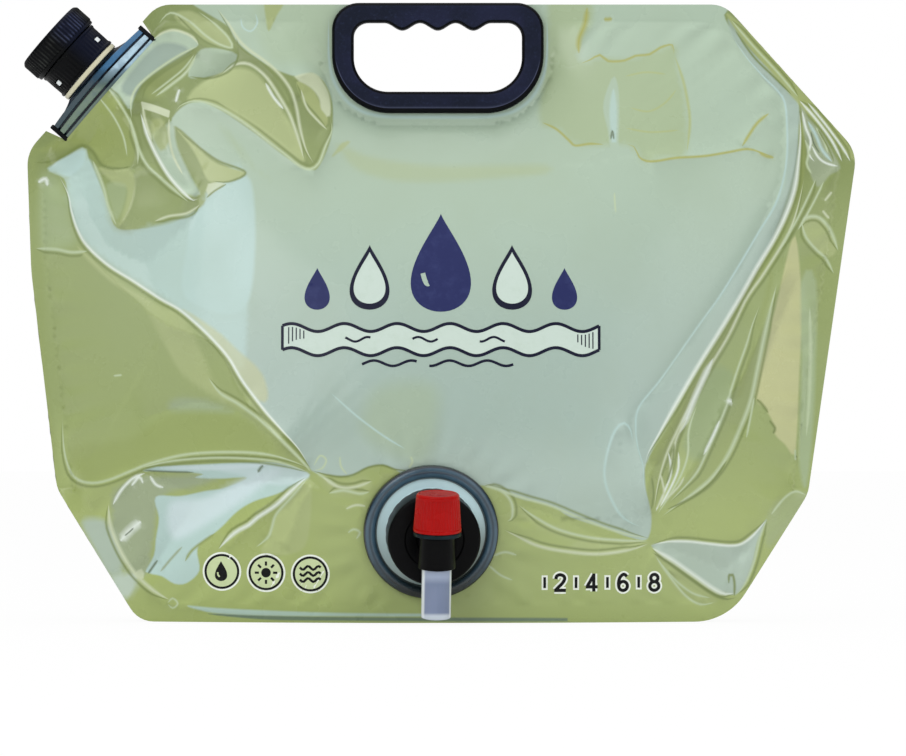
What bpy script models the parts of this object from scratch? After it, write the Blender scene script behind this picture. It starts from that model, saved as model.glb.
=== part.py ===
"""Collapsible water carrier: a film pouch with a bottom gusset, a clamped carrying handle,
a corner filler with a screw cap, and a twist tap on a welded flange.

Metres, +Z up. The origin is on the floor, under the middle of the pouch. The tap faces -Y.
"""

import math

import bmesh
import bpy
import numpy as np
from mathutils import Matrix, Vector
from mathutils.geometry import delaunay_2d_cdt

MM = 0.001

# Clearances
GAP = 0.3 * MM
RUNNING_GAP = 0.4 * MM
WELD = 0.01 * MM
OVERRUN = 1.0 * MM

# Pouch film
FILM = 0.4 * MM
HALF_WIDTH = 200.0 * MM
HEIGHT = 297.0 * MM
SEAL = 8.0 * MM
LIP_DEPTH = 52.0 * MM
FLOOR_CLEARANCE = 0.2 * MM
BLADDER_CROWN = 80.0 * MM
SHEET_PITCH = 22.0 * MM
EDGE_PITCH = 20.0 * MM
FIELD_PITCH = 4.0 * MM
FIELD_MARGIN = 16.0 * MM
# Outline corners of the flat film: x as a share of HALF_WIDTH, z as a share of HEIGHT.
LEFT_TOP_SHARE = (-0.685, 1.0)
LEFT_SHOULDER_SHARE = (-1.0, 0.76)
LEFT_MIDDLE_SHARE = (-0.99, 0.568)
LEFT_HIP_SHARE = (-0.928, 0.215)
LEFT_FOOT_SHARE = (-0.728, 0.0)
RIGHT_FOOT_SHARE = (0.685, 0.0)
RIGHT_HIP_SHARE = (0.882, 0.206)
RIGHT_SHOULDER_SHARE = (1.0, 0.761)
RIGHT_TOP_SHARE = (0.68, 1.0)
TOP_CORNER_RADIUS = 14.0 * MM
SHOULDER_RADIUS = 17.0 * MM
SIDE_RADIUS = 120.0 * MM
HIP_RADIUS = 16.0 * MM
LEFT_FOOT_RADIUS = 13.0 * MM
RIGHT_FOOT_RADIUS = 29.0 * MM
ARC_PITCH = 6.0 * MM
RELAX_ROUNDS = 3000
# How near two mesh points of the film may lie, as shares of the seal's width or the pitch.
NEAR_CANOE_SHARE = 0.15
NEAR_SEAL_SHARE = 0.5
NEAR_GRID_SHARE = 0.6

# Bottom gusset
GUSSET_GAP = 0.7 * MM
GUSSET_END_SHARE = 0.965
GUSSET_FLAT_SHARE = 0.45
GUSSET_FOLD_LIFT = 26.0 * MM
GUSSET_FOLD_POWER = 2.0
GUSSET_ROW_SHARES = (0.92, 0.75, 0.55)
GUSSET_EDGE_POWER = 1.5

# Handle, two halves clamped through the film
HANDLE_X = -2.0 * MM
HANDLE_WIDTH = 102.0 * MM
HANDLE_HEIGHT = 53.2 * MM
HANDLE_ABOVE_FILM = 0.7 * MM
HANDLE_HALF = 5.2 * MM
HANDLE_BEVEL = 1.9 * MM
HANDLE_TOP_RADIUS = 13.0 * MM
HANDLE_FOOT_RADIUS = 28.0 * MM
# The grip opening is what the handle's bars leave free.
GRIP_BESIDE = 10.5 * MM
GRIP_ABOVE = 9.6 * MM
GRIP_BELOW = 10.4 * MM
GRIP_WIDTH = HANDLE_WIDTH - 2 * GRIP_BESIDE
GRIP_HEIGHT = HANDLE_HEIGHT - GRIP_ABOVE - GRIP_BELOW
GRIP_TOP_RADIUS = 7.0 * MM
GRIP_FOOT_RADIUS = 16.5 * MM
FINGER_SPAN_SHARE = 0.7657
FINGER_BUMP = 3.6 * MM
FINGER_STEPS = 27
FINGER_COUNT = 3
FINGER_PITCH = FINGER_SPAN_SHARE * (GRIP_WIDTH - 2 * GRIP_TOP_RADIUS) / FINGER_COUNT
HANDLE_PITCH = 3.0 * MM
FILM_SET_BACK = 4.6 * MM
PEG_RADIUS = 1.3 * MM
PEG_INSET = 2.6 * MM
PEG_DEPTH = 3.2 * MM
PEG_SIDES = 12
HANDLE_SEAL_MARGIN = 5.0 * MM

# Filler spout, on the chamfered corner. Heights run along its axis from the film's cut edge.
FILLER_SLIDE = 1.7 * MM
CANOE_HALF_LENGTH = 32.3 * MM
CANOE_HALF_WIDTH = 12.6 * MM
CANOE_TIP = 1.0 * MM
CANOE_DEPTH = 11.0 * MM
CANOE_RIB = 1.7 * MM
CANOE_RIB_RELIEF = 0.7 * MM
CANOE_RIB_COUNT = 3
CANOE_POINTS = 10
FILM_OVER_CANOE = 0.5 * MM
FLARE_HEIGHT = 1.2 * MM
FLARE_HALF_LENGTH = 24.0 * MM
NECK_FOOT_RADIUS = 16.4 * MM
NECK_FOOT_HEIGHT = 4.2 * MM
FOOT_WAIST_LEVEL = 0.55
FOOT_WAIST_WIDTH = 0.94
NECK_RADIUS = 14.0 * MM
NECK_BORE = 11.5 * MM
NECK_HEIGHT = 25.2 * MM
BEAD_RADIUS = 15.4 * MM
BEAD_HEIGHT = 12.0 * MM
BEAD_THICKNESS = 1.5 * MM
THREAD_LEAD = 4.5 * MM
THREAD_START = 18.9 * MM
THREAD_TURNS = 1.0
THREAD_RELIEF = 1.2 * MM
THREAD_ROOT = 2.0 * MM
THREAD_CREST = 0.9 * MM
THREAD_STEPS = 20
THREAD_RUN_OUT = 0.25
THREAD_END_SHARE = 0.05

# Tamper band, left on the neck under its bead
BAND_RADIUS = 17.5 * MM
BAND_FOOT_RADIUS = 17.0 * MM
BAND_BOTTOM = 4.5 * MM
BAND_TOP = 17.4 * MM
BAND_SHOULDER = 11.6 * MM
BAND_WIDE_BORE = 15.8 * MM
BAND_WINDOWS = 8
BAND_WINDOW_WIDTH = 5.0 * MM
BAND_WINDOW_HEIGHT = 3.4 * MM

# Filler cap and its liner
CAP_RADIUS = 19.2 * MM
CAP_BOTTOM = 17.9 * MM
CAP_TOP = 29.7 * MM
CAP_CROWN = 2.0 * MM
CAP_EDGE = 1.0 * MM
CAP_WALL = 3.0 * MM
CAP_RIBS = 36
CAP_RIB_DEPTH = 0.6 * MM
CAP_PLAIN_BAND = 1.0 * MM
LINER_RADIUS = 15.2 * MM

# Tap flange, in the tap's frame: heights stand out of the front film
TAP_X = -5.3 * MM
TAP_Z = 43.9 * MM
TAP_DEPTH = 60.0 * MM
TAP_TILT = math.radians(10.0)
TAP_YAW = math.radians(5.0)
FLANGE_RADIUS = 32.3 * MM
FLANGE_RIM_WIDTH = 6.1 * MM
FLANGE_RIM_HEIGHT = 4.4 * MM
FLANGE_WEB = 1.9 * MM
FLANGE_CONE_RADIUS = 19.6 * MM
FLANGE_CONE_HEIGHT = 4.4 * MM
FLANGE_RIM_STEPS = 4
TAP_NECK_RADIUS = 17.2 * MM
TAP_NECK_HEIGHT = 15.5 * MM
TAP_NECK_BORE = 12.5 * MM
SLEEVE_RADIUS = 15.5 * MM
SLEEVE_LENGTH = 3.0 * MM
FLAT_MARGIN = 3.0 * MM

# Tap nut and gasket
GASKET_THICKNESS = 1.5 * MM
GASKET_BORE = 10.5 * MM
NUT_RADIUS = 22.1 * MM
NUT_BOTTOM = 5.6 * MM
NUT_WALL = 2.0 * MM
NUT_EDGE = 1.6 * MM
NUT_FLAT_DEPTH = 0.5 * MM
NUT_FLUTES = 24

# Tap body. Levels run along the valve tube's axis from the flange's centre line.
DISC_RADIUS = 15.8 * MM
DISC_THICKNESS = 1.8 * MM
BARREL_RADIUS = 8.0 * MM
BARREL_BORE = 3.4 * MM
BARREL_BORE_LEVEL = -0.6 * MM
VALVE_REACH = 35.6 * MM
TUBE_TOP_RADIUS = 8.3 * MM
TUBE_FOOT_RADIUS = 8.9 * MM
TUBE_BOTTOM = -10.8 * MM
TUBE_TOP = 4.6 * MM
CHAMBER_RADIUS = 6.0 * MM
SOCKET_TOP = -4.4 * MM

# Nozzle, valve and bonnet
NOZZLE_RADIUS = 7.05 * MM
NOZZLE_NECK_RADIUS = 6.75 * MM
NOZZLE_BORE = 4.9 * MM
NOZZLE_BOTTOM = -34.8 * MM
NOZZLE_EDGE = 0.8 * MM
SEAT_THICKNESS = 1.8 * MM
SEAT_RADIUS = 5.6 * MM
STEM_RADIUS = 2.0 * MM
STEM_FOOT_RADIUS = 3.6 * MM
STEM_FOOT_HEIGHT = 1.4 * MM
STEM_TOP = 17.5 * MM
BONNET_RADIUS = 11.4 * MM
BONNET_FLANGE = 1.9 * MM
BONNET_PLUG = 1.5 * MM
BOSS_RADIUS = 5.6 * MM
BOSS_TOP = 13.6 * MM
GLAND_RADIUS = 4.1 * MM
GLAND_BOTTOM = 8.0 * MM
GLAND_DEPTH = 2.2 * MM
RING_SECTION = 0.8 * MM
RING_SIDES = 6

# Knob
KNOB_FOOT_RADIUS = 11.5 * MM
KNOB_TOP_RADIUS = 10.2 * MM
KNOB_BOTTOM = 7.0 * MM
KNOB_TOP = 25.2 * MM
KNOB_WALL = 1.6 * MM
KNOB_CROWN = 1.8 * MM
KNOB_RIM = 1.5 * MM
KNOB_RECESS = 0.7 * MM
KNOB_EDGE = 0.8 * MM
KNOB_HUB_RADIUS = 4.2 * MM
KNOB_HUB_BOTTOM = 15.2 * MM
KNOB_FLUTES = 24
KNOB_FLUTE_DEPTH = 0.25 * MM

ROUND_STEPS = 32
FINE_STEPS = 40
SMALL_STEPS = 20
SMOOTH_ANGLE = math.radians(32.0)
RIM_STEPS = 2

MATERIALS = {
    "film": ((0.60, 0.67, 0.40), 0.12, 0.0),
    "clear_plastic": ((0.50, 0.58, 0.62), 0.15, 0.0),
    "black_plastic": ((0.02, 0.02, 0.025), 0.35, 0.0),
    "navy_plastic": ((0.03, 0.035, 0.06), 0.45, 0.0),
    "red_plastic": ((0.70, 0.02, 0.02), 0.30, 0.0),
    "nozzle_plastic": ((0.60, 0.64, 0.78), 0.20, 0.0),
    "seal_rubber": ((0.75, 0.75, 0.72), 0.50, 0.0),
}


def clear_scene():
    for obj in list(bpy.data.objects):
        bpy.data.objects.remove(obj)


def new_collection(name, hidden=False):
    collection = bpy.data.collections.new(name)
    bpy.context.scene.collection.children.link(collection)
    collection.hide_render = hidden
    return collection


def make_materials():
    made = {}
    for name, (colour, roughness, metallic) in MATERIALS.items():
        material = bpy.data.materials.new(name)
        material.use_nodes = True
        shader = material.node_tree.nodes["Principled BSDF"]
        shader.inputs["Base Color"].default_value = (*colour, 1.0)
        shader.inputs["Roughness"].default_value = roughness
        shader.inputs["Metallic"].default_value = metallic
        made[name] = material
    return made


clear_scene()
CARRIER = new_collection("water_carrier")
CUTTERS = new_collection("cutters", hidden=True)
LOOKS = make_materials()


def place(obj, collection, parent=None, matrix=None):
    collection.objects.link(obj)
    obj.parent = parent
    obj.matrix_local = matrix or Matrix.Identity(4)
    return obj


def part(obj, look, parent=None, matrix=None, smooth=True):
    """Links a sub-part, gives it its material and shades its round faces smooth."""
    place(obj, CARRIER, parent, matrix)
    obj.data.materials.append(LOOKS[look])
    if smooth and obj.type == "MESH":
        obj.data.shade_smooth()
        obj.data.set_sharp_from_angle(angle=SMOOTH_ANGLE)
    return obj


def cutter(obj, parent=None, matrix=None):
    place(obj, CUTTERS, parent, matrix)
    obj.hide_render = True
    obj.display_type = "WIRE"
    return obj


def boolean(obj, other, operation):
    modifier = obj.modifiers.new(operation.lower(), "BOOLEAN")
    modifier.operation = operation
    modifier.object = other
    modifier.solver = "EXACT"


def mesh_object(name, points, faces):
    mesh = bpy.data.meshes.new(name)
    mesh.from_pydata([tuple(p) for p in points], [], faces)
    mesh.update()
    return bpy.data.objects.new(name, mesh)


def lathe(name, profile, steps=ROUND_STEPS, closed=True):
    """A turned piece about local Z. The profile is (radius, height) points that run down the
    outer side. A closed profile is a ring's section, an open one starts and ends on the axis."""
    mesh = bpy.data.meshes.new(name)
    points = [(radius, 0.0, height) for radius, height in profile]
    edges = [(i, i + 1) for i in range(len(points) - 1)]
    if closed:
        edges.append((len(points) - 1, 0))
    mesh.from_pydata(points, edges, [])
    obj = bpy.data.objects.new(name, mesh)
    screw = obj.modifiers.new("turn", "SCREW")
    screw.axis = "Z"
    screw.angle = math.tau
    screw.steps = steps
    screw.render_steps = steps
    screw.use_merge_vertices = True
    screw.merge_threshold = WELD
    screw.use_smooth_shade = True
    return obj


def fluted(name, rings, count, depth, parts_per_flute=3):
    """A closed solid whose rings are (radius, height, flute share): each ring is a circle with
    count shallow flutes cut into it, and both ends are flat faces."""
    around = count * parts_per_flute
    points = []
    for radius, height, share in rings:
        for i in range(around):
            phase = (i % parts_per_flute) / parts_per_flute
            reach = radius - depth * share * (0.5 + 0.5 * math.cos(math.tau * phase)) ** 0.5
            angle = math.tau * i / around
            points.append((reach * math.cos(angle), reach * math.sin(angle), height))
    faces = [list(range(around))[::-1]]
    for ring in range(len(rings) - 1):
        low = ring * around
        for i in range(around):
            j = (i + 1) % around
            faces.append([low + i, low + j, low + around + j, low + around + i])
    faces.append([(len(rings) - 1) * around + i for i in range(around)])
    return mesh_object(name, points, faces)


def loft(name, sections):
    """A closed solid through sections of equal point count, each a loop of 3D points."""
    count = len(sections[0])
    points = [p for section in sections for p in section]
    faces = [list(range(count))[::-1]]
    for row in range(len(sections) - 1):
        low = row * count
        for i in range(count):
            j = (i + 1) % count
            faces.append([low + i, low + j, low + count + j, low + count + i])
    faces.append([(len(sections) - 1) * count + i for i in range(count)])
    return mesh_object(name, points, faces)


def rounded_loop(corners, pitch=ARC_PITCH):
    """A polygon with round corners, from (x, z, radius) corners, as a list of (x, z)."""
    loop = []
    for i, (x, z, radius) in enumerate(corners):
        here = Vector((x, z))
        before = (Vector(corners[i - 1][:2]) - here).normalized()
        after = (Vector(corners[(i + 1) % len(corners)][:2]) - here).normalized()
        opening = before.angle(after)
        tangent = radius / math.tan(opening / 2)
        start = here + before * tangent
        centre = here + (before + after).normalized() * (radius / math.sin(opening / 2))
        spoke = start - centre
        sweep = math.pi - opening
        turn = 1.0 if before.x * after.y - before.y * after.x < 0 else -1.0
        steps = max(2, math.ceil(sweep * radius / pitch))
        for k in range(steps + 1):
            angle = turn * sweep * k / steps
            cos, sin = math.cos(angle), math.sin(angle)
            loop.append((centre.x + spoke.x * cos - spoke.y * sin,
                         centre.y + spoke.x * sin + spoke.y * cos))
    return loop


def divided(loop, pitch):
    """The same closed loop with its long edges divided to at most the pitch."""
    made = []
    for i, (x, z) in enumerate(loop):
        nx, nz = loop[(i + 1) % len(loop)]
        count = max(1, math.ceil(math.hypot(nx - x, nz - z) / pitch))
        for k in range(count):
            made.append((x + (nx - x) * k / count, z + (nz - z) * k / count))
    return made


def loop_distance(x, z, loop):
    """Signed distance of points to a closed loop, positive inside."""
    best = np.full(np.shape(x), np.inf)
    inside = np.zeros(np.shape(x), bool)
    for i, (ax, az) in enumerate(loop):
        bx, bz = loop[(i + 1) % len(loop)]
        dx, dz = bx - ax, bz - az
        length = max(dx * dx + dz * dz, WELD * WELD)
        t = np.clip(((x - ax) * dx + (z - az) * dz) / length, 0.0, 1.0)
        best = np.minimum(best, np.hypot(x - ax - t * dx, z - az - t * dz))
        crosses = (az > z) != (bz > z)
        rise = dz if dz else WELD
        inside ^= crosses & (x < ax + dx * (z - az) / rise)
    return np.where(inside, best, -best)


def corner(share, radius):
    return (share[0] * HALF_WIDTH, share[1] * HEIGHT, radius)


def film_corners():
    corners = [
        corner(LEFT_TOP_SHARE, TOP_CORNER_RADIUS),
        corner(LEFT_SHOULDER_SHARE, SHOULDER_RADIUS),
        corner(LEFT_MIDDLE_SHARE, SIDE_RADIUS),
        corner(LEFT_HIP_SHARE, HIP_RADIUS),
        corner(LEFT_FOOT_SHARE, LEFT_FOOT_RADIUS),
        corner(RIGHT_FOOT_SHARE, RIGHT_FOOT_RADIUS),
        corner(RIGHT_HIP_SHARE, HIP_RADIUS),
        corner(RIGHT_SHOULDER_SHARE, SHOULDER_RADIUS),
        corner(RIGHT_TOP_SHARE, TOP_CORNER_RADIUS),
    ]
    return [(x, max(z, FLOOR_CLEARANCE), radius) for x, z, radius in corners]


def shrunk(loop, distance):
    """The loop moved inwards by the distance, corner by corner."""
    made = []
    area = sum(loop[i - 1][0] * p[1] - p[0] * loop[i - 1][1] for i, p in enumerate(loop))
    side = 1.0 if area > 0 else -1.0
    for i, (x, z) in enumerate(loop):
        px, pz = loop[i - 1]
        nx, nz = loop[(i + 1) % len(loop)]
        along = Vector((x - px, z - pz)).normalized() + Vector((nx - x, nz - z)).normalized()
        along.normalize()
        made.append((x - side * along.y * distance, z + side * along.x * distance))
    return made


FILM_LOOP = divided(rounded_loop(film_corners()), EDGE_PITCH)

# The filler's frame: its origin is the middle of the chamfer, +Z runs out of the bag.
CHAMFER_TOP = Vector((LEFT_TOP_SHARE[0] * HALF_WIDTH, 0.0, LEFT_TOP_SHARE[1] * HEIGHT))
CHAMFER_FOOT = Vector((LEFT_SHOULDER_SHARE[0] * HALF_WIDTH, 0.0, LEFT_SHOULDER_SHARE[1] * HEIGHT))
FILLER_ALONG = (CHAMFER_TOP - CHAMFER_FOOT).normalized()
FILLER_OUT = Vector((-FILLER_ALONG.z, 0.0, FILLER_ALONG.x))
FILLER_POINT = (CHAMFER_TOP + CHAMFER_FOOT) / 2 + FILLER_ALONG * FILLER_SLIDE

# The tap's frame: +Z stands out of the film, +Y runs up the valve tube.
TAP_OUT = Vector((math.sin(TAP_YAW) * math.cos(TAP_TILT),
                  -math.cos(TAP_YAW) * math.cos(TAP_TILT),
                  -math.sin(TAP_TILT)))
TAP_UP = (Vector((0.0, 0.0, 1.0)) - TAP_OUT * TAP_OUT.z).normalized()


def frame_matrix(x_axis, y_axis, z_axis, origin):
    rows = Matrix((x_axis, y_axis, z_axis)).transposed().to_4x4()
    return Matrix.Translation(origin) @ rows


def empty(name, matrix):
    obj = bpy.data.objects.new(name, None)
    CARRIER.objects.link(obj)
    obj.matrix_world = matrix
    return obj


def lip_centre():
    return (LEFT_HIP_SHARE[0] + RIGHT_HIP_SHARE[0]) / 2 * HALF_WIDTH


def lip_reach():
    return (RIGHT_HIP_SHARE[0] - LEFT_HIP_SHARE[0]) / 2 * HALF_WIDTH


def lip(x):
    """How far the bottom edge stands from the middle plane, at x."""
    share = (x - lip_centre()) / lip_reach()
    return LIP_DEPTH * np.maximum(0.0, 1.0 - share * share)


def canoe_half(along):
    """The canoe's half thickness at a distance along the chamfer."""
    share = np.minimum(1.0, np.abs(along) / CANOE_HALF_LENGTH)
    return CANOE_TIP + (CANOE_HALF_WIDTH - CANOE_TIP) * (1.0 - share * share)


def filler_coordinates(x, z):
    """(distance along the chamfer, height along the filler's axis) of a point of the film."""
    dx, dz = x - FILLER_POINT.x, z - FILLER_POINT.z
    along = dx * FILLER_ALONG.x + dz * FILLER_ALONG.z
    out = dx * FILLER_OUT.x + dz * FILLER_OUT.z
    return along, out


def on_canoe(x, z):
    along, out = filler_coordinates(x, z)
    return (np.abs(along) < CANOE_HALF_LENGTH + WELD) & (out > -CANOE_DEPTH - WELD)


def handle_outer():
    top = HEIGHT + HANDLE_ABOVE_FILM
    foot = top - HANDLE_HEIGHT
    left = HANDLE_X - HANDLE_WIDTH / 2
    right = HANDLE_X + HANDLE_WIDTH / 2
    return [(left, top, HANDLE_TOP_RADIUS), (left, foot, HANDLE_FOOT_RADIUS),
            (right, foot, HANDLE_FOOT_RADIUS), (right, top, HANDLE_TOP_RADIUS)]


def grip_loop():
    """The finger opening: a round-cornered slot whose upper edge has three bumps."""
    top = HEIGHT + HANDLE_ABOVE_FILM - GRIP_ABOVE
    foot = top - GRIP_HEIGHT
    left = HANDLE_X - GRIP_WIDTH / 2
    right = HANDLE_X + GRIP_WIDTH / 2
    loop = rounded_loop([(left, top, GRIP_TOP_RADIUS), (left, foot, GRIP_FOOT_RADIUS),
                         (right, foot, GRIP_FOOT_RADIUS), (right, top, GRIP_TOP_RADIUS)],
                        HANDLE_PITCH)
    reach = FINGER_COUNT / 2 * FINGER_PITCH
    for k in range(FINGER_STEPS):
        x = reach - 2 * reach * k / (FINGER_STEPS - 1)
        bump = FINGER_BUMP * (0.5 + 0.5 * math.cos(math.tau * x / FINGER_PITCH))
        loop.append((HANDLE_X + x, top - bump))
    return loop


def film_handle_hole():
    """The opening die-cut in the film, hidden under the handle's rim."""
    top = HEIGHT + HANDLE_ABOVE_FILM - GRIP_ABOVE + FILM_SET_BACK
    foot = top - GRIP_HEIGHT - 2 * FILM_SET_BACK
    half = GRIP_WIDTH / 2 + FILM_SET_BACK
    top_radius = GRIP_TOP_RADIUS + FILM_SET_BACK
    foot_radius = GRIP_FOOT_RADIUS + FILM_SET_BACK
    return divided(rounded_loop([(HANDLE_X - half, top, top_radius),
                                 (HANDLE_X - half, foot, foot_radius),
                                 (HANDLE_X + half, foot, foot_radius),
                                 (HANDLE_X + half, top, top_radius)]), EDGE_PITCH)


def sealed_patch():
    """The film's flat sealed patch round the handle, up to the top edge."""
    foot = HEIGHT + HANDLE_ABOVE_FILM - HANDLE_HEIGHT - HANDLE_SEAL_MARGIN
    half = HANDLE_WIDTH / 2 + HANDLE_SEAL_MARGIN
    radius = HANDLE_FOOT_RADIUS + HANDLE_SEAL_MARGIN
    top = HEIGHT + FIELD_MARGIN
    return divided(rounded_loop([(HANDLE_X - half, top, WELD), (HANDLE_X - half, foot, radius),
                                 (HANDLE_X + half, foot, radius),
                                 (HANDLE_X + half, top, WELD)]), EDGE_PITCH)


def flange_offset(x, z):
    """The depth of the flat film under the tap flange, and the distance from its centre."""
    slope_z = math.tan(TAP_TILT) / math.cos(TAP_YAW)
    slope_x = -math.tan(TAP_YAW)
    behind = (GAP + FILM / 2) / (math.cos(TAP_TILT) * math.cos(TAP_YAW))
    depth = TAP_DEPTH - behind + slope_z * (z - TAP_Z) + slope_x * (x - TAP_X)
    return depth, np.hypot(x - TAP_X, z - TAP_Z)


def pinned(x, z, with_tap):
    """(is the film's depth given here, that depth): at its seals, the handle, the canoe,
    the bottom lip and the tap flange. Depth is measured from the middle plane."""
    skin = (FILM + GAP) / 2
    inside = loop_distance(x, z, FILM_LOOP)
    hip = max(LEFT_HIP_SHARE[1], RIGHT_HIP_SHARE[1]) * HEIGHT
    low = z < hip
    fixed = np.where(low, inside < WELD, inside < SEAL)
    depth = np.where(low, lip(x), 0.0)
    in_patch = loop_distance(x, z, sealed_patch()) > -WELD
    fixed = fixed | in_patch
    depth = np.where(in_patch, 0.0, depth)
    along, _ = filler_coordinates(x, z)
    held = on_canoe(x, z)
    fixed = fixed | held
    depth = np.where(held, canoe_half(along) + FILM_OVER_CANOE, depth) + skin
    if with_tap:
        plane, distance = flange_offset(x, z)
        under = distance < FLANGE_RADIUS + FLAT_MARGIN + WELD
        fixed = fixed | under
        depth = np.where(under, plane, depth)
    return fixed, depth


class FilmField:
    """The depth of an inflated film panel over the flat outline. The film is pinned where it is
    sealed or clamped and hangs like a stretched membrane in between."""

    def __init__(self, with_tap):
        self.with_tap = with_tap
        self.x0 = -HALF_WIDTH - FIELD_MARGIN
        self.z0 = -FIELD_MARGIN
        columns = math.ceil(2 * (HALF_WIDTH + FIELD_MARGIN) / FIELD_PITCH) + 1
        rows = math.ceil((HEIGHT + 2 * FIELD_MARGIN) / FIELD_PITCH) + 1
        x, z = np.meshgrid(self.x0 + FIELD_PITCH * np.arange(columns),
                           self.z0 + FIELD_PITCH * np.arange(rows), indexing="ij")
        fixed, depth = pinned(x, z, with_tap)
        # A film held along two edges HEIGHT apart would bulge by BLADDER_CROWN between them.
        curvature = 8.0 * BLADDER_CROWN / HEIGHT ** 2
        swell = curvature * FIELD_PITCH ** 2 / 4
        field = depth.copy()
        for _ in range(RELAX_ROUNDS):
            mean = (np.roll(field, 1, 0) + np.roll(field, -1, 0)
                    + np.roll(field, 1, 1) + np.roll(field, -1, 1)) / 4
            field = np.where(fixed, depth, mean + swell)
        self.field = field

    def depth(self, x, z):
        x, z = np.asarray(x, float), np.asarray(z, float)
        fixed, given = pinned(x, z, self.with_tap)
        column = (x - self.x0) / FIELD_PITCH
        row = (z - self.z0) / FIELD_PITCH
        i = np.clip(column.astype(int), 0, self.field.shape[0] - 2)
        j = np.clip(row.astype(int), 0, self.field.shape[1] - 2)
        u, v = column - i, row - j
        f = self.field
        between = ((f[i, j] * (1 - u) + f[i + 1, j] * u) * (1 - v)
                   + (f[i, j + 1] * (1 - u) + f[i + 1, j + 1] * u) * v)
        return np.where(fixed, given, between)


def circle_loop(x, z, radius, count):
    return [(x + radius * math.cos(math.tau * k / count),
             z + radius * math.sin(math.tau * k / count)) for k in range(count)]


def canoe_lattice():
    """Points of the film on and just below the canoe, in rows along the chamfer."""
    points = []
    for out in (-CANOE_DEPTH / 2, -CANOE_DEPTH, -CANOE_DEPTH - SEAL, -CANOE_DEPTH - 2 * SEAL):
        for k in range(CANOE_POINTS + 1):
            along = CANOE_HALF_LENGTH * (2 * k / CANOE_POINTS - 1)
            spot = FILLER_POINT + FILLER_ALONG * along + FILLER_OUT * out
            points.append((spot.x, spot.z))
    return points


def chamfer_loop():
    """The film's outline with the chamfer's edge divided at the canoe's stations."""
    loop = []
    for i, (x, z) in enumerate(FILM_LOOP):
        along, out = filler_coordinates(x, z)
        if abs(along) < CANOE_HALF_LENGTH and abs(out) < SEAL:
            continue
        loop.append((x, z))
        nx, nz = FILM_LOOP[(i + 1) % len(FILM_LOOP)]
        next_along, next_out = filler_coordinates(nx, nz)
        if along > 0 and abs(next_along) < CANOE_HALF_LENGTH and abs(next_out) < SEAL:
            for k in range(CANOE_POINTS + 1):
                step = CANOE_HALF_LENGTH * (1 - 2 * k / CANOE_POINTS)
                spot = FILLER_POINT + FILLER_ALONG * step
                loop.append((spot.x, spot.z))
    return loop


def film_sheet(name, field, side, holes, rings):
    """One film panel: the outline is meshed in the flat, then every point is set at its depth.
    side is -1 for the front panel and +1 for the back. The rings are loops to follow."""
    outline = chamfer_loop()
    inner = shrunk(outline, SEAL)
    points = []
    edges = []
    for loop in (outline, *holes, *rings):
        start = len(points)
        points += loop
        edges += [(start + i, start + (i + 1) % len(loop)) for i in range(len(loop))]
    seam = [inner[i] for i in lower_edge(outline)]
    patch = [p for p in sealed_patch() if p[1] < HEIGHT - SEAL]
    for line in (seam, patch):
        start = len(points)
        points += line
        edges += [(start + i, start + i + 1) for i in range(len(line) - 1)]
    for spot in canoe_lattice() + inner:
        along, out = filler_coordinates(*spot)
        by_canoe = abs(along) < CANOE_HALF_LENGTH + SEAL and out > -2 * SEAL - WELD
        near = np.min(np.hypot(*(np.array(points) - spot).T))
        if near > SEAL * (NEAR_CANOE_SHARE if by_canoe else NEAR_SEAL_SHARE):
            points.append(spot)
    keep_off = np.array(points)
    for x in np.arange(-HALF_WIDTH, HALF_WIDTH, SHEET_PITCH):
        for z in np.arange(0.0, HEIGHT, SHEET_PITCH):
            near = np.min(np.hypot(keep_off[:, 0] - x, keep_off[:, 1] - z))
            if near > SHEET_PITCH * NEAR_GRID_SHARE and loop_distance(x, z, outline) > SEAL:
                points.append((x, z))
    flat, _, faces, *_ = delaunay_2d_cdt([Vector(p) for p in points], edges, [], 0, WELD)
    flat = np.array([tuple(p) for p in flat])
    middles = np.array([flat[list(face)].mean(0) for face in faces])
    inside = loop_distance(middles[:, 0], middles[:, 1], outline) > 0
    for hole in holes:
        inside &= loop_distance(middles[:, 0], middles[:, 1], hole) < 0
    kept = [list(face) for face, good in zip(faces, inside) if good]
    depth = field.depth(flat[:, 0], flat[:, 1])
    solid_points = [(x, side * d, z) for (x, z), d in zip(flat, depth)]
    obj = mesh_object(name, solid_points, kept)
    shell = bmesh.new()
    shell.from_mesh(obj.data)
    bmesh.ops.remove_doubles(shell, verts=shell.verts, dist=WELD)
    loose_points = [v for v in shell.verts if not v.link_faces]
    bmesh.ops.delete(shell, geom=loose_points, context="VERTS")
    bmesh.ops.recalc_face_normals(shell, faces=shell.faces)
    shell.to_mesh(obj.data)
    shell.free()
    wall = obj.modifiers.new("film", "SOLIDIFY")
    wall.thickness = FILM
    wall.offset = 0.0
    return part(obj, "film")


def lower_edge(outline):
    """The indices of the outline's points along the bottom, from hip to hip."""
    hip = max(LEFT_HIP_SHARE[1], RIGHT_HIP_SHARE[1]) * HEIGHT
    reach = GUSSET_END_SHARE * lip_reach()
    return [i for i, (x, z) in enumerate(outline) if z < hip and abs(x - lip_centre()) < reach]


def gusset_crown(share, x, z):
    """The middle point of the gusset's section: on the floor, and lifted at the folded ends."""
    rise = max(0.0, (share - GUSSET_FLAT_SHARE) / (1.0 - GUSSET_FLAT_SHARE))
    folded = GUSSET_FOLD_LIFT * rise ** GUSSET_FOLD_POWER
    return x, max(FILM / 2 + folded, z)


def edge_share(share):
    """How much of the seal's height the floor keeps at a share of its half width."""
    level = GUSSET_ROW_SHARES[-2]
    return max(0.0, (share - level) / (1.0 - level)) ** GUSSET_EDGE_POWER


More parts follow.
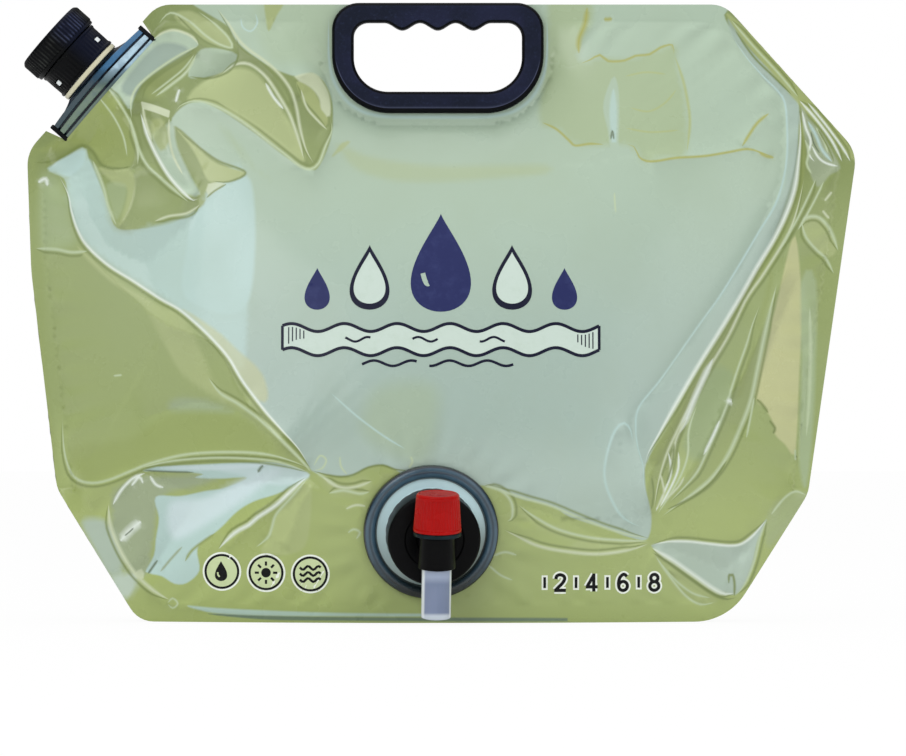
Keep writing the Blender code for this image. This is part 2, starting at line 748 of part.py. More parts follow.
def gusset_rows(edge, inner, front, back):
    """The gusset's section at a point of the film's edge, from the front seal to the back one."""
    share = abs(edge[0] - lip_centre()) / lip_reach()
    x, z = gusset_crown(share, *inner) if edge[1] > SEAL else gusset_crown(share, edge[0], 0.0)
    rows = []
    for side, field in ((-1, front), (1, back)):
        strip = []
        for point in (edge, inner):
            reach = float(field.depth(*point)) - FILM - GUSSET_GAP * (1.0 + share)
            strip.append((point[0], side * max(reach, FILM), point[1] + WELD))
        for portion in GUSSET_ROW_SHARES:
            mix = edge_share(portion)
            strip.append((x + (inner[0] - x) * mix, strip[1][1] * portion,
                          z + (inner[1] - z) * mix))
        rows.append(strip)
    return [*rows[0], (x, 0.0, z), *reversed(rows[1])]


def gusset_film(front, back):
    """The bottom film, folded up between the two panels and opened to stand on the floor."""
    outline = chamfer_loop()
    inner = shrunk(outline, SEAL)
    rows = [gusset_rows(outline[i], inner[i], front, back) for i in lower_edge(outline)]
    across = len(rows[0])
    points = [p for row in rows for p in row]
    faces = []
    for k in range(len(rows) - 1):
        for i in range(across - 1):
            low = k * across + i
            faces.append([low, low + 1, low + across + 1, low + across])
    obj = mesh_object("gusset_film", points, faces)
    wall = obj.modifiers.new("film", "SOLIDIFY")
    wall.thickness = FILM
    wall.offset = 0.0
    return part(obj, "film")


def make_pouch():
    front = FilmField(with_tap=True)
    back = FilmField(with_tap=False)
    tap_hole = circle_loop(TAP_X, TAP_Z, SLEEVE_RADIUS + GAP, SMALL_STEPS)
    tap_ring = circle_loop(TAP_X, TAP_Z, FLANGE_RADIUS + FLAT_MARGIN, ROUND_STEPS)
    film_sheet("front_film", front, -1, [film_handle_hole(), tap_hole], [tap_ring])
    film_sheet("back_film", back, 1, [film_handle_hole()], [])
    gusset_film(front, back)


def ring_cap(outer, inner):
    """Triangles that fill the flat between two loops. Their corners count along the outer loop
    and then along the inner one."""
    points = [Vector(p) for p in (*outer, *inner)]
    split = len(outer)
    edges = [(i, (i + 1) % split) for i in range(split)]
    edges += [(split + i, split + (i + 1) % len(inner)) for i in range(len(inner))]
    flat, _, faces, *_ = delaunay_2d_cdt(points, edges, [], 0, WELD)
    middles = np.array([np.mean([flat[i] for i in face], axis=0) for face in faces])
    inside = loop_distance(middles[:, 0], middles[:, 1], outer) > 0
    inside &= loop_distance(middles[:, 0], middles[:, 1], inner) < 0
    return [list(face) for face, good in zip(faces, inside) if good]


def rounded_ring(name, outer, inner, thickness, side):
    """A flat plate with an opening, from two loops in the XZ plane. It stands on the middle
    plane, towards side, and the edges of its far face are rounded."""
    levels = [(0.0, 0.0)]
    for k in range(RIM_STEPS + 1):
        angle = math.pi / 2 * k / RIM_STEPS
        levels.append((HANDLE_BEVEL * (1.0 - math.cos(angle)),
                       thickness - HANDLE_BEVEL * (1.0 - math.sin(angle))))
    points = []
    faces = []
    count = len(outer) + len(inner)
    for inset, height in levels:
        points += [(x, side * height, z)
                   for x, z in (*shrunk(outer, inset), *shrunk(inner, -inset))]
    for row in range(len(levels) - 1):
        low = row * count
        for start, size in ((0, len(outer)), (len(outer), len(inner))):
            for i in range(size):
                here, after = low + start + i, low + start + (i + 1) % size
                faces.append([here, after, count + after, count + here])
    last = count * (len(levels) - 1)
    for level, start in ((levels[0], 0), (levels[-1], last)):
        cap = ring_cap(shrunk(outer, level[0]), shrunk(inner, -level[0]))
        faces += [[start + i for i in face] for face in cap]
    obj = mesh_object(name, points, faces)
    plate = bmesh.new()
    plate.from_mesh(obj.data)
    bmesh.ops.recalc_face_normals(plate, faces=plate.faces)
    plate.to_mesh(obj.data)
    plate.free()
    return obj


def peg_points():
    """Where the handle's pegs pass through the film's opening."""
    top = HEIGHT + HANDLE_ABOVE_FILM - GRIP_ABOVE + PEG_INSET
    foot = HEIGHT + HANDLE_ABOVE_FILM - GRIP_ABOVE - GRIP_HEIGHT - PEG_INSET
    side = GRIP_WIDTH / 2 + PEG_INSET
    middle = (top + foot) / 2
    reach = GRIP_WIDTH / 3
    return [(HANDLE_X + x, z) for x, z in (
        (-reach, top), (0.0, top), (reach, top), (-side, middle), (side, middle),
        (-reach / 2, foot), (reach / 2, foot))]


def peg_set(name, radius, low, high):
    """All the pegs as one cutter, from y = low to y = high."""
    mesh = bpy.data.meshes.new(name)
    body = bmesh.new()
    turn = Matrix.Rotation(math.pi / 2, 4, "X") @ Matrix.Rotation(math.pi / PEG_SIDES, 4, "Z")
    for x, z in peg_points():
        middle = Matrix.Translation((x, (low + high) / 2, z))
        bmesh.ops.create_cone(body, cap_ends=True, segments=PEG_SIDES, radius1=radius,
                              radius2=radius, depth=high - low, matrix=middle @ turn)
    body.to_mesh(mesh)
    body.free()
    return cutter(bpy.data.objects.new(name, mesh))


def make_handle():
    outer = rounded_loop(handle_outer(), HANDLE_PITCH)
    inner = grip_loop()
    inner_face = FILM + GAP / 2 + GAP
    for name, side in (("handle_front", -1), ("handle_back", 1)):
        half = rounded_ring(name, outer, inner, HANDLE_HALF, side)
        part(half, "navy_plastic", matrix=Matrix.Translation((0.0, side * inner_face, 0.0)))
        if side < 0:
            reach = inner_face + PEG_DEPTH + GAP
            boolean(half, peg_set(f"{name}_sockets", PEG_RADIUS + GAP, -reach, reach),
                    "DIFFERENCE")
        else:
            boolean(half, peg_set(f"{name}_pegs", PEG_RADIUS, -inner_face - PEG_DEPTH,
                                  inner_face + PEG_DEPTH), "UNION")


def new_cylinder(name, radius, length, sides):
    mesh = bpy.data.meshes.new(name)
    body = bmesh.new()
    bmesh.ops.create_cone(body, cap_ends=True, segments=sides, radius1=radius, radius2=radius,
                          depth=length)
    body.to_mesh(mesh)
    body.free()
    return bpy.data.objects.new(name, mesh)


def canoe_section(height, half_length, half_width, tip):
    """A pointed-oval loop in the filler's frame."""
    loop = []
    for side in (1, -1):
        for k in range(CANOE_POINTS + 1):
            along = side * half_length * (1 - 2 * k / CANOE_POINTS)
            width = tip + (half_width - tip) * (1 - (along / half_length) ** 2)
            loop.append((along, side * width, height))
    return loop


def oval_section(height, reach_x, reach_y):
    """An ellipse with the canoe's point count."""
    count = 2 * (CANOE_POINTS + 1)
    loop = []
    for k in range(count):
        angle = math.tau * (k + 0.5) / count - math.tau / (2 * count)
        loop.append((reach_x * math.cos(angle), reach_y * math.sin(angle), height))
    return loop


def make_canoe(frame):
    """The spout's sealing base: a core with ribs that the films are welded to."""
    core_width = CANOE_HALF_WIDTH - CANOE_RIB_RELIEF
    core = loft("canoe_core", [
        canoe_section(-CANOE_DEPTH + CANOE_RIB / 2, CANOE_HALF_LENGTH - CANOE_RIB_RELIEF,
                      core_width, CANOE_TIP / 2),
        canoe_section(-CANOE_RIB / 2, CANOE_HALF_LENGTH - CANOE_RIB_RELIEF, core_width,
                      CANOE_TIP / 2)])
    cutter(core, frame)
    ribs = []
    for index in range(CANOE_RIB_COUNT):
        spread = (CANOE_DEPTH - CANOE_RIB) / (CANOE_RIB_COUNT - 1)
        low = -CANOE_DEPTH + spread * index
        rib = loft(f"canoe_rib_{index}", [
            canoe_section(low, CANOE_HALF_LENGTH, CANOE_HALF_WIDTH, CANOE_TIP),
            canoe_section(low + CANOE_RIB, CANOE_HALF_LENGTH, CANOE_HALF_WIDTH, CANOE_TIP)])
        ribs.append(cutter(rib, frame))
    return [core, *ribs]


def thread_ridge(name, frame):
    """The neck's helical thread, sunk a little into the neck, with ends that run out flat."""
    count = math.ceil(THREAD_STEPS * THREAD_TURNS)
    sections = []
    for k in range(count + 1):
        turn = k / THREAD_STEPS
        angle = math.tau * turn
        run_out = min(1.0, min(k, count - k) / (count * THREAD_RUN_OUT) + THREAD_END_SHARE)
        height = THREAD_START + THREAD_LEAD * turn
        inner = NECK_RADIUS - GAP
        outer = NECK_RADIUS + THREAD_RELIEF * run_out
        profile = ((inner, -THREAD_ROOT / 2), (inner, THREAD_ROOT / 2),
                   (outer, THREAD_CREST / 2), (outer, -THREAD_CREST / 2))
        sections.append([(r * math.cos(angle), r * math.sin(angle), height + rise)
                         for r, rise in profile])
    return cutter(loft(name, sections), frame)


def make_filler():
    frame = empty("filler_frame", frame_matrix(FILLER_ALONG, Vector((0.0, 1.0, 0.0)),
                                               FILLER_OUT, FILLER_POINT))
    foot = loft("neck_foot", [
        canoe_section(-CANOE_RIB / 3, CANOE_HALF_LENGTH - 2 * CANOE_RIB_RELIEF,
                      CANOE_HALF_WIDTH - 2 * CANOE_RIB_RELIEF, CANOE_TIP / 2),
        oval_section(FLARE_HEIGHT, FLARE_HALF_LENGTH, CANOE_HALF_WIDTH),
        oval_section(NECK_FOOT_HEIGHT * FOOT_WAIST_LEVEL, NECK_FOOT_RADIUS,
                     NECK_FOOT_RADIUS * FOOT_WAIST_WIDTH),
        oval_section(NECK_FOOT_HEIGHT, NECK_FOOT_RADIUS, NECK_FOOT_RADIUS)])
    cutter(foot, frame)
    spout = lathe("filler_spout", [
        (0.0, NECK_HEIGHT), (NECK_RADIUS, NECK_HEIGHT),
        (NECK_RADIUS, BEAD_HEIGHT + BEAD_THICKNESS + GAP),
        (BEAD_RADIUS, BEAD_HEIGHT + BEAD_THICKNESS), (BEAD_RADIUS, BEAD_HEIGHT + GAP),
        (NECK_RADIUS, BEAD_HEIGHT), (NECK_RADIUS, FLARE_HEIGHT), (0.0, FLARE_HEIGHT)],
        closed=False)
    part(spout, "clear_plastic", frame)
    for piece in [foot, *make_canoe(frame), thread_ridge("neck_thread", frame)]:
        boolean(spout, piece, "UNION")
    bore = new_cylinder("filler_bore", NECK_BORE, 2 * (NECK_HEIGHT + CANOE_DEPTH), ROUND_STEPS)
    boolean(spout, cutter(bore, frame), "DIFFERENCE")

    band_bore = NECK_RADIUS + RUNNING_GAP
    band = lathe("filler_tamper_band", [
        (BAND_WIDE_BORE, BAND_TOP), (BAND_RADIUS, BAND_TOP),
        (BAND_RADIUS, BAND_SHOULDER), (BAND_FOOT_RADIUS, BAND_BOTTOM),
        (band_bore, BAND_BOTTOM), (band_bore, BAND_SHOULDER),
        (BAND_WIDE_BORE, BAND_SHOULDER)])
    part(band, "black_plastic", frame)
    for index in range(BAND_WINDOWS // 2):
        window = bpy.data.meshes.new(f"band_window_{index}")
        box = bmesh.new()
        bmesh.ops.create_cube(box, size=1.0)
        bmesh.ops.scale(box, verts=box.verts,
                        vec=(3 * BAND_RADIUS, BAND_WINDOW_WIDTH, BAND_WINDOW_HEIGHT))
        box.to_mesh(window)
        box.free()
        height = BAND_TOP - 2 * RUNNING_GAP - BAND_WINDOW_HEIGHT
        turn = Matrix.Rotation(math.tau * index / BAND_WINDOWS, 4, "Z")
        spot = turn @ Matrix.Translation((0.0, 0.0, height))
        slot = cutter(bpy.data.objects.new(window.name, window), frame, spot)
        boolean(band, slot, "DIFFERENCE")

    make_cap(frame)
    return frame


def make_cap(frame):
    ribbed = [(CAP_RADIUS - CAP_RIB_DEPTH, CAP_BOTTOM, 0.0),
              (CAP_RADIUS - CAP_RIB_DEPTH, CAP_BOTTOM + CAP_PLAIN_BAND, 0.0),
              (CAP_RADIUS, CAP_BOTTOM + CAP_PLAIN_BAND + CAP_RIB_DEPTH, 1.0),
              (CAP_RADIUS, CAP_TOP - CAP_EDGE, 1.0),
              (CAP_RADIUS - CAP_EDGE, CAP_TOP, 0.0)]
    cap = part(fluted("filler_cap", ribbed, CAP_RIBS, CAP_RIB_DEPTH), "black_plastic", frame)
    bore_height = CAP_TOP - CAP_CROWN - CAP_BOTTOM
    bore = new_cylinder("cap_bore", CAP_RADIUS - CAP_WALL, 2 * bore_height, ROUND_STEPS)
    cutter(bore, frame, Matrix.Translation((0.0, 0.0, CAP_BOTTOM)))
    boolean(cap, bore, "DIFFERENCE")
    low = NECK_HEIGHT + GAP
    high = CAP_TOP - CAP_CROWN - GAP
    liner = lathe("filler_cap_liner", [(0.0, high), (LINER_RADIUS, high), (LINER_RADIUS, low),
                                       (0.0, low)], closed=False)
    part(liner, "seal_rubber", frame)


def rim_profile():
    """The flange's rounded rim, from its inner foot over the top to its outer foot."""
    middle = FLANGE_RADIUS - FLANGE_RIM_WIDTH / 2
    rise = FLANGE_RIM_HEIGHT - FLANGE_WEB
    points = []
    for k in range(FLANGE_RIM_STEPS + 1):
        angle = math.pi * (1 - k / FLANGE_RIM_STEPS)
        points.append((middle + FLANGE_RIM_WIDTH / 2 * math.cos(angle),
                       FLANGE_WEB + rise * math.sin(angle)))
    return points


def make_flange(frame):
    profile = [(TAP_NECK_BORE, TAP_NECK_HEIGHT), (TAP_NECK_RADIUS, TAP_NECK_HEIGHT),
               (TAP_NECK_RADIUS, FLANGE_CONE_HEIGHT), (FLANGE_CONE_RADIUS, FLANGE_CONE_HEIGHT - GAP),
               (FLANGE_CONE_RADIUS + FLANGE_WEB, FLANGE_WEB + GAP)]
    profile += rim_profile()
    profile += [(FLANGE_RADIUS, 0.0), (SLEEVE_RADIUS, 0.0), (SLEEVE_RADIUS, -SLEEVE_LENGTH),
                (TAP_NECK_BORE, -SLEEVE_LENGTH)]
    part(lathe("tap_flange", profile, FINE_STEPS), "clear_plastic", frame)


def make_nut(frame):
    disc_back = TAP_NECK_HEIGHT + 2 * GAP + GASKET_THICKNESS
    disc_front = disc_back + DISC_THICKNESS
    nut_top = disc_front + GAP + NUT_WALL
    rings = [(NUT_RADIUS, NUT_BOTTOM, 1.0), (NUT_RADIUS, nut_top - NUT_EDGE, 1.0),
             (NUT_RADIUS - NUT_EDGE, nut_top, 0.0)]
    nut = part(fluted("tap_nut", rings, NUT_FLUTES, NUT_FLAT_DEPTH), "black_plastic", frame)
    bore_radius = TAP_NECK_RADIUS + RUNNING_GAP
    depth = disc_front + GAP - NUT_BOTTOM
    bore = new_cylinder("nut_bore", bore_radius, 2 * depth, ROUND_STEPS)
    boolean(nut, cutter(bore, frame, Matrix.Translation((0.0, 0.0, NUT_BOTTOM))), "DIFFERENCE")
    hole = new_cylinder("nut_hole", BARREL_RADIUS + RUNNING_GAP, 4 * nut_top, ROUND_STEPS)
    boolean(nut, cutter(hole, frame), "DIFFERENCE")
    gasket_low = TAP_NECK_HEIGHT + GAP
    gasket_high = gasket_low + GASKET_THICKNESS
    gasket = lathe("tap_gasket", [(GASKET_BORE, gasket_high), (DISC_RADIUS, gasket_high),
                                  (DISC_RADIUS, gasket_low), (GASKET_BORE, gasket_low)])
    part(gasket, "seal_rubber", frame)
    return disc_back, disc_front


def tube_matrix():
    """Local +Z up the valve tube, in the tap's frame."""
    return Matrix.Translation((0.0, 0.0, VALVE_REACH)) @ Matrix.Rotation(-math.pi / 2, 4, "X")


def make_tap_body(frame, disc_back, disc_front):
    tube = tube_matrix()
    body = lathe("tap_body", [
        (0.0, TUBE_TOP + OVERRUN), (TUBE_TOP_RADIUS, TUBE_TOP + OVERRUN),
        (TUBE_FOOT_RADIUS, TUBE_BOTTOM), (0.0, TUBE_BOTTOM)], closed=False)
    part(body, "black_plastic", frame, tube)
    barrel = lathe("tap_barrel", [
        (0.0, VALVE_REACH), (BARREL_RADIUS, VALVE_REACH), (BARREL_RADIUS, disc_front),
        (DISC_RADIUS, disc_front), (DISC_RADIUS, disc_back), (0.0, disc_back)], closed=False)
    boolean(body, cutter(barrel, frame), "UNION")
    seat = new_cylinder("bonnet_seat", BONNET_RADIUS + RUNNING_GAP, 4 * TUBE_TOP, ROUND_STEPS)
    above = tube @ Matrix.Translation((0.0, 0.0, 3 * TUBE_TOP))
    boolean(body, cutter(seat, frame, above), "DIFFERENCE")
    chamber = new_cylinder("valve_chamber", CHAMBER_RADIUS, 4 * TUBE_TOP, ROUND_STEPS)
    middle = tube @ Matrix.Translation((0.0, 0.0, SOCKET_TOP - WELD + 2 * TUBE_TOP))
    boolean(body, cutter(chamber, frame, middle), "DIFFERENCE")
    socket_depth = SOCKET_TOP - TUBE_BOTTOM
    socket = new_cylinder("nozzle_socket", NOZZLE_NECK_RADIUS + GAP, 2 * socket_depth, ROUND_STEPS)
    lower = tube @ Matrix.Translation((0.0, 0.0, TUBE_BOTTOM))
    boolean(body, cutter(socket, frame, lower), "DIFFERENCE")
    passage = new_cylinder("barrel_passage", BARREL_BORE, VALVE_REACH, SMALL_STEPS)
    inward = Matrix.Translation((0.0, BARREL_BORE_LEVEL, VALVE_REACH / 2))
    boolean(body, cutter(passage, frame, inward), "DIFFERENCE")


def make_valve(frame):
    tube = tube_matrix()
    nozzle_top = SOCKET_TOP - GAP
    shoulder = TUBE_BOTTOM - GAP
    nozzle = lathe("tap_nozzle", [
        (NOZZLE_BORE, nozzle_top), (NOZZLE_NECK_RADIUS, nozzle_top),
        (NOZZLE_NECK_RADIUS, shoulder), (NOZZLE_RADIUS, shoulder),
        (NOZZLE_RADIUS, NOZZLE_BOTTOM + NOZZLE_EDGE),
        (NOZZLE_RADIUS - NOZZLE_EDGE, NOZZLE_BOTTOM), (NOZZLE_BORE, NOZZLE_BOTTOM)],
        FINE_STEPS)
    part(nozzle, "nozzle_plastic", frame, tube)
    seat_low = nozzle_top + GAP
    seat_high = seat_low + SEAT_THICKNESS
    seat = lathe("tap_valve_seal", [(0.0, seat_high), (SEAT_RADIUS, seat_high),
                                    (SEAT_RADIUS, seat_low), (0.0, seat_low)],
                 SMALL_STEPS, closed=False)
    part(seat, "seal_rubber", frame, tube)
    stem_low = seat_high + GAP
    stem = lathe("tap_stem", [
        (0.0, STEM_TOP), (STEM_RADIUS, STEM_TOP),
        (STEM_RADIUS, stem_low + STEM_FOOT_HEIGHT + GAP),
        (STEM_FOOT_RADIUS, stem_low + STEM_FOOT_HEIGHT), (STEM_FOOT_RADIUS, stem_low),
        (0.0, stem_low)], SMALL_STEPS, closed=False)
    part(stem, "nozzle_plastic", frame, tube)


def make_bonnet(frame):
    tube = tube_matrix()
    low = TUBE_TOP + GAP
    high = low + BONNET_FLANGE
    stem_hole = STEM_RADIUS + RUNNING_GAP
    bonnet = lathe("tap_bonnet", [
        (stem_hole, BOSS_TOP), (BOSS_RADIUS, BOSS_TOP), (BOSS_RADIUS, high),
        (BONNET_RADIUS, high), (BONNET_RADIUS, low), (CHAMBER_RADIUS - GAP, low),
        (CHAMBER_RADIUS - GAP, low - BONNET_PLUG), (stem_hole, low - BONNET_PLUG),
        (stem_hole, GLAND_BOTTOM), (GLAND_RADIUS, GLAND_BOTTOM),
        (GLAND_RADIUS, GLAND_BOTTOM + GLAND_DEPTH), (stem_hole, GLAND_BOTTOM + GLAND_DEPTH)])
    part(bonnet, "black_plastic", frame, tube)
    ring_radius = STEM_RADIUS + GAP + RING_SECTION
    bpy.ops.mesh.primitive_torus_add(major_radius=ring_radius, minor_radius=RING_SECTION,
                                     major_segments=SMALL_STEPS, minor_segments=RING_SIDES)
    ring = bpy.context.object
    ring.name = "tap_stem_o_ring"
    ring.data.name = ring.name
    for collection in list(ring.users_collection):
        collection.objects.unlink(ring)
    middle = GLAND_BOTTOM + GLAND_DEPTH / 2
    part(ring, "seal_rubber", frame, tube @ Matrix.Translation((0.0, 0.0, middle)))


def make_knob(frame):
    tube = tube_matrix()
    slope = (KNOB_FOOT_RADIUS - KNOB_TOP_RADIUS) / (KNOB_TOP - KNOB_BOTTOM)
    near_top = KNOB_TOP - KNOB_EDGE
    rings = [(KNOB_FOOT_RADIUS, KNOB_BOTTOM, 0.0),
             (KNOB_FOOT_RADIUS - slope * KNOB_WALL, KNOB_BOTTOM + KNOB_WALL, 1.0),
             (KNOB_TOP_RADIUS + slope * KNOB_WALL, near_top - KNOB_WALL, 1.0),
             (KNOB_TOP_RADIUS, near_top, 0.0),
             (KNOB_TOP_RADIUS - KNOB_EDGE, KNOB_TOP, 0.0)]
    knob = part(fluted("tap_knob", rings, KNOB_FLUTES, KNOB_FLUTE_DEPTH), "red_plastic",
                frame, tube)
    cavity_top = KNOB_TOP - KNOB_CROWN - KNOB_RECESS
    hub_bore = STEM_RADIUS + GAP
    hub = lathe("knob_hub", [
        (hub_bore, cavity_top + KNOB_CROWN / 2), (KNOB_HUB_RADIUS, cavity_top + KNOB_CROWN / 2),
        (KNOB_HUB_RADIUS, KNOB_HUB_BOTTOM), (hub_bore, KNOB_HUB_BOTTOM)], SMALL_STEPS)
    cavity = lathe("knob_cavity", [
        (0.0, cavity_top), (KNOB_TOP_RADIUS - KNOB_WALL, cavity_top),
        (KNOB_FOOT_RADIUS - KNOB_WALL, KNOB_BOTTOM - OVERRUN), (0.0, KNOB_BOTTOM - OVERRUN)],
        closed=False)
    boolean(knob, cutter(cavity, frame, tube), "DIFFERENCE")
    boolean(knob, cutter(hub, frame, tube), "UNION")
    recess = new_cylinder("knob_recess", KNOB_TOP_RADIUS - KNOB_RIM, 2 * KNOB_RECESS, ROUND_STEPS)
    spot = tube @ Matrix.Translation((0.0, 0.0, KNOB_TOP))
    boolean(knob, cutter(recess, frame, spot), "DIFFERENCE")


def make_tap():
    right = TAP_UP.cross(TAP_OUT)
    origin = Vector((TAP_X, -TAP_DEPTH, TAP_Z))
    frame = empty("tap_frame", frame_matrix(right, TAP_UP, TAP_OUT, origin))
    make_flange(frame)
    disc_back, disc_front = make_nut(frame)
    make_tap_body(frame, disc_back, disc_front)
    make_valve(frame)
    make_bonnet(frame)
    make_knob(frame)


make_pouch()
make_handle()
make_filler()
make_tap()
bpy.context.view_layer.update()
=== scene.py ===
"""The looks of a collapsible film water carrier: film skins with folds and printed art, a moulded
grip, a ribbed screw cap on its corner filler, and a tap with a red knob.

Everything is in metres in the CAD's frame: +Z up, the tap faces -Y, the origin on the floor.
"""

import math

import bmesh
import bpy
import numpy as np
from mathutils import Matrix, Vector
from mathutils.geometry import delaunay_2d_cdt
from mathutils.kdtree import KDTree


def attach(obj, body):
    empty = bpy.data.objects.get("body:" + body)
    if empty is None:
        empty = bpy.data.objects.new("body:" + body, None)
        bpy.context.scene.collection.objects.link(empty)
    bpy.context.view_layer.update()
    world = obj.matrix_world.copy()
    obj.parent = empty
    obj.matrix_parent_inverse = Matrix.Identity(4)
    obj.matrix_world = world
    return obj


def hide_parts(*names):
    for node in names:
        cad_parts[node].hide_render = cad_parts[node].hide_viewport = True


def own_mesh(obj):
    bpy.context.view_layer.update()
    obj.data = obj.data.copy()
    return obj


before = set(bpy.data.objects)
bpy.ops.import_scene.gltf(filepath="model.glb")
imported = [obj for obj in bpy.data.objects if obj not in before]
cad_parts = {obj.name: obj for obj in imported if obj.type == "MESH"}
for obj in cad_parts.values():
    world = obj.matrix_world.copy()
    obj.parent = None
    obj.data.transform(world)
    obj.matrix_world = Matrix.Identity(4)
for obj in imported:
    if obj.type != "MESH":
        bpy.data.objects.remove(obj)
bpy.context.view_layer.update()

MM = 0.001
GAP = 0.3 * MM
WELD = 0.01 * MM

# The film's outline and depth, with the same driving values as the CAD source
FILM = 0.4 * MM
SKIN = 0.3 * MM
HALF_WIDTH = 200.0 * MM
HEIGHT = 297.0 * MM
SEAL = 8.0 * MM
LIP_DEPTH = 52.0 * MM
FLOOR_CLEARANCE = 0.2 * MM
LOOP_PITCH = 3.0 * MM
LONG_EDGE = 20.0 * MM
BLADDER_CROWN = 80.0 * MM
FIELD_PITCH = 4.0 * MM
FIELD_MARGIN = 16.0 * MM
COARSE_ROUNDS = 3000
FINE_ROUNDS = 220
LEFT_TOP_SHARE = (-0.685, 1.0)
LEFT_SHOULDER_SHARE = (-1.0, 0.76)
LEFT_MIDDLE_SHARE = (-0.99, 0.568)
LEFT_HIP_SHARE = (-0.928, 0.215)
LEFT_FOOT_SHARE = (-0.728, 0.0)
RIGHT_FOOT_SHARE = (0.685, 0.0)
RIGHT_HIP_SHARE = (0.882, 0.206)
RIGHT_SHOULDER_SHARE = (1.0, 0.761)
RIGHT_TOP_SHARE = (0.68, 1.0)
TOP_CORNER_RADIUS = 14.0 * MM
SHOULDER_RADIUS = 17.0 * MM
SIDE_RADIUS = 120.0 * MM
HIP_RADIUS = 16.0 * MM
LEFT_FOOT_RADIUS = 13.0 * MM
RIGHT_FOOT_RADIUS = 29.0 * MM

# Bottom gusset
GUSSET_GAP = 0.25 * MM
GUSSET_END_SHARE = 0.965
GUSSET_FLAT_SHARE = 0.45
GUSSET_FOLD_LIFT = 26.0 * MM
GUSSET_FOLD_POWER = 2.0
GUSSET_ROW_SHARES = (0.985, 0.96, 0.92, 0.84, 0.75, 0.65, 0.55, 0.4, 0.2)
GUSSET_EDGE_START = 0.75
EDGE_SET_BACK = 0.08

# Handle
HANDLE_X = -2.0 * MM
HANDLE_WIDTH = 102.0 * MM
HANDLE_HEIGHT = 53.2 * MM
HANDLE_ABOVE_FILM = 0.7 * MM
HANDLE_TOP = HEIGHT + HANDLE_ABOVE_FILM
HANDLE_FOOT = HANDLE_TOP - HANDLE_HEIGHT
HANDLE_HALF = 5.2 * MM
HANDLE_ROUND = 2.6 * MM
HANDLE_TOP_RADIUS = 13.0 * MM
HANDLE_FOOT_RADIUS = 28.0 * MM
GRIP_WIDTH = 81.0 * MM
GRIP_HEIGHT = 33.2 * MM
GRIP_TOP = HANDLE_TOP - 9.6 * MM
GRIP_TOP_RADIUS = 7.0 * MM
GRIP_FOOT_RADIUS = 16.5 * MM
FINGER_PITCH = 17.1 * MM
FINGER_BUMP = 3.6 * MM
FINGER_COUNT = 3
FILM_SET_BACK = 4.6 * MM
HANDLE_SEAL_MARGIN = 5.0 * MM
MOULDED_PITCH = 1.2 * MM
MOULDED_EDGE = 4.0 * MM

# Filler, in the frame of its axis
FILLER_SLIDE = 1.7 * MM
CANOE_HALF_LENGTH = 32.3 * MM
CANOE_HALF_WIDTH = 12.6 * MM
CANOE_TIP = 1.0 * MM
CANOE_DEPTH = 11.0 * MM
CANOE_SHOWN = 10.2 * MM
FILM_OVER_CANOE = 0.2 * MM
NECK_RADIUS = 14.0 * MM
NECK_BORE = 11.5 * MM
NECK_HEIGHT = 25.2 * MM
BEAD_RADIUS = 15.4 * MM
COLLAR_RADIUS = 17.2 * MM
CAP_RADIUS = 19.2 * MM
CAP_BOTTOM = 17.9 * MM
CAP_TOP = 29.7 * MM
CAP_RIBS = 60
CAP_RIB_DEPTH = 0.35 * MM
WINDOW_TURN = math.radians(33.0)
WINDOW_HEIGHT = 10.2 * MM
THREAD_START = 18.9 * MM
THREAD_LEAD = 4.5 * MM
THREAD_DEPTH = 1.2 * MM

# Tap, in the frame of its flange
TAP_X = -5.3 * MM
TAP_Z = 43.9 * MM
TAP_DEPTH = 60.0 * MM
TAP_TILT = math.radians(10.0)
TAP_YAW = math.radians(5.0)
FLANGE_RADIUS = 32.3 * MM
FLANGE_RIM_WIDTH = 6.1 * MM
TAP_NECK_RADIUS = 17.2 * MM
TAP_NECK_HEIGHT = 15.5 * MM
TAP_NECK_BORE = 12.5 * MM
SLEEVE_RADIUS = 15.5 * MM
SLEEVE_LENGTH = 3.0 * MM
FLAT_MARGIN = 3.0 * MM
NUT_RADIUS = 22.1 * MM
NUT_BOTTOM = 5.6 * MM
DISC_BACK = 17.6 * MM
DISC_FRONT = 19.4 * MM
NUT_TOP = 21.7 * MM
BARREL_RADIUS = 8.0 * MM
VALVE_REACH = 35.6 * MM
TUBE_BOTTOM = -10.8 * MM
NOZZLE_BOTTOM = -34.8 * MM
KNOB_BOTTOM = 7.0 * MM
KNOB_TOP = 25.2 * MM


def srgb(*values):
    """A colour from 0 to 255 per channel, as Blender's linear colour."""
    shares = [v / 255 for v in values]
    return (*[c / 12.92 if c <= 0.04045 else ((c + 0.055) / 1.055) ** 2.4 for c in shares], 1.0)


def smooth_step(value):
    share = np.clip(value, 0.0, 1.0)
    return share * share * (3.0 - 2.0 * share)


def rounded_loop(corners, pitch):
    """A polygon with round corners, from (x, z, radius) corners, as a list of (x, z)."""
    loop = []
    for i, (x, z, radius) in enumerate(corners):
        here = Vector((x, z))
        before = (Vector(corners[i - 1][:2]) - here).normalized()
        after = (Vector(corners[(i + 1) % len(corners)][:2]) - here).normalized()
        opening = before.angle(after)
        tangent = radius / math.tan(opening / 2)
        start = here + before * tangent
        centre = here + (before + after).normalized() * (radius / math.sin(opening / 2))
        spoke = start - centre
        sweep = math.pi - opening
        turn = 1.0 if before.x * after.y - before.y * after.x < 0 else -1.0
        steps = max(2, math.ceil(sweep * radius / pitch))
        for k in range(steps + 1):
            angle = turn * sweep * k / steps
            cos, sin = math.cos(angle), math.sin(angle)
            loop.append((centre.x + spoke.x * cos - spoke.y * sin,
                         centre.y + spoke.x * sin + spoke.y * cos))
    return loop


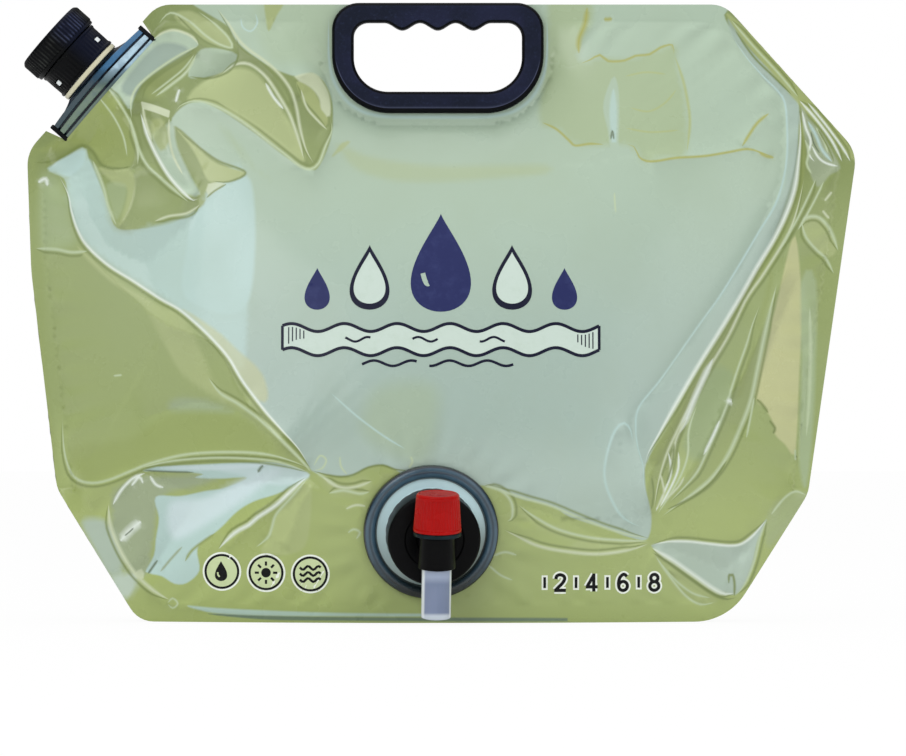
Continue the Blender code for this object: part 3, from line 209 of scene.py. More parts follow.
def divided(loop, pitch):
    """The same closed loop with its long edges divided to at most the pitch."""
    made = []
    for i, (x, z) in enumerate(loop):
        nx, nz = loop[(i + 1) % len(loop)]
        count = max(1, math.ceil(math.hypot(nx - x, nz - z) / pitch))
        for k in range(count):
            made.append((x + (nx - x) * k / count, z + (nz - z) * k / count))
    return made


def spline_through(points, pitch, closed=False):
    """A smooth line through given points, at even steps of about the pitch."""
    count = len(points)
    spans = count if closed else count - 1
    made = []
    for i in range(spans):
        if closed:
            a, b, c, d = (points[(i + k) % count] for k in (-1, 0, 1, 2))
        else:
            a, b, c, d = (points[min(max(i + k, 0), count - 1)] for k in (-1, 0, 1, 2))
        steps = max(1, round(math.hypot(c[0] - b[0], c[1] - b[1]) / pitch))
        for k in range(steps):
            t = k / steps
            made.append(tuple(0.5 * (2 * q + (r - p) * t + (2 * p - 5 * q + 4 * r - s) * t * t
                                     + (3 * q - p - 3 * r + s) * t ** 3)
                              for p, q, r, s in zip(a, b, c, d)))
    if not closed:
        made.append(tuple(points[-1]))
    return made


def inside_loop(x, z, loop):
    inside = np.zeros(np.shape(x), bool)
    for i, (ax, az) in enumerate(loop):
        bx, bz = loop[(i + 1) % len(loop)]
        crosses = (az > z) != (bz > z)
        rise = bz - az if bz != az else WELD
        inside ^= crosses & (x < ax + (bx - ax) * (z - az) / rise)
    return inside


def line_distance(x, z, line, closed=False):
    """(distance, signed side, share along) of points to a polyline. The side is positive on
    the left of the line's direction."""
    best = np.full(np.shape(x), np.inf)
    side = np.zeros(np.shape(x))
    along = np.zeros(np.shape(x))
    spans = len(line) if closed else len(line) - 1
    for i in range(spans):
        ax, az = line[i]
        bx, bz = line[(i + 1) % len(line)]
        dx, dz = bx - ax, bz - az
        length = max(dx * dx + dz * dz, WELD * WELD)
        t = np.clip(((x - ax) * dx + (z - az) * dz) / length, 0.0, 1.0)
        reach = np.hypot(x - ax - t * dx, z - az - t * dz)
        nearer = reach < best
        best = np.where(nearer, reach, best)
        side = np.where(nearer, np.sign(dx * (z - az) - dz * (x - ax)), side)
        along = np.where(nearer, (i + t) / spans, along)
    return best, side, along


def loop_distance(x, z, loop):
    """Signed distance of points to a closed loop, positive inside."""
    best, _, _ = line_distance(x, z, loop, closed=True)
    return np.where(inside_loop(x, z, loop), best, -best)


def corner(share, radius):
    return (share[0] * HALF_WIDTH, max(share[1] * HEIGHT, FLOOR_CLEARANCE), radius)


FILM_CORNERS = [
    corner(LEFT_TOP_SHARE, TOP_CORNER_RADIUS),
    corner(LEFT_SHOULDER_SHARE, SHOULDER_RADIUS),
    corner(LEFT_MIDDLE_SHARE, SIDE_RADIUS),
    corner(LEFT_HIP_SHARE, HIP_RADIUS),
    corner(LEFT_FOOT_SHARE, LEFT_FOOT_RADIUS),
    corner(RIGHT_FOOT_SHARE, RIGHT_FOOT_RADIUS),
    corner(RIGHT_HIP_SHARE, HIP_RADIUS),
    corner(RIGHT_SHOULDER_SHARE, SHOULDER_RADIUS),
    corner(RIGHT_TOP_SHARE, TOP_CORNER_RADIUS),
]
FILM_LOOP = divided(rounded_loop(FILM_CORNERS, LOOP_PITCH), LONG_EDGE)

CHAMFER_TOP = Vector((LEFT_TOP_SHARE[0] * HALF_WIDTH, 0.0, LEFT_TOP_SHARE[1] * HEIGHT))
CHAMFER_FOOT = Vector((LEFT_SHOULDER_SHARE[0] * HALF_WIDTH, 0.0, LEFT_SHOULDER_SHARE[1] * HEIGHT))
FILLER_ALONG = (CHAMFER_TOP - CHAMFER_FOOT).normalized()
FILLER_OUT = Vector((-FILLER_ALONG.z, 0.0, FILLER_ALONG.x))
FILLER_POINT = (CHAMFER_TOP + CHAMFER_FOOT) / 2 + FILLER_ALONG * FILLER_SLIDE
TAP_OUT = Vector((math.sin(TAP_YAW) * math.cos(TAP_TILT),
                  -math.cos(TAP_YAW) * math.cos(TAP_TILT),
                  -math.sin(TAP_TILT)))
TAP_UP = (Vector((0.0, 0.0, 1.0)) - TAP_OUT * TAP_OUT.z).normalized()


def frame_matrix(x_axis, y_axis, z_axis, origin):
    rows = Matrix((x_axis, y_axis, z_axis)).transposed().to_4x4()
    return Matrix.Translation(origin) @ rows


FILLER_FRAME = frame_matrix(FILLER_ALONG, Vector((0.0, 1.0, 0.0)), FILLER_OUT, FILLER_POINT)
TAP_FRAME = frame_matrix(TAP_UP.cross(TAP_OUT), TAP_UP, TAP_OUT,
                         Vector((TAP_X, -TAP_DEPTH, TAP_Z)))
TUBE_FRAME = (TAP_FRAME @ Matrix.Translation((0.0, 0.0, VALVE_REACH))
              @ Matrix.Rotation(-math.pi / 2, 4, "X"))


HIP_HEIGHT = max(LEFT_HIP_SHARE[1], RIGHT_HIP_SHARE[1]) * HEIGHT
LIP_CENTRE = (LEFT_HIP_SHARE[0] + RIGHT_HIP_SHARE[0]) / 2 * HALF_WIDTH
LIP_REACH = (RIGHT_HIP_SHARE[0] - LEFT_HIP_SHARE[0]) / 2 * HALF_WIDTH


def lip(x):
    """How far the lower edge lies from the middle plane, over the gusset."""
    share = (x - LIP_CENTRE) / LIP_REACH
    return LIP_DEPTH * np.maximum(0.0, 1.0 - share * share)


def canoe_half(along):
    share = np.minimum(1.0, np.abs(along) / CANOE_HALF_LENGTH)
    return CANOE_TIP + (CANOE_HALF_WIDTH - CANOE_TIP) * (1.0 - share * share)


def filler_coordinates(x, z):
    dx, dz = x - FILLER_POINT.x, z - FILLER_POINT.z
    along = dx * FILLER_ALONG.x + dz * FILLER_ALONG.z
    out = dx * FILLER_OUT.x + dz * FILLER_OUT.z
    return along, out


def handle_corners(half, top, foot, top_radius, foot_radius):
    """The corners of a box about the handle's middle, from the top left round by the foot."""
    left, right = HANDLE_X - half, HANDLE_X + half
    return [(left, top, top_radius), (left, foot, foot_radius), (right, foot, foot_radius),
            (right, top, top_radius)]


# The film's flat sealed patch round the handle, up to the top edge, and its opening
SEALED_PATCH = divided(rounded_loop(handle_corners(
    HANDLE_WIDTH / 2 + HANDLE_SEAL_MARGIN, HEIGHT + FIELD_MARGIN, HANDLE_FOOT - HANDLE_SEAL_MARGIN,
    WELD, HANDLE_FOOT_RADIUS + HANDLE_SEAL_MARGIN), LOOP_PITCH), LONG_EDGE)
HANDLE_HOLE = divided(rounded_loop(handle_corners(
    GRIP_WIDTH / 2 + FILM_SET_BACK, GRIP_TOP + FILM_SET_BACK,
    GRIP_TOP + FILM_SET_BACK - GRIP_HEIGHT - 2 * FILM_SET_BACK,
    GRIP_TOP_RADIUS + FILM_SET_BACK, GRIP_FOOT_RADIUS + FILM_SET_BACK), LOOP_PITCH), LOOP_PITCH)


def flange_plane(x, z):
    """The depth of the flat film under the tap flange, and the distance from its centre."""
    slope_z = math.tan(TAP_TILT) / math.cos(TAP_YAW)
    slope_x = -math.tan(TAP_YAW)
    behind = (GAP + FILM / 2) / (math.cos(TAP_TILT) * math.cos(TAP_YAW))
    depth = TAP_DEPTH - behind + slope_z * (z - TAP_Z) + slope_x * (x - TAP_X)
    return depth, np.hypot(x - TAP_X, z - TAP_Z)


def pinned(x, z, with_tap):
    """(is the film's depth given here, that depth), measured from the middle plane."""
    base = (FILM + GAP) / 2
    inside = loop_distance(x, z, FILM_LOOP)
    low = z < HIP_HEIGHT
    fixed = np.where(low, inside < WELD, inside < SEAL)
    depth = np.where(low, lip(x), 0.0)
    in_patch = loop_distance(x, z, SEALED_PATCH) > -WELD
    fixed = fixed | in_patch
    depth = np.where(in_patch, 0.0, depth)
    along, out = filler_coordinates(x, z)
    held = (np.abs(along) < CANOE_HALF_LENGTH + WELD) & (out > -CANOE_DEPTH - WELD)
    fixed = fixed | held
    depth = np.where(held, canoe_half(along) + FILM_OVER_CANOE, depth) + base
    if with_tap:
        plane, distance = flange_plane(x, z)
        under = distance < FLANGE_RADIUS + FLAT_MARGIN + WELD
        fixed = fixed | under
        depth = np.where(under, plane, depth)
    return fixed, depth


class FilmField:
    """The depth of an inflated film panel: pinned at its seals, stretched in between."""

    def __init__(self, with_tap):
        self.with_tap = with_tap
        self.pitch = FIELD_PITCH
        self.field = self.relaxed(pinned(*self.grid(self.pitch), with_tap)[1], COARSE_ROUNDS)
        finer = self.between(*self.grid(FIELD_PITCH / 2))
        self.pitch = FIELD_PITCH / 2
        self.field = self.relaxed(finer, FINE_ROUNDS)

    def grid(self, pitch):
        columns = math.ceil(2 * (HALF_WIDTH + FIELD_MARGIN) / pitch) + 1
        rows = math.ceil((HEIGHT + 2 * FIELD_MARGIN) / pitch) + 1
        return np.meshgrid(-HALF_WIDTH - FIELD_MARGIN + pitch * np.arange(columns),
                           -FIELD_MARGIN + pitch * np.arange(rows), indexing="ij")

    def relaxed(self, field, rounds):
        fixed, depth = pinned(*self.grid(self.pitch), self.with_tap)
        swell = 8.0 * BLADDER_CROWN / HEIGHT ** 2 * self.pitch ** 2 / 4
        field = np.where(fixed, depth, field)
        for _ in range(rounds):
            mean = (np.roll(field, 1, 0) + np.roll(field, -1, 0)
                    + np.roll(field, 1, 1) + np.roll(field, -1, 1)) / 4
            field = np.where(fixed, depth, mean + swell)
        return field

    def between(self, x, z):
        column = (x + HALF_WIDTH + FIELD_MARGIN) / self.pitch
        row = (z + FIELD_MARGIN) / self.pitch
        i = np.clip(column.astype(int), 0, self.field.shape[0] - 2)
        j = np.clip(row.astype(int), 0, self.field.shape[1] - 2)
        u, v = column - i, row - j
        f = self.field
        return ((f[i, j] * (1 - u) + f[i + 1, j] * u) * (1 - v)
                + (f[i, j + 1] * (1 - u) + f[i + 1, j + 1] * u) * v)

    def depth(self, x, z):
        x, z = np.asarray(x, float), np.asarray(z, float)
        fixed, given = pinned(x, z, self.with_tap)
        return np.where(fixed, given, self.between(x, z))


# Folds of the film, in millimetres in the XZ plane: a crest (or, below zero, a valley) with its
# height and how far it fades out on the left and on the right of the line's direction.
FOLDS = [
    # The plate's right border, and the loop inside it
    ([(136, 292), (145, 279), (157, 266), (169, 256), (172, 247), (171, 228), (167, 208),
      (157, 180), (151, 169), (134, 140), (120, 116), (108, 93), (97, 75), (97, 66), (100, 51),
      (98, 40)], 3.4, 9, 30),
    ([(136, 286), (147, 269), (162, 254), (165, 247), (165, 228), (164, 213), (157, 197),
      (142, 169), (105, 116), (93, 101), (93, 85), (99, 67)], -1.5, 4, 5),
    # The plate's left border, from the shoulder down to the tap
    ([(-186, 219), (-182, 213), (-179, 203), (-170, 180), (-160, 167), (-134, 145), (-109, 133),
      (-94, 107), (-83, 93), (-72, 84), (-62, 72)], 3.6, 22, 10),
    # Fan on the right, from its knot at the plate's lower corner
    ([(100, 51), (99, 67), (108, 87), (120, 112), (132, 131), (146, 155)], 1.6, 5, 5),
    ([(101, 51), (108, 67), (115, 91), (125, 114), (139, 140), (168, 203)], -1.9, 6, 6),
    ([(102, 51), (112, 65), (122, 76), (132, 96), (139, 110), (146, 121), (168, 174)], 1.9, 6, 6),
    ([(102, 49), (116, 59), (130, 70), (142, 88), (151, 110), (158, 131), (173, 169)], -1.6, 6, 7),
    ([(103, 50), (123, 62), (134, 74), (145, 94)], 1.3, 5, 6),
    # Below the knot on the right
    ([(101, 36), (116, 25), (131, 15), (139, 12)], 1.4, 6, 5),
    ([(101, 35), (112, 19), (123, 9), (130, 9), (123, 15), (110, 25)], -0.8, 4, 4),
    ([(99, 39), (83, 34), (67, 33), (50, 36), (35, 44)], 1.2, 7, 7),
    ([(99, 40), (79, 41), (56, 51), (37, 58)], -0.9, 7, 7),
    ([(90, 85), (87, 94), (82, 90), (77, 72), (81, 61), (88, 50), (97, 46)], 0.9, 4, 6),
    # Lower left: a ridge across, the seam's curve, and the fan at its knot
    ([(-62, 73), (-83, 80), (-105, 81), (-127, 79), (-144, 74), (-157, 68), (-168, 66),
      (-177, 69), (-182, 79), (-183, 95), (-185, 107)], 2.8, 9, 16),
    ([(-144, 73), (-154, 66), (-159, 56), (-158, 45), (-154, 31), (-146, 21), (-136, 12),
      (-125, 8), (-103, 6), (-72, 4), (-20, 4)], 1.4, 6, 5),
    ([(-62, 69), (-72, 62), (-88, 53), (-94, 45), (-105, 36)], 1.5, 5, 5),
    ([(-62, 68), (-70, 60), (-80, 50), (-81, 42), (-88, 36)], -1.3, 4, 5),
    ([(-61, 68), (-67, 57), (-71, 45), (-76, 36)], 1.1, 5, 5),
    ([(-62, 73), (-74, 83), (-94, 100), (-116, 106), (-132, 102), (-146, 97)], -1.6, 8, 8),
    ([(-63, 74), (-78, 89), (-88, 101), (-95, 107)], 1.0, 5, 5),
    # Round the filler
    ([(-163, 257), (-155, 247), (-148, 233), (-143, 222), (-132, 212), (-122, 203),
      (-116, 201)], 1.8, 6, 8),
    ([(-146, 251), (-143, 238), (-136, 226), (-128, 214), (-119, 206)], -1.6, 5, 5),
    ([(-148, 243), (-147, 255), (-138, 265), (-128, 272), (-117, 277)], 1.5, 6, 6),
    ([(-138, 252), (-130, 259), (-122, 265), (-117, 274)], -1.2, 5, 5),
    ([(-136, 283), (-126, 284), (-118, 279), (-109, 275), (-101, 274), (-106, 281),
      (-114, 288), (-126, 293)], 1.0, 4, 4),
    ([(-110, 296), (-102, 284), (-97, 276), (-87, 269), (-77, 259), (-72, 249), (-69, 233),
      (-64, 218)], 1.7, 7, 6),
    ([(-120, 297), (-112, 293), (-104, 285), (-98, 276), (-98, 270), (-103, 264), (-112, 261),
      (-122, 262)], -1.2, 5, 5),
    ([(-119, 257), (-110, 262), (-97, 268), (-87, 264), (-77, 247), (-66, 220)], -1.3, 5, 6),
    ([(-127, 248), (-117, 249), (-102, 244), (-87, 234), (-73, 222), (-63, 216), (-57, 222),
      (-52, 236)], 1.8, 7, 5),
    ([(-72, 261), (-61, 264), (-54, 255), (-52, 238)], 1.1, 5, 4),
    ([(-71, 252), (-63, 243), (-55, 236)], -0.8, 4, 4),
    ([(-171, 228), (-163, 218), (-151, 217), (-147, 223), (-149, 238), (-158, 251),
      (-164, 256)], 1.2, 5, 5),
    ([(-155, 189), (-150, 198), (-147, 210), (-148, 218)], 1.0, 5, 5),
    ([(-165, 252), (-166, 238), (-171, 228)], -0.8, 4, 4),
    ([(-130, 243), (-138, 232), (-130, 216), (-122, 205), (-116, 203)], 1.2, 5, 5),
    # Top right
    ([(98, 221), (118, 223), (134, 225), (147, 227), (160, 223)], 0.9, 5, 6),
    ([(145, 228), (149, 234), (157, 244)], 0.8, 4, 4),
]

# Hollows and facets: a region whose film lies lower (or higher), with its fade width.
HOLLOWS = [
    ([(-145, 73), (-105, 76), (-63, 71), (-83, 62), (-100, 51), (-116, 39), (-132, 26),
      (-142, 24), (-138, 40), (-135, 59)], -3.0, 12),
    ([(100, 37), (116, 39), (139, 36), (156, 49), (170, 62), (170, 52), (151, 34), (143, 17),
      (128, 19), (113, 29)], -2.2, 10),
    ([(-130, 238), (-128, 228), (-114, 210), (-116, 203), (-122, 205), (-130, 216), (-138, 232),
      (-143, 243)], -1.6, 6),
    ([(-188, 218), (-173, 225), (-164, 211), (-156, 189), (-124, 196), (-114, 200), (-120, 180),
      (-134, 150), (-160, 167), (-179, 203)], -3.5, 18),
]

PLATE = [
    (-109, 310), (139, 310), (136, 292), (145, 279), (157, 266), (169, 256), (172, 247), (171, 228),
    (167, 208), (157, 180), (151, 169), (134, 140), (120, 116), (108, 93), (98, 78), (97, 66),
    (100, 51), (98, 40), (90, 41), (78, 45), (61, 51), (52, 56), (39, 59), (28, 63), (18, 66),
    (-5, 62), (-18, 71), (-28, 76), (-35, 74), (-43, 70), (-48, 70), (-55, 71), (-62, 73),
    (-68, 83), (-76, 92), (-84, 101), (-91, 110), (-96, 117), (-102, 127), (-110, 136),
    (-118, 143.5), (-126, 150), (-135, 155), (-148, 163.5), (-160, 171), (-170, 180), (-175, 188),
    (-178, 197), (-180, 206), (-182, 213), (-189, 218), (-173, 228), (-170, 223), (-164, 209),
    (-160, 198), (-156, 189), (-145, 188.5), (-130, 191), (-122, 195), (-114, 200), (-112, 205),
    (-103, 210), (-94, 215), (-106, 220), (-116, 228), (-125, 236), (-130, 240), (-126, 246),
    (-119, 249.5), (-109, 247), (-92, 236), (-75, 223), (-63, 216.5), (-58, 220), (-53, 234),
    (-53, 250), (-57, 260), (-63, 264), (-70, 262), (-83, 267), (-96, 276), (-102, 285)]

# Tones that lie on the front film: tone, width of the border's fade, strength, outline (in mm)
# The pale tones are painted reflections of the light on the glossy, folded film, and the darker greens are
# painted shade.
REGIONS = [
    ("plate", 1.0, 1.0, PLATE),
    ("plate", 1.0, 0.9, [
        (-138, 281), (-132, 284), (-125, 283.5), (-117, 277.5), (-128, 271), (-138, 264),
        (-146, 257), (-149, 246), (-155, 251), (-161, 258), (-157, 266), (-148, 274)]),
    ("plate", 1.0, 0.8, [(-116, 275), (-101, 274), (-98, 270), (-103, 265), (-112, 262), (-122, 262)]),
    ("mist", 2.5, 0.75, [
        (-180, 212), (-176, 190), (-160, 173), (-126, 151), (-104, 132), (-94, 125), (-94, 214),
        (-112, 207), (-114, 199), (-124, 194), (-138, 190), (-157, 188), (-164, 210), (-171, 223)]),
    ("mist", 2.0, 0.9, [(-117, 197), (-92, 212), (-93, 152), (-122, 155), (-122, 180)]),
    ("mist", 1.5, 0.9, [(-190, 218), (-173, 227), (-172, 221), (-176, 216), (-181, 214), (-186, 216)]),
    ("meadow", 9.0, 0.35, [(-88, 300), (-52, 300), (-56, 262), (-66, 268), (-84, 271)]),
    ("meadow", 12.0, 0.45, [(-30, 112), (-3, 112), (-6, 80), (-20, 78), (-38, 92)]),
    ("dusk", 2.0, 0.9, [
        (-139, 276), (-128, 278), (-121, 273), (-134, 266), (-144, 259), (-147, 252), (-154, 257)]),
    # Round the filler
    ("moss", 4.0, 0.9, [
        (-197, 226), (-186, 226), (-171, 229), (-163, 218), (-151, 218), (-147, 224), (-149, 238),
        (-160, 254), (-172, 244), (-190, 229)]),
    ("straw", 1.5, 0.75, [
        (-165, 218), (-158, 217), (-150, 217), (-147, 210), (-150, 197), (-155, 190), (-152, 199),
        (-151, 208), (-157, 210)]),
    ("meadow", 2.0, 0.5, [(-161, 210), (-152, 210), (-152, 202), (-156, 193), (-159, 200)]),
    ("straw", 2.0, 0.8, [
        (-118, 257), (-108, 263), (-97, 266), (-88, 262), (-79, 249), (-71, 236), (-66, 221),
        (-80, 229), (-96, 240), (-111, 249), (-122, 250)]),
    ("moss", 2.5, 0.7, [
        (-143, 252), (-141, 260), (-130, 269), (-118, 275), (-122, 266), (-130, 258), (-137, 252)]),
    ("straw", 1.5, 0.7, [(-129, 291), (-113, 279), (-102, 276), (-103, 281), (-112, 289), (-122, 294)]),
    ("moss", 3.0, 0.5, [(-84, 262), (-75, 252), (-68, 238), (-64, 222), (-71, 240), (-78, 255)]),
    ("cream", 1.2, 0.9, [
        (-71, 262), (-62, 264), (-57, 259), (-54, 252), (-54, 243), (-58, 244), (-59, 251),
        (-63, 256.5), (-69, 260)]),
    ("olive", 1.0, 1.0, [(-70, 259.5), (-64, 257), (-60, 252), (-58, 246), (-55, 242), (-56, 238),
                         (-62, 243), (-67, 250)]),
    ("plate", 1.5, 0.9, [
        (-139, 234), (-133, 238), (-129, 240), (-127, 228), (-120, 213), (-116, 205), (-122, 205),
        (-130, 214), (-136, 224)]),
    ("olive", 2.0, 0.8, [(-139, 241), (-133, 240), (-131, 230), (-135, 226), (-139, 233)]),
    ("cream", 0.6, 0.95, [
        (-144.6, 249.4), (-144.2, 249.8), (-138, 248.1), (-131, 245.5), (-130.6, 245.1), (-131, 242.3),
        (-131.4, 242), (-138, 244.6), (-143.5, 246.2), (-144, 246.6)]),
    ("straw", 1.2, 1.0, [
        (-127, 236), (-118, 228), (-108, 220), (-94, 215), (-102, 211), (-110, 211), (-113, 213),
        (-117, 222), (-122, 230)]),
    ("cream", 1.0, 0.8, [(-112, 210), (-104, 210), (-112, 204.5)]),
    ("meadow", 3.0, 0.45, [(-106, 238), (-97, 229), (-90, 218), (-82, 212), (-87, 215), (-98, 225)]),
    ("straw", 1.2, 0.75, [(-53, 223), (-48, 226.5), (-44, 230.5), (-48, 230)]),
    ("olive", 1.2, 0.9, [(-85, 299), (-76, 299), (-80, 291), (-83.5, 284), (-85, 291)]),
    # Left of the plate
    ("meadow", 8.0, 0.6, [(-193, 213), (-184, 213), (-177, 190), (-178, 181), (-194, 181)]),
    ("moss", 3.0, 0.4, [(-200, 235), (-196, 235), (-193, 180), (-190, 120), (-186, 80), (-194, 80)]),
    ("straw", 2.5, 0.7, [
        (-160, 168), (-147, 158), (-134, 151), (-124, 147), (-115, 130), (-108, 114), (-98, 107),
        (-88, 98), (-66, 76), (-82, 92), (-96, 103), (-110, 109), (-125, 120), (-134, 136),
        (-142, 150)]),
    ("beige", 1.8, 0.6, [
        (-124, 150), (-108, 140), (-97, 130), (-88, 122), (-84, 115), (-83, 107), (-87, 106),
        (-95, 116), (-104, 129), (-114, 141)]),
    ("slate", 4.0, 0.35, [(-131, 104), (-126, 107.5), (-112, 106), (-100, 101), (-118, 101), (-128, 101)]),
    ("moss", 5.0, 0.5, [
        (-150, 88), (-130, 100), (-112, 101), (-96, 98), (-82, 90), (-66, 77), (-84, 81), (-110, 82),
        (-130, 80), (-147, 75), (-160, 69), (-170, 67), (-177, 71), (-178, 84)]),
    # Lower left
    ("fog", 3.0, 0.9, [
        (-158, 60), (-148, 69), (-136, 70), (-118, 71), (-108, 69), (-118, 65), (-134, 60),
        (-138, 40), (-141, 24), (-147, 22), (-154, 32), (-158, 44)]),
    ("mist", 1.0, 1.0, [
        (-137, 60), (-125, 60.5), (-113, 63), (-104, 64.5), (-93, 69.5), (-106, 69), (-118, 69.5),
        (-114, 71), (-122, 72), (-143, 72.5), (-137, 74.5), (-120, 75.5), (-100, 76.5), (-83, 77),
        (-72, 75), (-63, 71), (-68, 67), (-78, 62), (-90, 58), (-98, 53), (-105, 46), (-112, 40),
        (-117, 35), (-116, 25), (-122, 19), (-128, 18.5), (-134, 22), (-139, 23), (-142, 24),
        (-138, 32), (-137, 40), (-135.5, 50)]),
    ("ice", 5.0, 0.9, [(-130, 57), (-112, 60), (-92, 70), (-76, 74), (-90, 62), (-108, 50), (-128, 40)]),
    ("ice", 1.5, 0.9, [(-135, 74), (-112, 75.5), (-84, 76), (-92, 74), (-116, 73)]),
    ("cream", 1.0, 0.8, [(-149, 22), (-144, 25.5), (-143, 21)]),
    ("ice", 2.0, 0.55, [
        (-110, 74), (-92, 76), (-80, 76.5), (-72, 75), (-63, 71), (-68, 67), (-80, 66), (-92, 70)]),
    ("haze", 4.0, 0.9, [(-173, 48), (-160, 47), (-153, 26), (-160, 22), (-167, 34)]),
    ("ice", 3.0, 0.6, [(-160, 19), (-150, 24), (-146, 19), (-152, 11)]),
    ("straw", 1.5, 0.65, [
        (-80, 51), (-72, 60), (-65, 67), (-62, 66), (-64, 40), (-72, 33), (-86, 34), (-82, 42)]),
    # A pale painted highlight along the foot's seam, and below it a teal band of painted shade along the
    # foot.
    ("mist", 1.0, 0.85, [
        (-122, 8), (-108, 7), (-84, 6), (-50, 5), (0, 4.4), (0, 3.4), (-50, 3.4), (-84, 3.6),
        (-106, 4.4), (-114, 5.5)]),
    ("teal", 0.8, 0.9, [
        (-112, 4.2), (-84, 3.4), (-40, 2.9), (60, 2.4), (60, 0.9), (-40, 1.2), (-84, 1.6)]),
    # Right of the plate
    ("slate", 1.5, 0.7, [
        (138, 290), (148, 276), (160, 264), (170, 254), (172, 235), (170, 210), (160, 185),
        (143, 156), (122, 121), (104, 91), (97, 76), (93.5, 84), (93, 101), (105, 116), (122, 141),
        (143, 172), (159, 199), (165, 213), (166, 240), (164, 251), (154, 262), (141, 280)]),
    ("moss", 1.5, 0.9, [
        (172, 240), (174.5, 240), (174.5, 218), (170, 198), (155, 169), (137, 137), (119, 106),
        (104, 76), (99, 78), (104, 90), (122, 121), (143, 155), (158, 181), (168, 203), (171, 222)]),
    ("reed", 3.0, 0.9, [(130, 122), (142, 116), (136, 98), (124, 78), (116, 84), (121, 104)]),
    ("moss", 2.0, 0.6, [
        (158, 158), (150, 128), (143, 108), (138, 112), (146, 134), (153, 150), (158, 168)]),
    ("beige", 1.2, 1.0, [
        (168, 183), (160, 150), (156, 135), (152, 118), (150.5, 107), (154, 103), (158, 98),
        (160, 90), (165, 85), (169.5, 80), (171, 92), (172, 120), (173, 150), (171, 180)]),
    ("meadow", 2.0, 0.9, [
        (173, 164), (180, 164), (180, 120), (178, 84), (175, 64), (172, 80), (173, 120)]),
    ("moss", 3.0, 0.2, [(174, 176), (190, 170), (188, 140), (180, 140), (176, 152)]),
    ("straw", 1.5, 0.8, [(173, 188), (176, 194), (182, 194), (187, 188), (190, 178), (184, 176)]),
    ("fog", 1.2, 0.9, [
        (173, 248), (176, 243), (183, 235), (188, 226), (192, 218), (187, 215), (181, 209),
        (177, 216), (176, 224), (174, 236)]),
    ("olive", 1.2, 0.9, [
        (137, 293), (150, 282), (170, 260), (190, 238), (200, 222), (193, 226), (183, 237),
        (170, 251), (157, 266), (145, 280)]),
    ("haze", 1.2, 1.0, [
        (100, 37), (110, 38.5), (120, 38.5), (132, 37), (141, 36.5), (147, 39), (156, 49), (152, 40),
        (149, 28), (145, 18), (141, 13), (136, 14), (128, 18), (118, 25), (109, 31)]),
    ("fog", 3.0, 0.45, [(156, 50), (164, 59), (170, 62), (176, 61), (172, 53), (162, 40), (156, 36)]),
    ("straw", 2.0, 0.6, [(101, 34), (108, 22), (116, 12), (124, 9), (132, 10), (120, 20), (108, 30)]),
    ("straw", 2.5, 0.5, [(99, 38), (86, 35), (72, 33), (60, 34), (66, 40), (84, 40)]),
    ("straw", 2.5, 0.5, [(33, 58), (45, 50), (60, 44), (62, 40), (46, 46), (34, 54)]),
    ("straw", 3.0, 0.5, [(-57, 71), (-48, 68), (-36, 70), (-34, 64), (-46, 61), (-54, 64)]),
    # Yellow-green and pale green patches below the grip and on the top right
    ("straw", 3.5, 0.42, [
        (-50, 229), (-44, 227), (-34, 223), (-6, 219), (28, 219), (50, 219), (50, 215), (28, 213),
        (-1, 211), (-25, 212), (-42, 218)]),
    ("meadow", 3.5, 0.85, [
        (65, 310), (73, 293), (66, 276), (67, 269), (77, 271), (88, 270), (100, 273), (112, 277),
        (113, 266), (117, 249), (117, 225), (108, 223), (97, 221), (93, 227), (87, 229), (65, 229),
        (56, 237), (47, 241), (50, 270), (53, 310)]),
    ("plate", 1.0, 0.9, [
        (83, 262), (85, 254), (85, 238), (84, 218), (83.5, 206), (82, 206), (81, 220), (80, 234),
        (77.5, 247), (80, 257)]),
    ("mist", 1.2, 0.7, [(82.5, 256), (84, 246), (83.5, 230), (81.5, 230), (80.5, 246)]),
]
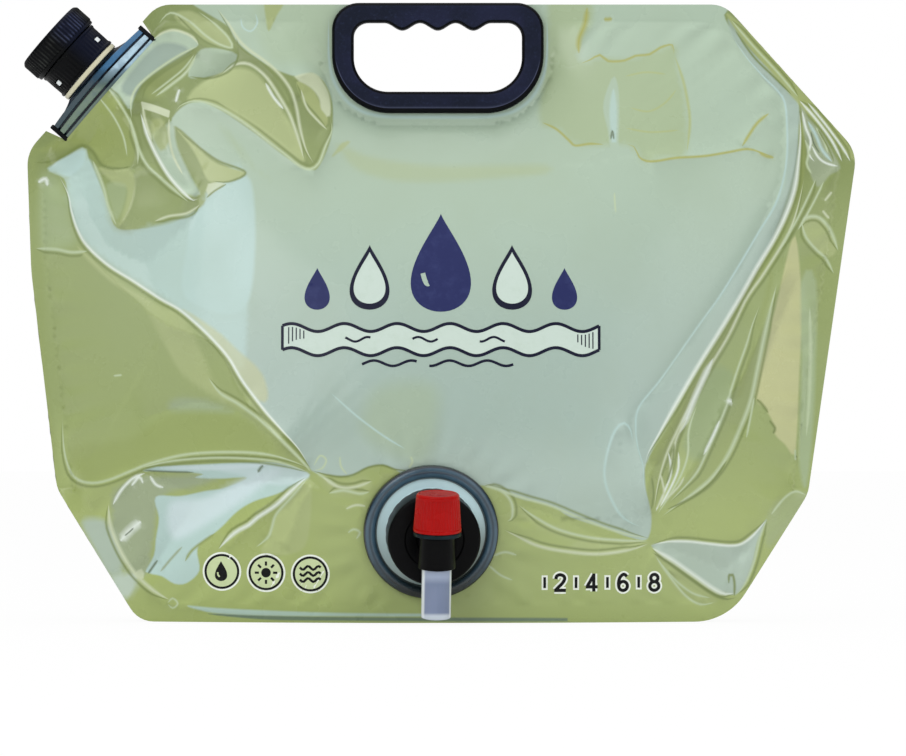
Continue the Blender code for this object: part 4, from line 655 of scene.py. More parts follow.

# Lines on the front film: tone, width, side of the dark line beside it (1 is left of the
# line's direction, 0 is none), points (in mm)
# The white, light and cream lines are painted highlights along the folds. The dark lines beside them, and
# the dark and shadow lines, are painted shade.
STROKES = [
    # A pale line painted on the film round the grip's outline, as painted light beside the grip.
    ("mist", 1.5, 0, [(-54.5, 293), (-54.5, 272), (-51.5, 259), (-43.5, 248.5), (-30, 243.4), (-2, 242.8),
                      (26, 243.4), (39.5, 248.5), (47.5, 259), (50.5, 272), (50.5, 293)]),
    # The plate's borders
    ("white", 1.6, 1, [
        (172, 248), (172.5, 235), (171.5, 222), (169.5, 208), (165, 195), (159, 183), (151, 170),
        (143, 156), (134, 141), (122, 122), (112, 105), (104, 91), (98, 80), (97, 72)]),
    ("mist", 0.9, 0, [
        (137, 290), (141, 280), (147, 271), (155, 262), (162, 255), (165, 250), (166, 240),
        (166, 225), (164, 212), (160, 200), (152, 187), (143, 172), (133, 156), (122, 141),
        (105, 117), (94, 103), (92.5, 93), (93.5, 84), (96, 75), (96.5, 65), (100, 54)]),
    ("white", 1.1, -1, [
        (-186, 217), (-180, 206), (-178, 197), (-175, 188), (-170, 180), (-160, 171), (-148, 163.5),
        (-135, 155), (-126, 150), (-118, 143.5), (-110, 136), (-102, 127), (-96, 117), (-91, 110),
        (-84, 101), (-76, 92), (-68, 83), (-62, 73)]),
    ("straw", 2.0, 0, [(-176, 181), (-168, 173), (-158, 164), (-147, 157), (-137, 152)]),
    ("light", 1.2, -1, [(-196, 179.5), (-186, 179), (-178, 177.5), (-170, 178)]),
    ("white", 1.6, 0, [(-195, 211), (-191, 213), (-190, 209)]),
    ("dark", 1.4, 0, [
        (-198, 221), (-190, 221), (-182, 224), (-173, 229), (-168, 226), (-163, 219), (-155, 217.5),
        (-148, 219)]),
    ("light", 1.0, -1, [
        (100, 40), (90, 42), (78, 45.5), (64, 51), (52, 56), (40, 59.5), (28, 63.5), (19, 67)]),
    ("dark", 1.0, 0, [
        (-62, 73), (-55, 71), (-48, 70), (-42, 71), (-35, 74.5), (-28, 75.5), (-22, 73.5), (-14, 73)]),
    # Round the filler
    ("white", 1.3, -1, [
        (-145, 245), (-142, 235), (-137, 224), (-131, 214), (-124, 206), (-119, 202), (-116, 203)]),
    ("light", 1.1, -1, [(-150, 243), (-147, 231), (-142, 220), (-135, 213), (-127, 206), (-121, 201)]),
    ("cream", 1.0, 0, [(-131, 242), (-131, 234), (-129, 224), (-124, 214)]),
    ("cream", 1.1, 0, [(-143.8, 247.5), (-142.4, 240), (-139.2, 231)]),
    ("light", 1.0, -1, [
        (-149, 241), (-149.5, 249), (-147, 256), (-141, 262), (-133, 268), (-125, 273), (-117, 277)]),
    ("cream", 1.0, 1, [(-139, 280), (-135, 283), (-130, 284.5), (-125, 283.5), (-120, 281), (-117, 277)]),
    ("light", 1.2, 0, [(-138, 252), (-130, 258), (-123, 264), (-118, 273)]),
    ("light", 0.8, 0, [(-140, 253), (-131, 260), (-124, 266), (-119, 273)]),
    ("dark", 1.1, 0, [(-144, 250), (-142, 257), (-134, 264), (-126, 269), (-119, 274)]),
    ("light", 1.0, 0, [
        (-137, 287), (-131, 293), (-122, 289), (-114, 282), (-107, 277.5), (-101, 276), (-103, 281),
        (-110, 288), (-118, 294)]),
    ("dark", 0.9, 0, [(-128, 292), (-121, 285), (-114, 279), (-107, 276)]),
    ("cream", 1.2, -1, [
        (-109, 296), (-103, 288), (-98, 280), (-93, 275), (-86, 270), (-79, 264), (-73, 256),
        (-70, 247), (-68, 236), (-65, 226), (-61, 219)]),
    ("cream", 1.2, 1, [
        (-107, 262), (-101, 267), (-95, 268.5), (-90, 266.5), (-84, 261), (-78, 252), (-73, 243),
        (-69, 232), (-66, 221)]),
    ("white", 1.1, 0, [(-85, 259), (-81, 252), (-76, 246)]),
    ("dark", 0.9, 0, [(-122, 262), (-112, 261), (-103, 264), (-99, 269), (-98, 275), (-99, 281)]),
    ("white", 1.1, 0, [(-128, 249), (-127, 253), (-126, 256)]),
    ("light", 1.1, 1, [
        (-129, 243), (-126, 247.5), (-119, 250), (-111, 248.5), (-102, 244), (-93, 238), (-84, 231),
        (-75, 224), (-68, 218.5), (-63, 217), (-59, 220), (-56, 228), (-53, 236), (-54, 242)]),
    ("straw", 1.2, 0, [(-108, 250), (-96, 243), (-84, 235), (-74, 227), (-68, 222)]),
    ("dark", 0.9, 0, [(-70, 259), (-66, 250), (-61, 244), (-56, 238)]),
    ("cream", 0.9, 0, [(-68, 256), (-65, 247), (-60, 241), (-55, 236)]),
    ("dark", 1.0, 0, [(-126, 235), (-117, 228), (-107, 221), (-94, 215.5), (-102, 211), (-111, 211.5)]),
    ("dark", 0.8, 0, [(-103, 210), (-109, 206.5), (-113, 203)]),
    ("cream", 1.0, -1, [(-138, 192), (-131, 194.5), (-122, 196), (-116, 200)]),
    ("light", 1.2, 0, [(-168, 222), (-163, 210), (-160, 199), (-156, 190)]),
    ("light", 1.0, 1, [(-162, 258), (-155, 249), (-149, 238), (-146, 227), (-146, 219)]),
    ("light", 0.8, 0, [(-165, 252), (-158, 243), (-153, 233), (-151, 223)]),
    ("mist", 0.7, 0, [(-97, 291), (-96, 286), (-92, 284), (-89, 288), (-90, 293)]),
    # Left and lower left
    ("light", 1.1, 1, [
        (-62, 73.5), (-70, 77), (-80, 80), (-92, 81.5), (-110, 81.5), (-125, 80), (-140, 76),
        (-150, 72), (-160, 68), (-168, 66.5), (-175, 68), (-179, 72), (-182, 82), (-183, 98)]),
    ("light", 0.9, 1, [(-63, 72), (-80, 77.5), (-105, 79), (-128, 77.5), (-144, 74)]),
    ("light", 1.3, -1, [(-62, 73), (-72, 83), (-84, 95), (-96, 104), (-106, 110), (-112, 118)]),
    ("light", 0.8, 0, [(-62, 72), (-70, 81), (-80, 91), (-88, 98)]),
    ("light", 0.8, 0, [(-158, 118), (-153, 118.5)]),
    ("cream", 1.6, -1, [
        (-160, 57), (-159.5, 48), (-157, 40), (-152, 30), (-146, 22), (-138, 15), (-130, 10.5)]),
    ("light", 0.8, 0, [(-131.5, 9), (-129, 11.5), (-126.5, 9), (-129, 6.8), (-131.5, 9)]),
    ("white", 1.2, 0, [(-158, 56), (-154, 63), (-148, 69), (-142, 71.5)]),
    ("white", 1.1, 0, [(-149, 65), (-145, 69.5), (-143, 66)]),
    ("white", 1.1, 0, [(-140, 70.5), (-137, 66), (-133, 64.5)]),
    ("white", 3.2, 0, [(-154.5, 38.5), (-149.5, 44), (-144, 48.5)]),
    ("shadow", 0.6, 0, [(-152.5, 41), (-149.5, 43.5), (-147.5, 45.5)]),
    ("shadow", 1.0, 0, [(-141, 23), (-138.5, 26.5), (-136, 30)]),
    ("fog", 1.0, 0, [(-135, 24), (-130, 30), (-124, 36.5)]),
    ("moss", 1.2, 0, [(-123, 29), (-119, 35), (-108, 43)]),
    ("shadow", 0.8, 0, [(-143, 72.8), (-130, 72.2), (-118, 72)]),
    ("shadow", 1.2, 0, [(-88, 71.5), (-86.5, 74), (-85, 75.5)]),
    ("white", 1.6, -1, [(-64, 70), (-72, 63), (-79, 56.5), (-88, 50.5), (-92, 47), (-99, 43), (-107, 35)]),
    ("light", 1.2, 0, [(-64, 69), (-72, 60), (-79, 52), (-81, 46), (-83, 41), (-89, 36)]),
    ("light", 1.0, 0, [(-60, 72), (-55, 69), (-49, 65)]),
    ("light", 0.8, 0, [(-61, 75), (-58, 80), (-55, 78), (-57, 74), (-61, 73)]),
    ("mist", 0.8, 0, [(-53, 110), (-40, 98.5), (-27, 89), (-17, 83)]),
    # Round the tap
    ("cream", 1.2, 1, [(-57, 70), (-50, 65.5), (-42, 65), (-33, 68)]),
    ("light", 1.2, 1, [(-54, 62), (-47, 63.5), (-39, 62), (-34, 63)]),
    ("cream", 1.0, 0, [(-46, 54.5), (-41, 56.5), (-36, 56)]),
    ("light", 1.0, 0, [(-45, 43), (-42, 45), (-39, 43.5), (-41, 40)]),
    ("light", 0.8, 0, [(-48.5, 80), (-48, 75), (-45, 71)]),
    ("light", 0.8, 0, [(-15, 80), (-14, 77), (-16, 74)]),
    ("light", 1.2, 1, [(20, 65.5), (28, 63.5), (33, 58), (33.5, 51), (31, 48.5)]),
    ("cream", 1.3, 1, [(29, 45), (36, 41.5), (46, 37), (58, 34.5), (74, 33), (90, 35), (99, 38)]),
    ("light", 1.1, 1, [(99, 39), (86, 39.5), (70, 41), (55, 45), (44, 51), (36, 57)]),
    ("light", 1.0, 0, [(24, 32), (30, 34), (36, 32.5)]),
    ("light", 0.9, 0, [(22, 28), (28, 23), (34, 20.5)]),
    # Loop left of the knot
    ("mist", 1.1, 0, [
        (91, 86), (90, 92), (87, 95.5), (82.5, 92), (78.5, 80), (77.5, 70), (80, 61), (85, 52),
        (91, 47.5), (96, 46)]),
    # The fan on the right, from its knot
    ("cream", 1.1, 1, [
        (174.5, 214), (168, 190), (155, 168), (146, 155), (137, 137), (128, 122), (119, 105),
        (112, 91), (107, 80), (103, 66), (101, 52)]),
    ("white", 2.2, 0, [(130, 127), (126, 119), (121, 108), (117, 98), (113, 90)]),
    ("cream", 1.0, 1, [(117, 98), (112, 88), (110, 78), (108, 68)]),
    ("light", 0.9, 0, [(122, 104), (118, 92), (117.5, 80), (113, 68), (103, 52)]),
    ("light", 1.0, 1, [
        (153, 153), (149, 143), (146, 133), (142, 122), (139, 113), (137, 106), (134, 98), (131, 91),
        (126, 80), (122, 72), (116, 65), (108, 57)]),
    ("white", 1.8, 0, [(136, 106.5), (137.5, 106), (139, 105.5)]),
    ("white", 1.1, 0, [(133, 97), (130, 90), (125, 80)]),
    ("light", 1.6, 1, [
        (161, 163), (156, 143), (151.5, 122), (148, 106), (143, 93), (137, 80), (130, 70), (122, 63),
        (112, 56), (104, 50)]),
    ("light", 0.9, 0, [(150, 108), (148, 98), (146, 88)]),
    ("dark", 1.2, 0, [(151, 107), (154, 104), (157, 100)]),
    ("dark", 1.2, 0, [(157, 97), (160, 93), (159, 90)]),
    ("light", 0.9, 0, [(170, 83), (170.2, 77)]),
    ("light", 1.4, 0, [(177, 152), (177.5, 130), (177, 108), (175.5, 88)]),
    ("white", 0.9, 0, [(108, 82), (109.5, 72), (106, 62), (102, 53)]),
    ("white", 0.9, 0, [(113, 82), (113, 74), (110, 66), (104, 55)]),
    ("cream", 0.9, 0, [(104, 72), (106, 62), (102, 54)]),
    ("cream", 0.9, 0, [(116, 70), (113, 65), (106, 58)]),
    ("dark", 0.9, 0, [(111, 86), (110, 76), (107, 66)]),
    ("dark", 0.9, 0, [(100, 70), (101, 62), (100, 54)]),
    ("dark", 1.0, 0, [(107, 54), (118, 59), (129, 67), (137, 78)]),
    # The facet on the lower right
    ("white", 1.1, 1, [(100, 37), (108, 38.8), (118, 38.8), (128, 37.6), (138, 36.6), (144, 37.5),
                       (150, 42), (156, 49)]),
    ("white", 1.7, -1, [(100, 36), (110, 30), (120, 23), (130, 16), (136, 13.3), (141, 14)]),
    ("dark", 1.2, 0, [(100, 34), (110, 27.5), (120, 20), (130, 13.3), (137, 10.8), (142, 12)]),
    ("light", 1.0, 0, [(102, 32), (109, 22), (117, 12.5), (124, 8.5), (131, 9.5)]),
    ("light", 0.9, 0, [(103, 30), (111, 21), (120, 14), (129, 11.5)]),
    ("dark", 1.1, 0, [(140.2, 12), (140.4, 18), (139.5, 22.5), (137.8, 22.5), (137.6, 18)]),
    ("light", 0.9, 1, [(156, 49), (153, 41), (150, 29), (146, 19), (141.5, 13)]),
    ("light", 1.0, 0, [(158, 51), (164, 58.5), (170, 62.3), (175.5, 60.5)]),
    # Top right
    ("white", 1.0, 1, [(172, 251), (180, 242), (188, 231), (193, 221)]),
    ("white", 0.9, 1, [(176, 250), (185, 239), (193, 228), (197, 221)]),
    ("light", 0.9, 1, [(139, 290), (150, 277), (162, 264), (172, 252)]),
    ("dark", 0.9, 0, [(141, 285), (150, 272), (160, 262), (169, 253)]),
    ("white", 1.0, 0, [(173.5, 246), (175, 238), (177.5, 231), (176.5, 225), (179.5, 221)]),
    ("mist", 1.3, 0, [(176, 241), (180, 234), (183, 227), (188, 221)]),
    ("white", 0.9, 0, [(178, 229), (181, 223.5), (185, 220.5), (191, 219)]),
    ("light", 1.0, 0, [(174.5, 232), (176.5, 226), (175.5, 220), (178, 215)]),
    ("light", 0.8, 0, [(180, 238), (184, 231), (186, 225)]),
    ("shadow", 0.6, 0, [(177.5, 236), (179, 230), (182, 225)]),
    ("dark", 0.7, 0, [(181, 237), (186, 228), (189, 221)]),
    ("cream", 1.0, 0, [(183, 198), (185, 195.5), (187, 193.5)]),
    ("cream", 1.0, 0, [(184, 202), (186, 204.5), (188, 207)]),
    ("light", 1.4, -1, [(172, 189), (175, 194), (181, 194.5), (186, 190), (189, 184), (191, 178)]),
    ("light", 1.1, -1, [(173, 192), (175, 185), (180, 179), (185, 174.5), (189, 167)]),
    ("light", 0.9, 1, [(180, 213), (176, 204), (170, 192), (162, 178)]),
    ("light", 0.9, 0, [(184, 212), (178, 200), (171, 188)]),
    # The edges of the patch on the top right
    ("mustard", 1.0, 0, [
        (48, 240), (55, 236.5), (61, 231), (64, 228.5), (71, 229.3), (78, 229)]),
    ("mustard", 1.0, 0, [(87, 229.5), (92, 228), (94.5, 223), (98, 221), (103, 221), (112, 222.5),
                         (126, 223.5), (138, 225.5), (147, 227), (154, 225), (160, 223)]),
    ("mustard", 1.3, 0, [(144, 228), (148, 234.5), (152, 240), (157.5, 244.5)]),
    ("mustard", 1.3, 0, [(152, 225.5), (156, 223.5), (160, 223)]),
    ("mustard", 1.0, 0, [
        (66, 268), (71, 270), (76, 272.5), (80, 269.5), (88, 269.8), (93, 272), (100, 272.8),
        (105, 276), (111, 277.3), (111.5, 272)]),
    ("straw", 1.2, 0, [(112, 272), (116, 260), (118.5, 247), (119, 238), (117.5, 225)]),
    ("mustard", 2.0, 0, [(70, 296), (69, 288), (66, 280), (66, 273)]),
    ("mustard", 1.6, 0, [(77.5, 290), (80, 289.8), (82.5, 290.3)]),
    ("straw", 0.8, 0, [(88, 262), (98, 264), (108, 263)]),
    ("straw", 0.8, 0, [(90, 247), (99, 245), (107, 249), (113, 256)]),
    ("straw", 0.8, 0, [(88, 237), (100, 235), (114, 236)]),
    ("shadow", 0.8, 0, [(81, 231), (81.8, 235.5), (82.6, 231)]),
    ("light", 0.7, 0, [(82.6, 206), (82.9, 199), (83.4, 196)]),
]


def scaled(points):
    return [(x * MM, z * MM) for x, z in points]


FOLD_PITCH = 4.0 * MM
HOLLOW_PITCH = 5.0 * MM
FOLD_TAPER = 0.12
PUCKER_START = 4.0 * MM
SEAL_PUCKER = 0.45 * MM
SEAL_PUCKER_REACH = 9.0 * MM
FLANGE_PUCKER = 0.55 * MM
FLANGE_PUCKER_REACH = 10.0 * MM
SEAL_EDGE = 1.0 * MM
SEAL_FADE = 14.0 * MM
PATCH_FADE = 12.0 * MM
CANOE_FADE = 9.0 * MM
FLANGE_FADE = 12.0 * MM
PRINT_SLOPE_STEP = 0.4 * MM


def fold_relief(x, z):
    """How far the folds lift the front film, before the seals hold it flat."""
    relief = np.zeros(np.shape(x))
    for points, height, left, right in FOLDS:
        distance, side, along = line_distance(x, z, spline_through(scaled(points), FOLD_PITCH))
        reach = np.where(side > 0, left, right) * MM
        taper = smooth_step(along / FOLD_TAPER) * smooth_step((1.0 - along) / FOLD_TAPER)
        relief += height * MM * taper * np.exp(-distance / reach)
    for points, height, fade in HOLLOWS:
        depth = loop_distance(x, z, spline_through(scaled(points), HOLLOW_PITCH, closed=True))
        relief += height * MM * smooth_step(depth / (fade * MM) * 0.5 + 0.3)
    return relief


def gathers(turn, waves):
    """Waves round a seal, from (height, count, phase, wobble, wobble's count) of each."""
    return sum(height * np.sin(turn * count + phase + wobble * np.sin(turn * slower))
               for height, count, phase, wobble, slower in waves)


def pucker_relief(x, z, with_tap):
    """Small gathers along the seals and round the tap's flange."""
    beyond = loop_distance(x, z, FILM_LOOP) - SEAL
    waves = gathers(np.arctan2(z - HEIGHT / 2, x), (
        (1.0, 61.0, 0.0, 2.2, 7.0), (0.7, 97.0, 1.3, 0.0, 0.0), (0.5, 23.0, 0.4, 0.0, 0.0)))
    edge = np.exp(-np.maximum(beyond, 0.0) / SEAL_PUCKER_REACH) * smooth_step(beyond / PUCKER_START)
    relief = SEAL_PUCKER * waves * edge
    if with_tap:
        _, distance = flange_plane(x, z)
        waves = gathers(np.arctan2(z - TAP_Z, x - TAP_X), (
            (1.0, 17.0, 0.0, 1.5, 3.0), (0.8, 29.0, 0.6, 0.0, 0.0), (0.6, 11.0, 2.0, 0.0, 0.0)))
        beyond = np.maximum(distance - FLANGE_RADIUS - FLAT_MARGIN, 0.0)
        relief = relief + (FLANGE_PUCKER * waves * np.exp(-beyond / FLANGE_PUCKER_REACH)
                           * smooth_step(beyond / PUCKER_START))
    return relief


def held_flat(x, z, with_tap):
    """0 where the film is sealed or clamped, 1 where it is free to fold."""
    free = smooth_step((loop_distance(x, z, FILM_LOOP) - SEAL_EDGE) / SEAL_FADE)
    free = free * smooth_step(-loop_distance(x, z, SEALED_PATCH) / PATCH_FADE)
    along, out = filler_coordinates(x, z)
    off_canoe = np.maximum(np.abs(along) - CANOE_HALF_LENGTH, -CANOE_DEPTH - out)
    free = free * smooth_step(off_canoe / CANOE_FADE)
    if with_tap:
        _, distance = flange_plane(x, z)
        free = free * smooth_step((distance - FLANGE_RADIUS - FLAT_MARGIN) / FLANGE_FADE)
    return free


class FilmSurface:
    """The folded film panel. side is -1 for the front and +1 for the back."""

    def __init__(self, side, with_tap, fold_share):
        self.side = side
        self.with_tap = with_tap
        self.fold_share = fold_share
        self.field = FilmField(with_tap)

    def relief(self, x, z):
        """How far folds and puckers lift the free film."""
        seen_x = x if self.side < 0 else -x
        folds = self.fold_share * fold_relief(seen_x, z) + pucker_relief(x, z, self.with_tap)
        return folds * held_flat(x, z, self.with_tap)

    def depth(self, x, z, relief=None):
        x, z = np.asarray(x, float), np.asarray(z, float)
        lifted = self.field.depth(x, z) + (self.relief(x, z) if relief is None else relief)
        return np.maximum(lifted, (FILM + GAP) / 2)

    def places(self, flat, proud=0.0):
        """Points (x, y, z) of flat points, standing proud of the film's middle."""
        x, z = flat[:, 0], flat[:, 1]
        depth = self.depth(x, z)
        if proud:
            slope_x = (self.depth(x + PRINT_SLOPE_STEP, z) - depth) / PRINT_SLOPE_STEP
            slope_z = (self.depth(x, z + PRINT_SLOPE_STEP) - depth) / PRINT_SLOPE_STEP
            size = np.sqrt(1.0 + slope_x ** 2 + slope_z ** 2)
            x = x - slope_x / size * proud
            z = z - slope_z / size * proud
            depth = depth + proud / size
        return np.column_stack([x, self.side * depth, z])


ROW_SHARE = 0.866
CROWDED_SHARE = 0.5
MERGED_MM = 0.004


def lattice(low, high, pitch, inside):
    """Points of a triangular grid that the test function keeps."""
    rows = int((high[1] - low[1]) / (pitch * ROW_SHARE)) + 1
    made = []
    for j in range(rows):
        z = low[1] + j * pitch * ROW_SHARE
        x = np.arange(low[0] + (j % 2) * pitch / 2, high[0], pitch)
        made.append(np.column_stack([x, np.full(len(x), z)]))
    made = np.vstack(made)
    return made[inside(made[:, 0], made[:, 1])]


def flat_mesh(loops, lines, low, high, pitch, kept):
    """Triangles in the XZ plane that follow the loops and lines. kept says, from the middle of
    each triangle, whether it stays. Returns (flat points, faces)."""
    points = []
    edges = []
    for line, closed in [(loop, True) for loop in loops] + [(line, False) for line in lines]:
        start = len(points)
        points += line
        count = len(line) if closed else len(line) - 1
        edges += [(start + i, start + (i + 1) % len(line)) for i in range(count)]
    tree = KDTree(len(points))
    for i, (x, z) in enumerate(points):
        tree.insert((x, z, 0.0), i)
    tree.balance()
    grid = lattice(low, high, pitch, kept)
    free = [p for p in grid if tree.find((p[0], p[1], 0.0))[2] > pitch * CROWDED_SHARE]
    points = [Vector(p) / MM for p in points] + [Vector((p[0], p[1])) / MM for p in free]
    flat, _, faces, *_ = delaunay_2d_cdt(points, edges, [], 0, MERGED_MM)
    flat = np.array([tuple(p) for p in flat]) * MM
    faces = np.array([list(face) for face in faces])
    middles = flat[faces].mean(1)
    faces = faces[kept(middles[:, 0], middles[:, 1])]
    used = np.unique(faces)
    renumber = np.full(len(flat), -1)
    renumber[used] = np.arange(len(used))
    return flat[used], renumber[faces]


def mesh_from(name, points, faces, smooth=True):
    mesh = bpy.data.meshes.new(name)
    mesh.from_pydata([tuple(map(float, p)) for p in points], [],
                     [tuple(int(i) for i in face) for face in faces])
    mesh.update()
    if smooth:
        mesh.shade_smooth()
    obj = bpy.data.objects.new(name, mesh)
    bpy.context.scene.collection.objects.link(obj)
    return obj


def baked(obj):
    """The object with its modifiers applied."""
    graph = bpy.context.evaluated_depsgraph_get()
    mesh = bpy.data.meshes.new_from_object(obj.evaluated_get(graph), preserve_all_data_layers=True,
                                           depsgraph=graph)
    obj.modifiers.clear()
    obj.data = mesh
    mesh.name = obj.name
    return obj


def vertex_paint(obj, colours):
    """Writes one colour per point as a corner colour."""
    attribute = obj.data.color_attributes.new("film_paint", "FLOAT_COLOR", "CORNER")
    corners = np.zeros(len(obj.data.loops), int)
    obj.data.loops.foreach_get("vertex_index", corners)
    shown = np.ones((len(corners), 4), np.float32)
    shown[:, :3] = colours[corners]
    attribute.data.foreach_set("color", shown.ravel())


def thickened(obj):
    """The sheet as a wall of the skin's thickness, half on each side of it."""
    wall = obj.modifiers.new("wall", "SOLIDIFY")
    wall.thickness = SKIN
    wall.offset = 0.0
    wall.use_even_offset = False
    return baked(obj)


def shaded_by(obj, facing):
    """Shades both faces of a thickened sheet by the normals of its middle surface."""
    own = np.zeros(len(obj.data.vertices) * 3)
    obj.data.vertices.foreach_get("normal", own)
    own = own.reshape(-1, 3)
    facing = facing / np.linalg.norm(facing, axis=1)[:, None]
    half = len(facing)
    sides = [facing * np.sign((facing * own[part]).sum())
             for part in (slice(0, half), slice(half, 2 * half))]
    obj.data.normals_split_custom_set_from_vertices(
        [tuple(map(float, n)) for n in np.vstack(sides)])
    return obj


# Film skins

SKIN_PITCH = 2.2 * MM
EDGE_STEP = 2.4 * MM
PARTNER_WIDTH = 1.1 * MM
PARTNER_STRENGTH = 0.85
END_SHARE = 0.18
END_FADE = 0.07
SHORT_LINE = 45.0 * MM
SLOPE_STEP = 1.0 * MM
SLOPE_SHADE = 0.45
LIGHT_SIDE = (-0.55, 0.83)
MOST_SLOPE_SHADE = 0.16
CANOE_EDGE_STEPS = 34


def mixed(share, low, high):
    share = np.asarray(share)[..., None]
    return low * (1.0 - share) + high * share


def tone(*values):
    return np.array(srgb(*values)[:3])


def film_tones(x, z):
    """The film's tones: its green, and the tones that paint light and shade on it, pale painted
    reflections and highlights and dark painted shade. The green and the plate's pale one drift over the
    height.
    """
    green = mixed(smooth_step((0.11 - z) / 0.07), tone(156, 171, 112), tone(168, 183, 112))
    green = mixed(smooth_step((z - 0.18) / 0.06), green, tone(133, 148, 89))
    plate = mixed(smooth_step((z - 0.11) / 0.12), tone(170, 191, 181), tone(177, 198, 177))
    plate = mixed(smooth_step((0.10 - z) / 0.04), plate, tone(178, 198, 188))
    return {
        "green": green, "plate": plate,
        "mist": tone(186, 213, 208), "ice": tone(212, 230, 233), "slate": tone(162, 181, 172),
        "fog": tone(160, 174, 142), "dusk": tone(143, 162, 151), "haze": tone(178, 196, 182),
        "reed": tone(149, 167, 119), "teal": tone(104, 126, 112),
        "meadow": tone(170, 188, 148), "olive": tone(166, 178, 116),
        "moss": tone(149, 163, 96), "straw": tone(177, 189, 133), "beige": tone(196, 199, 147),
        "cream": tone(206, 216, 182), "light": tone(194, 210, 172), "white": tone(230, 240, 230),
        "dark": tone(122, 137, 76), "shadow": tone(100, 116, 92), "mustard": tone(172, 174, 92)}


def near(x, z, line, reach):
    low, high = np.min(line, 0) - reach, np.max(line, 0) + reach
    return np.flatnonzero((x > low[0]) & (x < high[0]) & (z > low[1]) & (z < high[1]))


def stroke_share(x, z, line, width):
    """How much of a soft line shows at each point: 1 on it, 0 a width away, pointed ends."""
    distance, _, along = line_distance(x, z, line)
    narrowing = np.minimum(1.0, np.minimum(along, 1.0 - along) / END_SHARE)
    share = np.clip(1.0 - distance / np.maximum(width * narrowing, WELD), 0.0, 1.0)
    return share * smooth_step(np.minimum(along, 1.0 - along) / END_FADE)


def film_colours(x, z, regions, strokes, slope_x, slope_z):
    """The colour of each film point: the green film, the regions (painted reflections and shade), painted
    light and shade from the relief's slopes, and the lines (painted highlights, with painted shade lines
    beside them)."""
    tones = film_tones(x, z)
    colours = tones["green"].copy()

    def lay(name, spots, share):
        laid = tones[name]
        laid = laid[spots] if laid.ndim > 1 else laid
        colours[spots] = mixed(share, colours[spots], laid)

    for name, fade, strength, loop in regions:
        spots = near(x, z, loop, fade)
        inside = loop_distance(x[spots], z[spots], loop)
        lay(name, spots, strength * smooth_step(0.5 + inside / fade))
    # Painted light and shade: where the relief's slope faces the upper left the colour is painted lighter,
    # elsewhere darker.
    facing = -(slope_x * LIGHT_SIDE[0] + slope_z * LIGHT_SIDE[1])
    shade = np.clip(SLOPE_SHADE * facing, -MOST_SLOPE_SHADE, MOST_SLOPE_SHADE)
    colours *= 1.0 + shade[:, None]
    # Painted shade lines beside the highlight lines.
    for _, _, partner, _ in strokes:
        if partner is not None:
            spots = near(x, z, partner, PARTNER_WIDTH)
            share = stroke_share(x[spots], z[spots], partner, PARTNER_WIDTH)
            lay("dark", spots, PARTNER_STRENGTH * share)
    for line, width, _, name in strokes:
        spots = near(x, z, line, width)
        lay(name, spots, stroke_share(x[spots], z[spots], line, width))
    return colours


def on_chamfer(x, z):
    along, out = filler_coordinates(x, z)
    return abs(out) < SEAL and abs(along) < CANOE_HALF_LENGTH + 1.0 * MM


def skin_outline():
    """The film's outline, set back along the filler's canoe, whose ribs show outside it."""
    loop = divided(rounded_loop(FILM_CORNERS, EDGE_STEP), EDGE_STEP)
    made = []
    for i, (x, z) in enumerate(loop):
        if on_chamfer(x, z):
            continue
        made.append((x, z))
        if filler_coordinates(x, z)[0] > 0 and on_chamfer(*loop[(i + 1) % len(loop)]):
            for k in range(CANOE_EDGE_STEPS + 1):
                step = CANOE_HALF_LENGTH * (1 - 2 * k / CANOE_EDGE_STEPS)
                spot = FILLER_POINT + FILLER_ALONG * step - FILLER_OUT * CANOE_SHOWN
                made.append((spot.x, spot.z))
    return made


OUTLINE = skin_outline()


def circle_loop(x, z, radius, count=56):
    return [(x + radius * math.cos(math.tau * k / count),
             z + radius * math.sin(math.tau * k / count)) for k in range(count)]


def beside(line, offset):
    """A line beside a line, drawn in to it at both ends."""
    made = []
    count = len(line)
    for i, (x, z) in enumerate(line):
        ax, az = line[max(i - 1, 0)]
        bx, bz = line[min(i + 1, count - 1)]
        length = math.hypot(bx - ax, bz - az) or 1.0
        share = min(i, count - 1 - i) / max(1.0, END_SHARE * count)
        push = offset * min(1.0, share)
        made.append((x - (bz - az) / length * push, z + (bx - ax) / length * push))
    return made


def shrunk(loop, distance):
    """The loop drawn in by the distance, or out where it is below zero."""
    made = []
    area = sum(loop[i - 1][0] * p[1] - p[0] * loop[i - 1][1] for i, p in enumerate(loop))
    side = 1.0 if area > 0 else -1.0
    for i, (x, z) in enumerate(loop):
        px, pz = loop[i - 1]
        nx, nz = loop[(i + 1) % len(loop)]
        along = Vector((x - px, z - pz)).normalized() + Vector((nx - x, nz - z)).normalized()
        along.normalize()
        made.append((x - side * along.y * distance, z + side * along.x * distance))
    return made


def drawn_regions(regions):
    return [(name, fade * MM, strength, spline_through(scaled(points), EDGE_STEP, closed=True))
            for name, fade, strength, points in regions]


def drawn_strokes(strokes):
    """Each line with its width, the dark line of painted shade beside it and its tone."""
    made = []
    for name, width, side, points in strokes:
        length = sum(math.dist(a, b) for a, b in zip(points, points[1:])) * MM
        line = spline_through(scaled(points), EDGE_STEP if length > SHORT_LINE else EDGE_STEP / 2)
        partner = beside(line, side * (width * MM * 0.6 + PARTNER_WIDTH)) if side else None
        made.append((line, width * MM, partner, name))
    return made


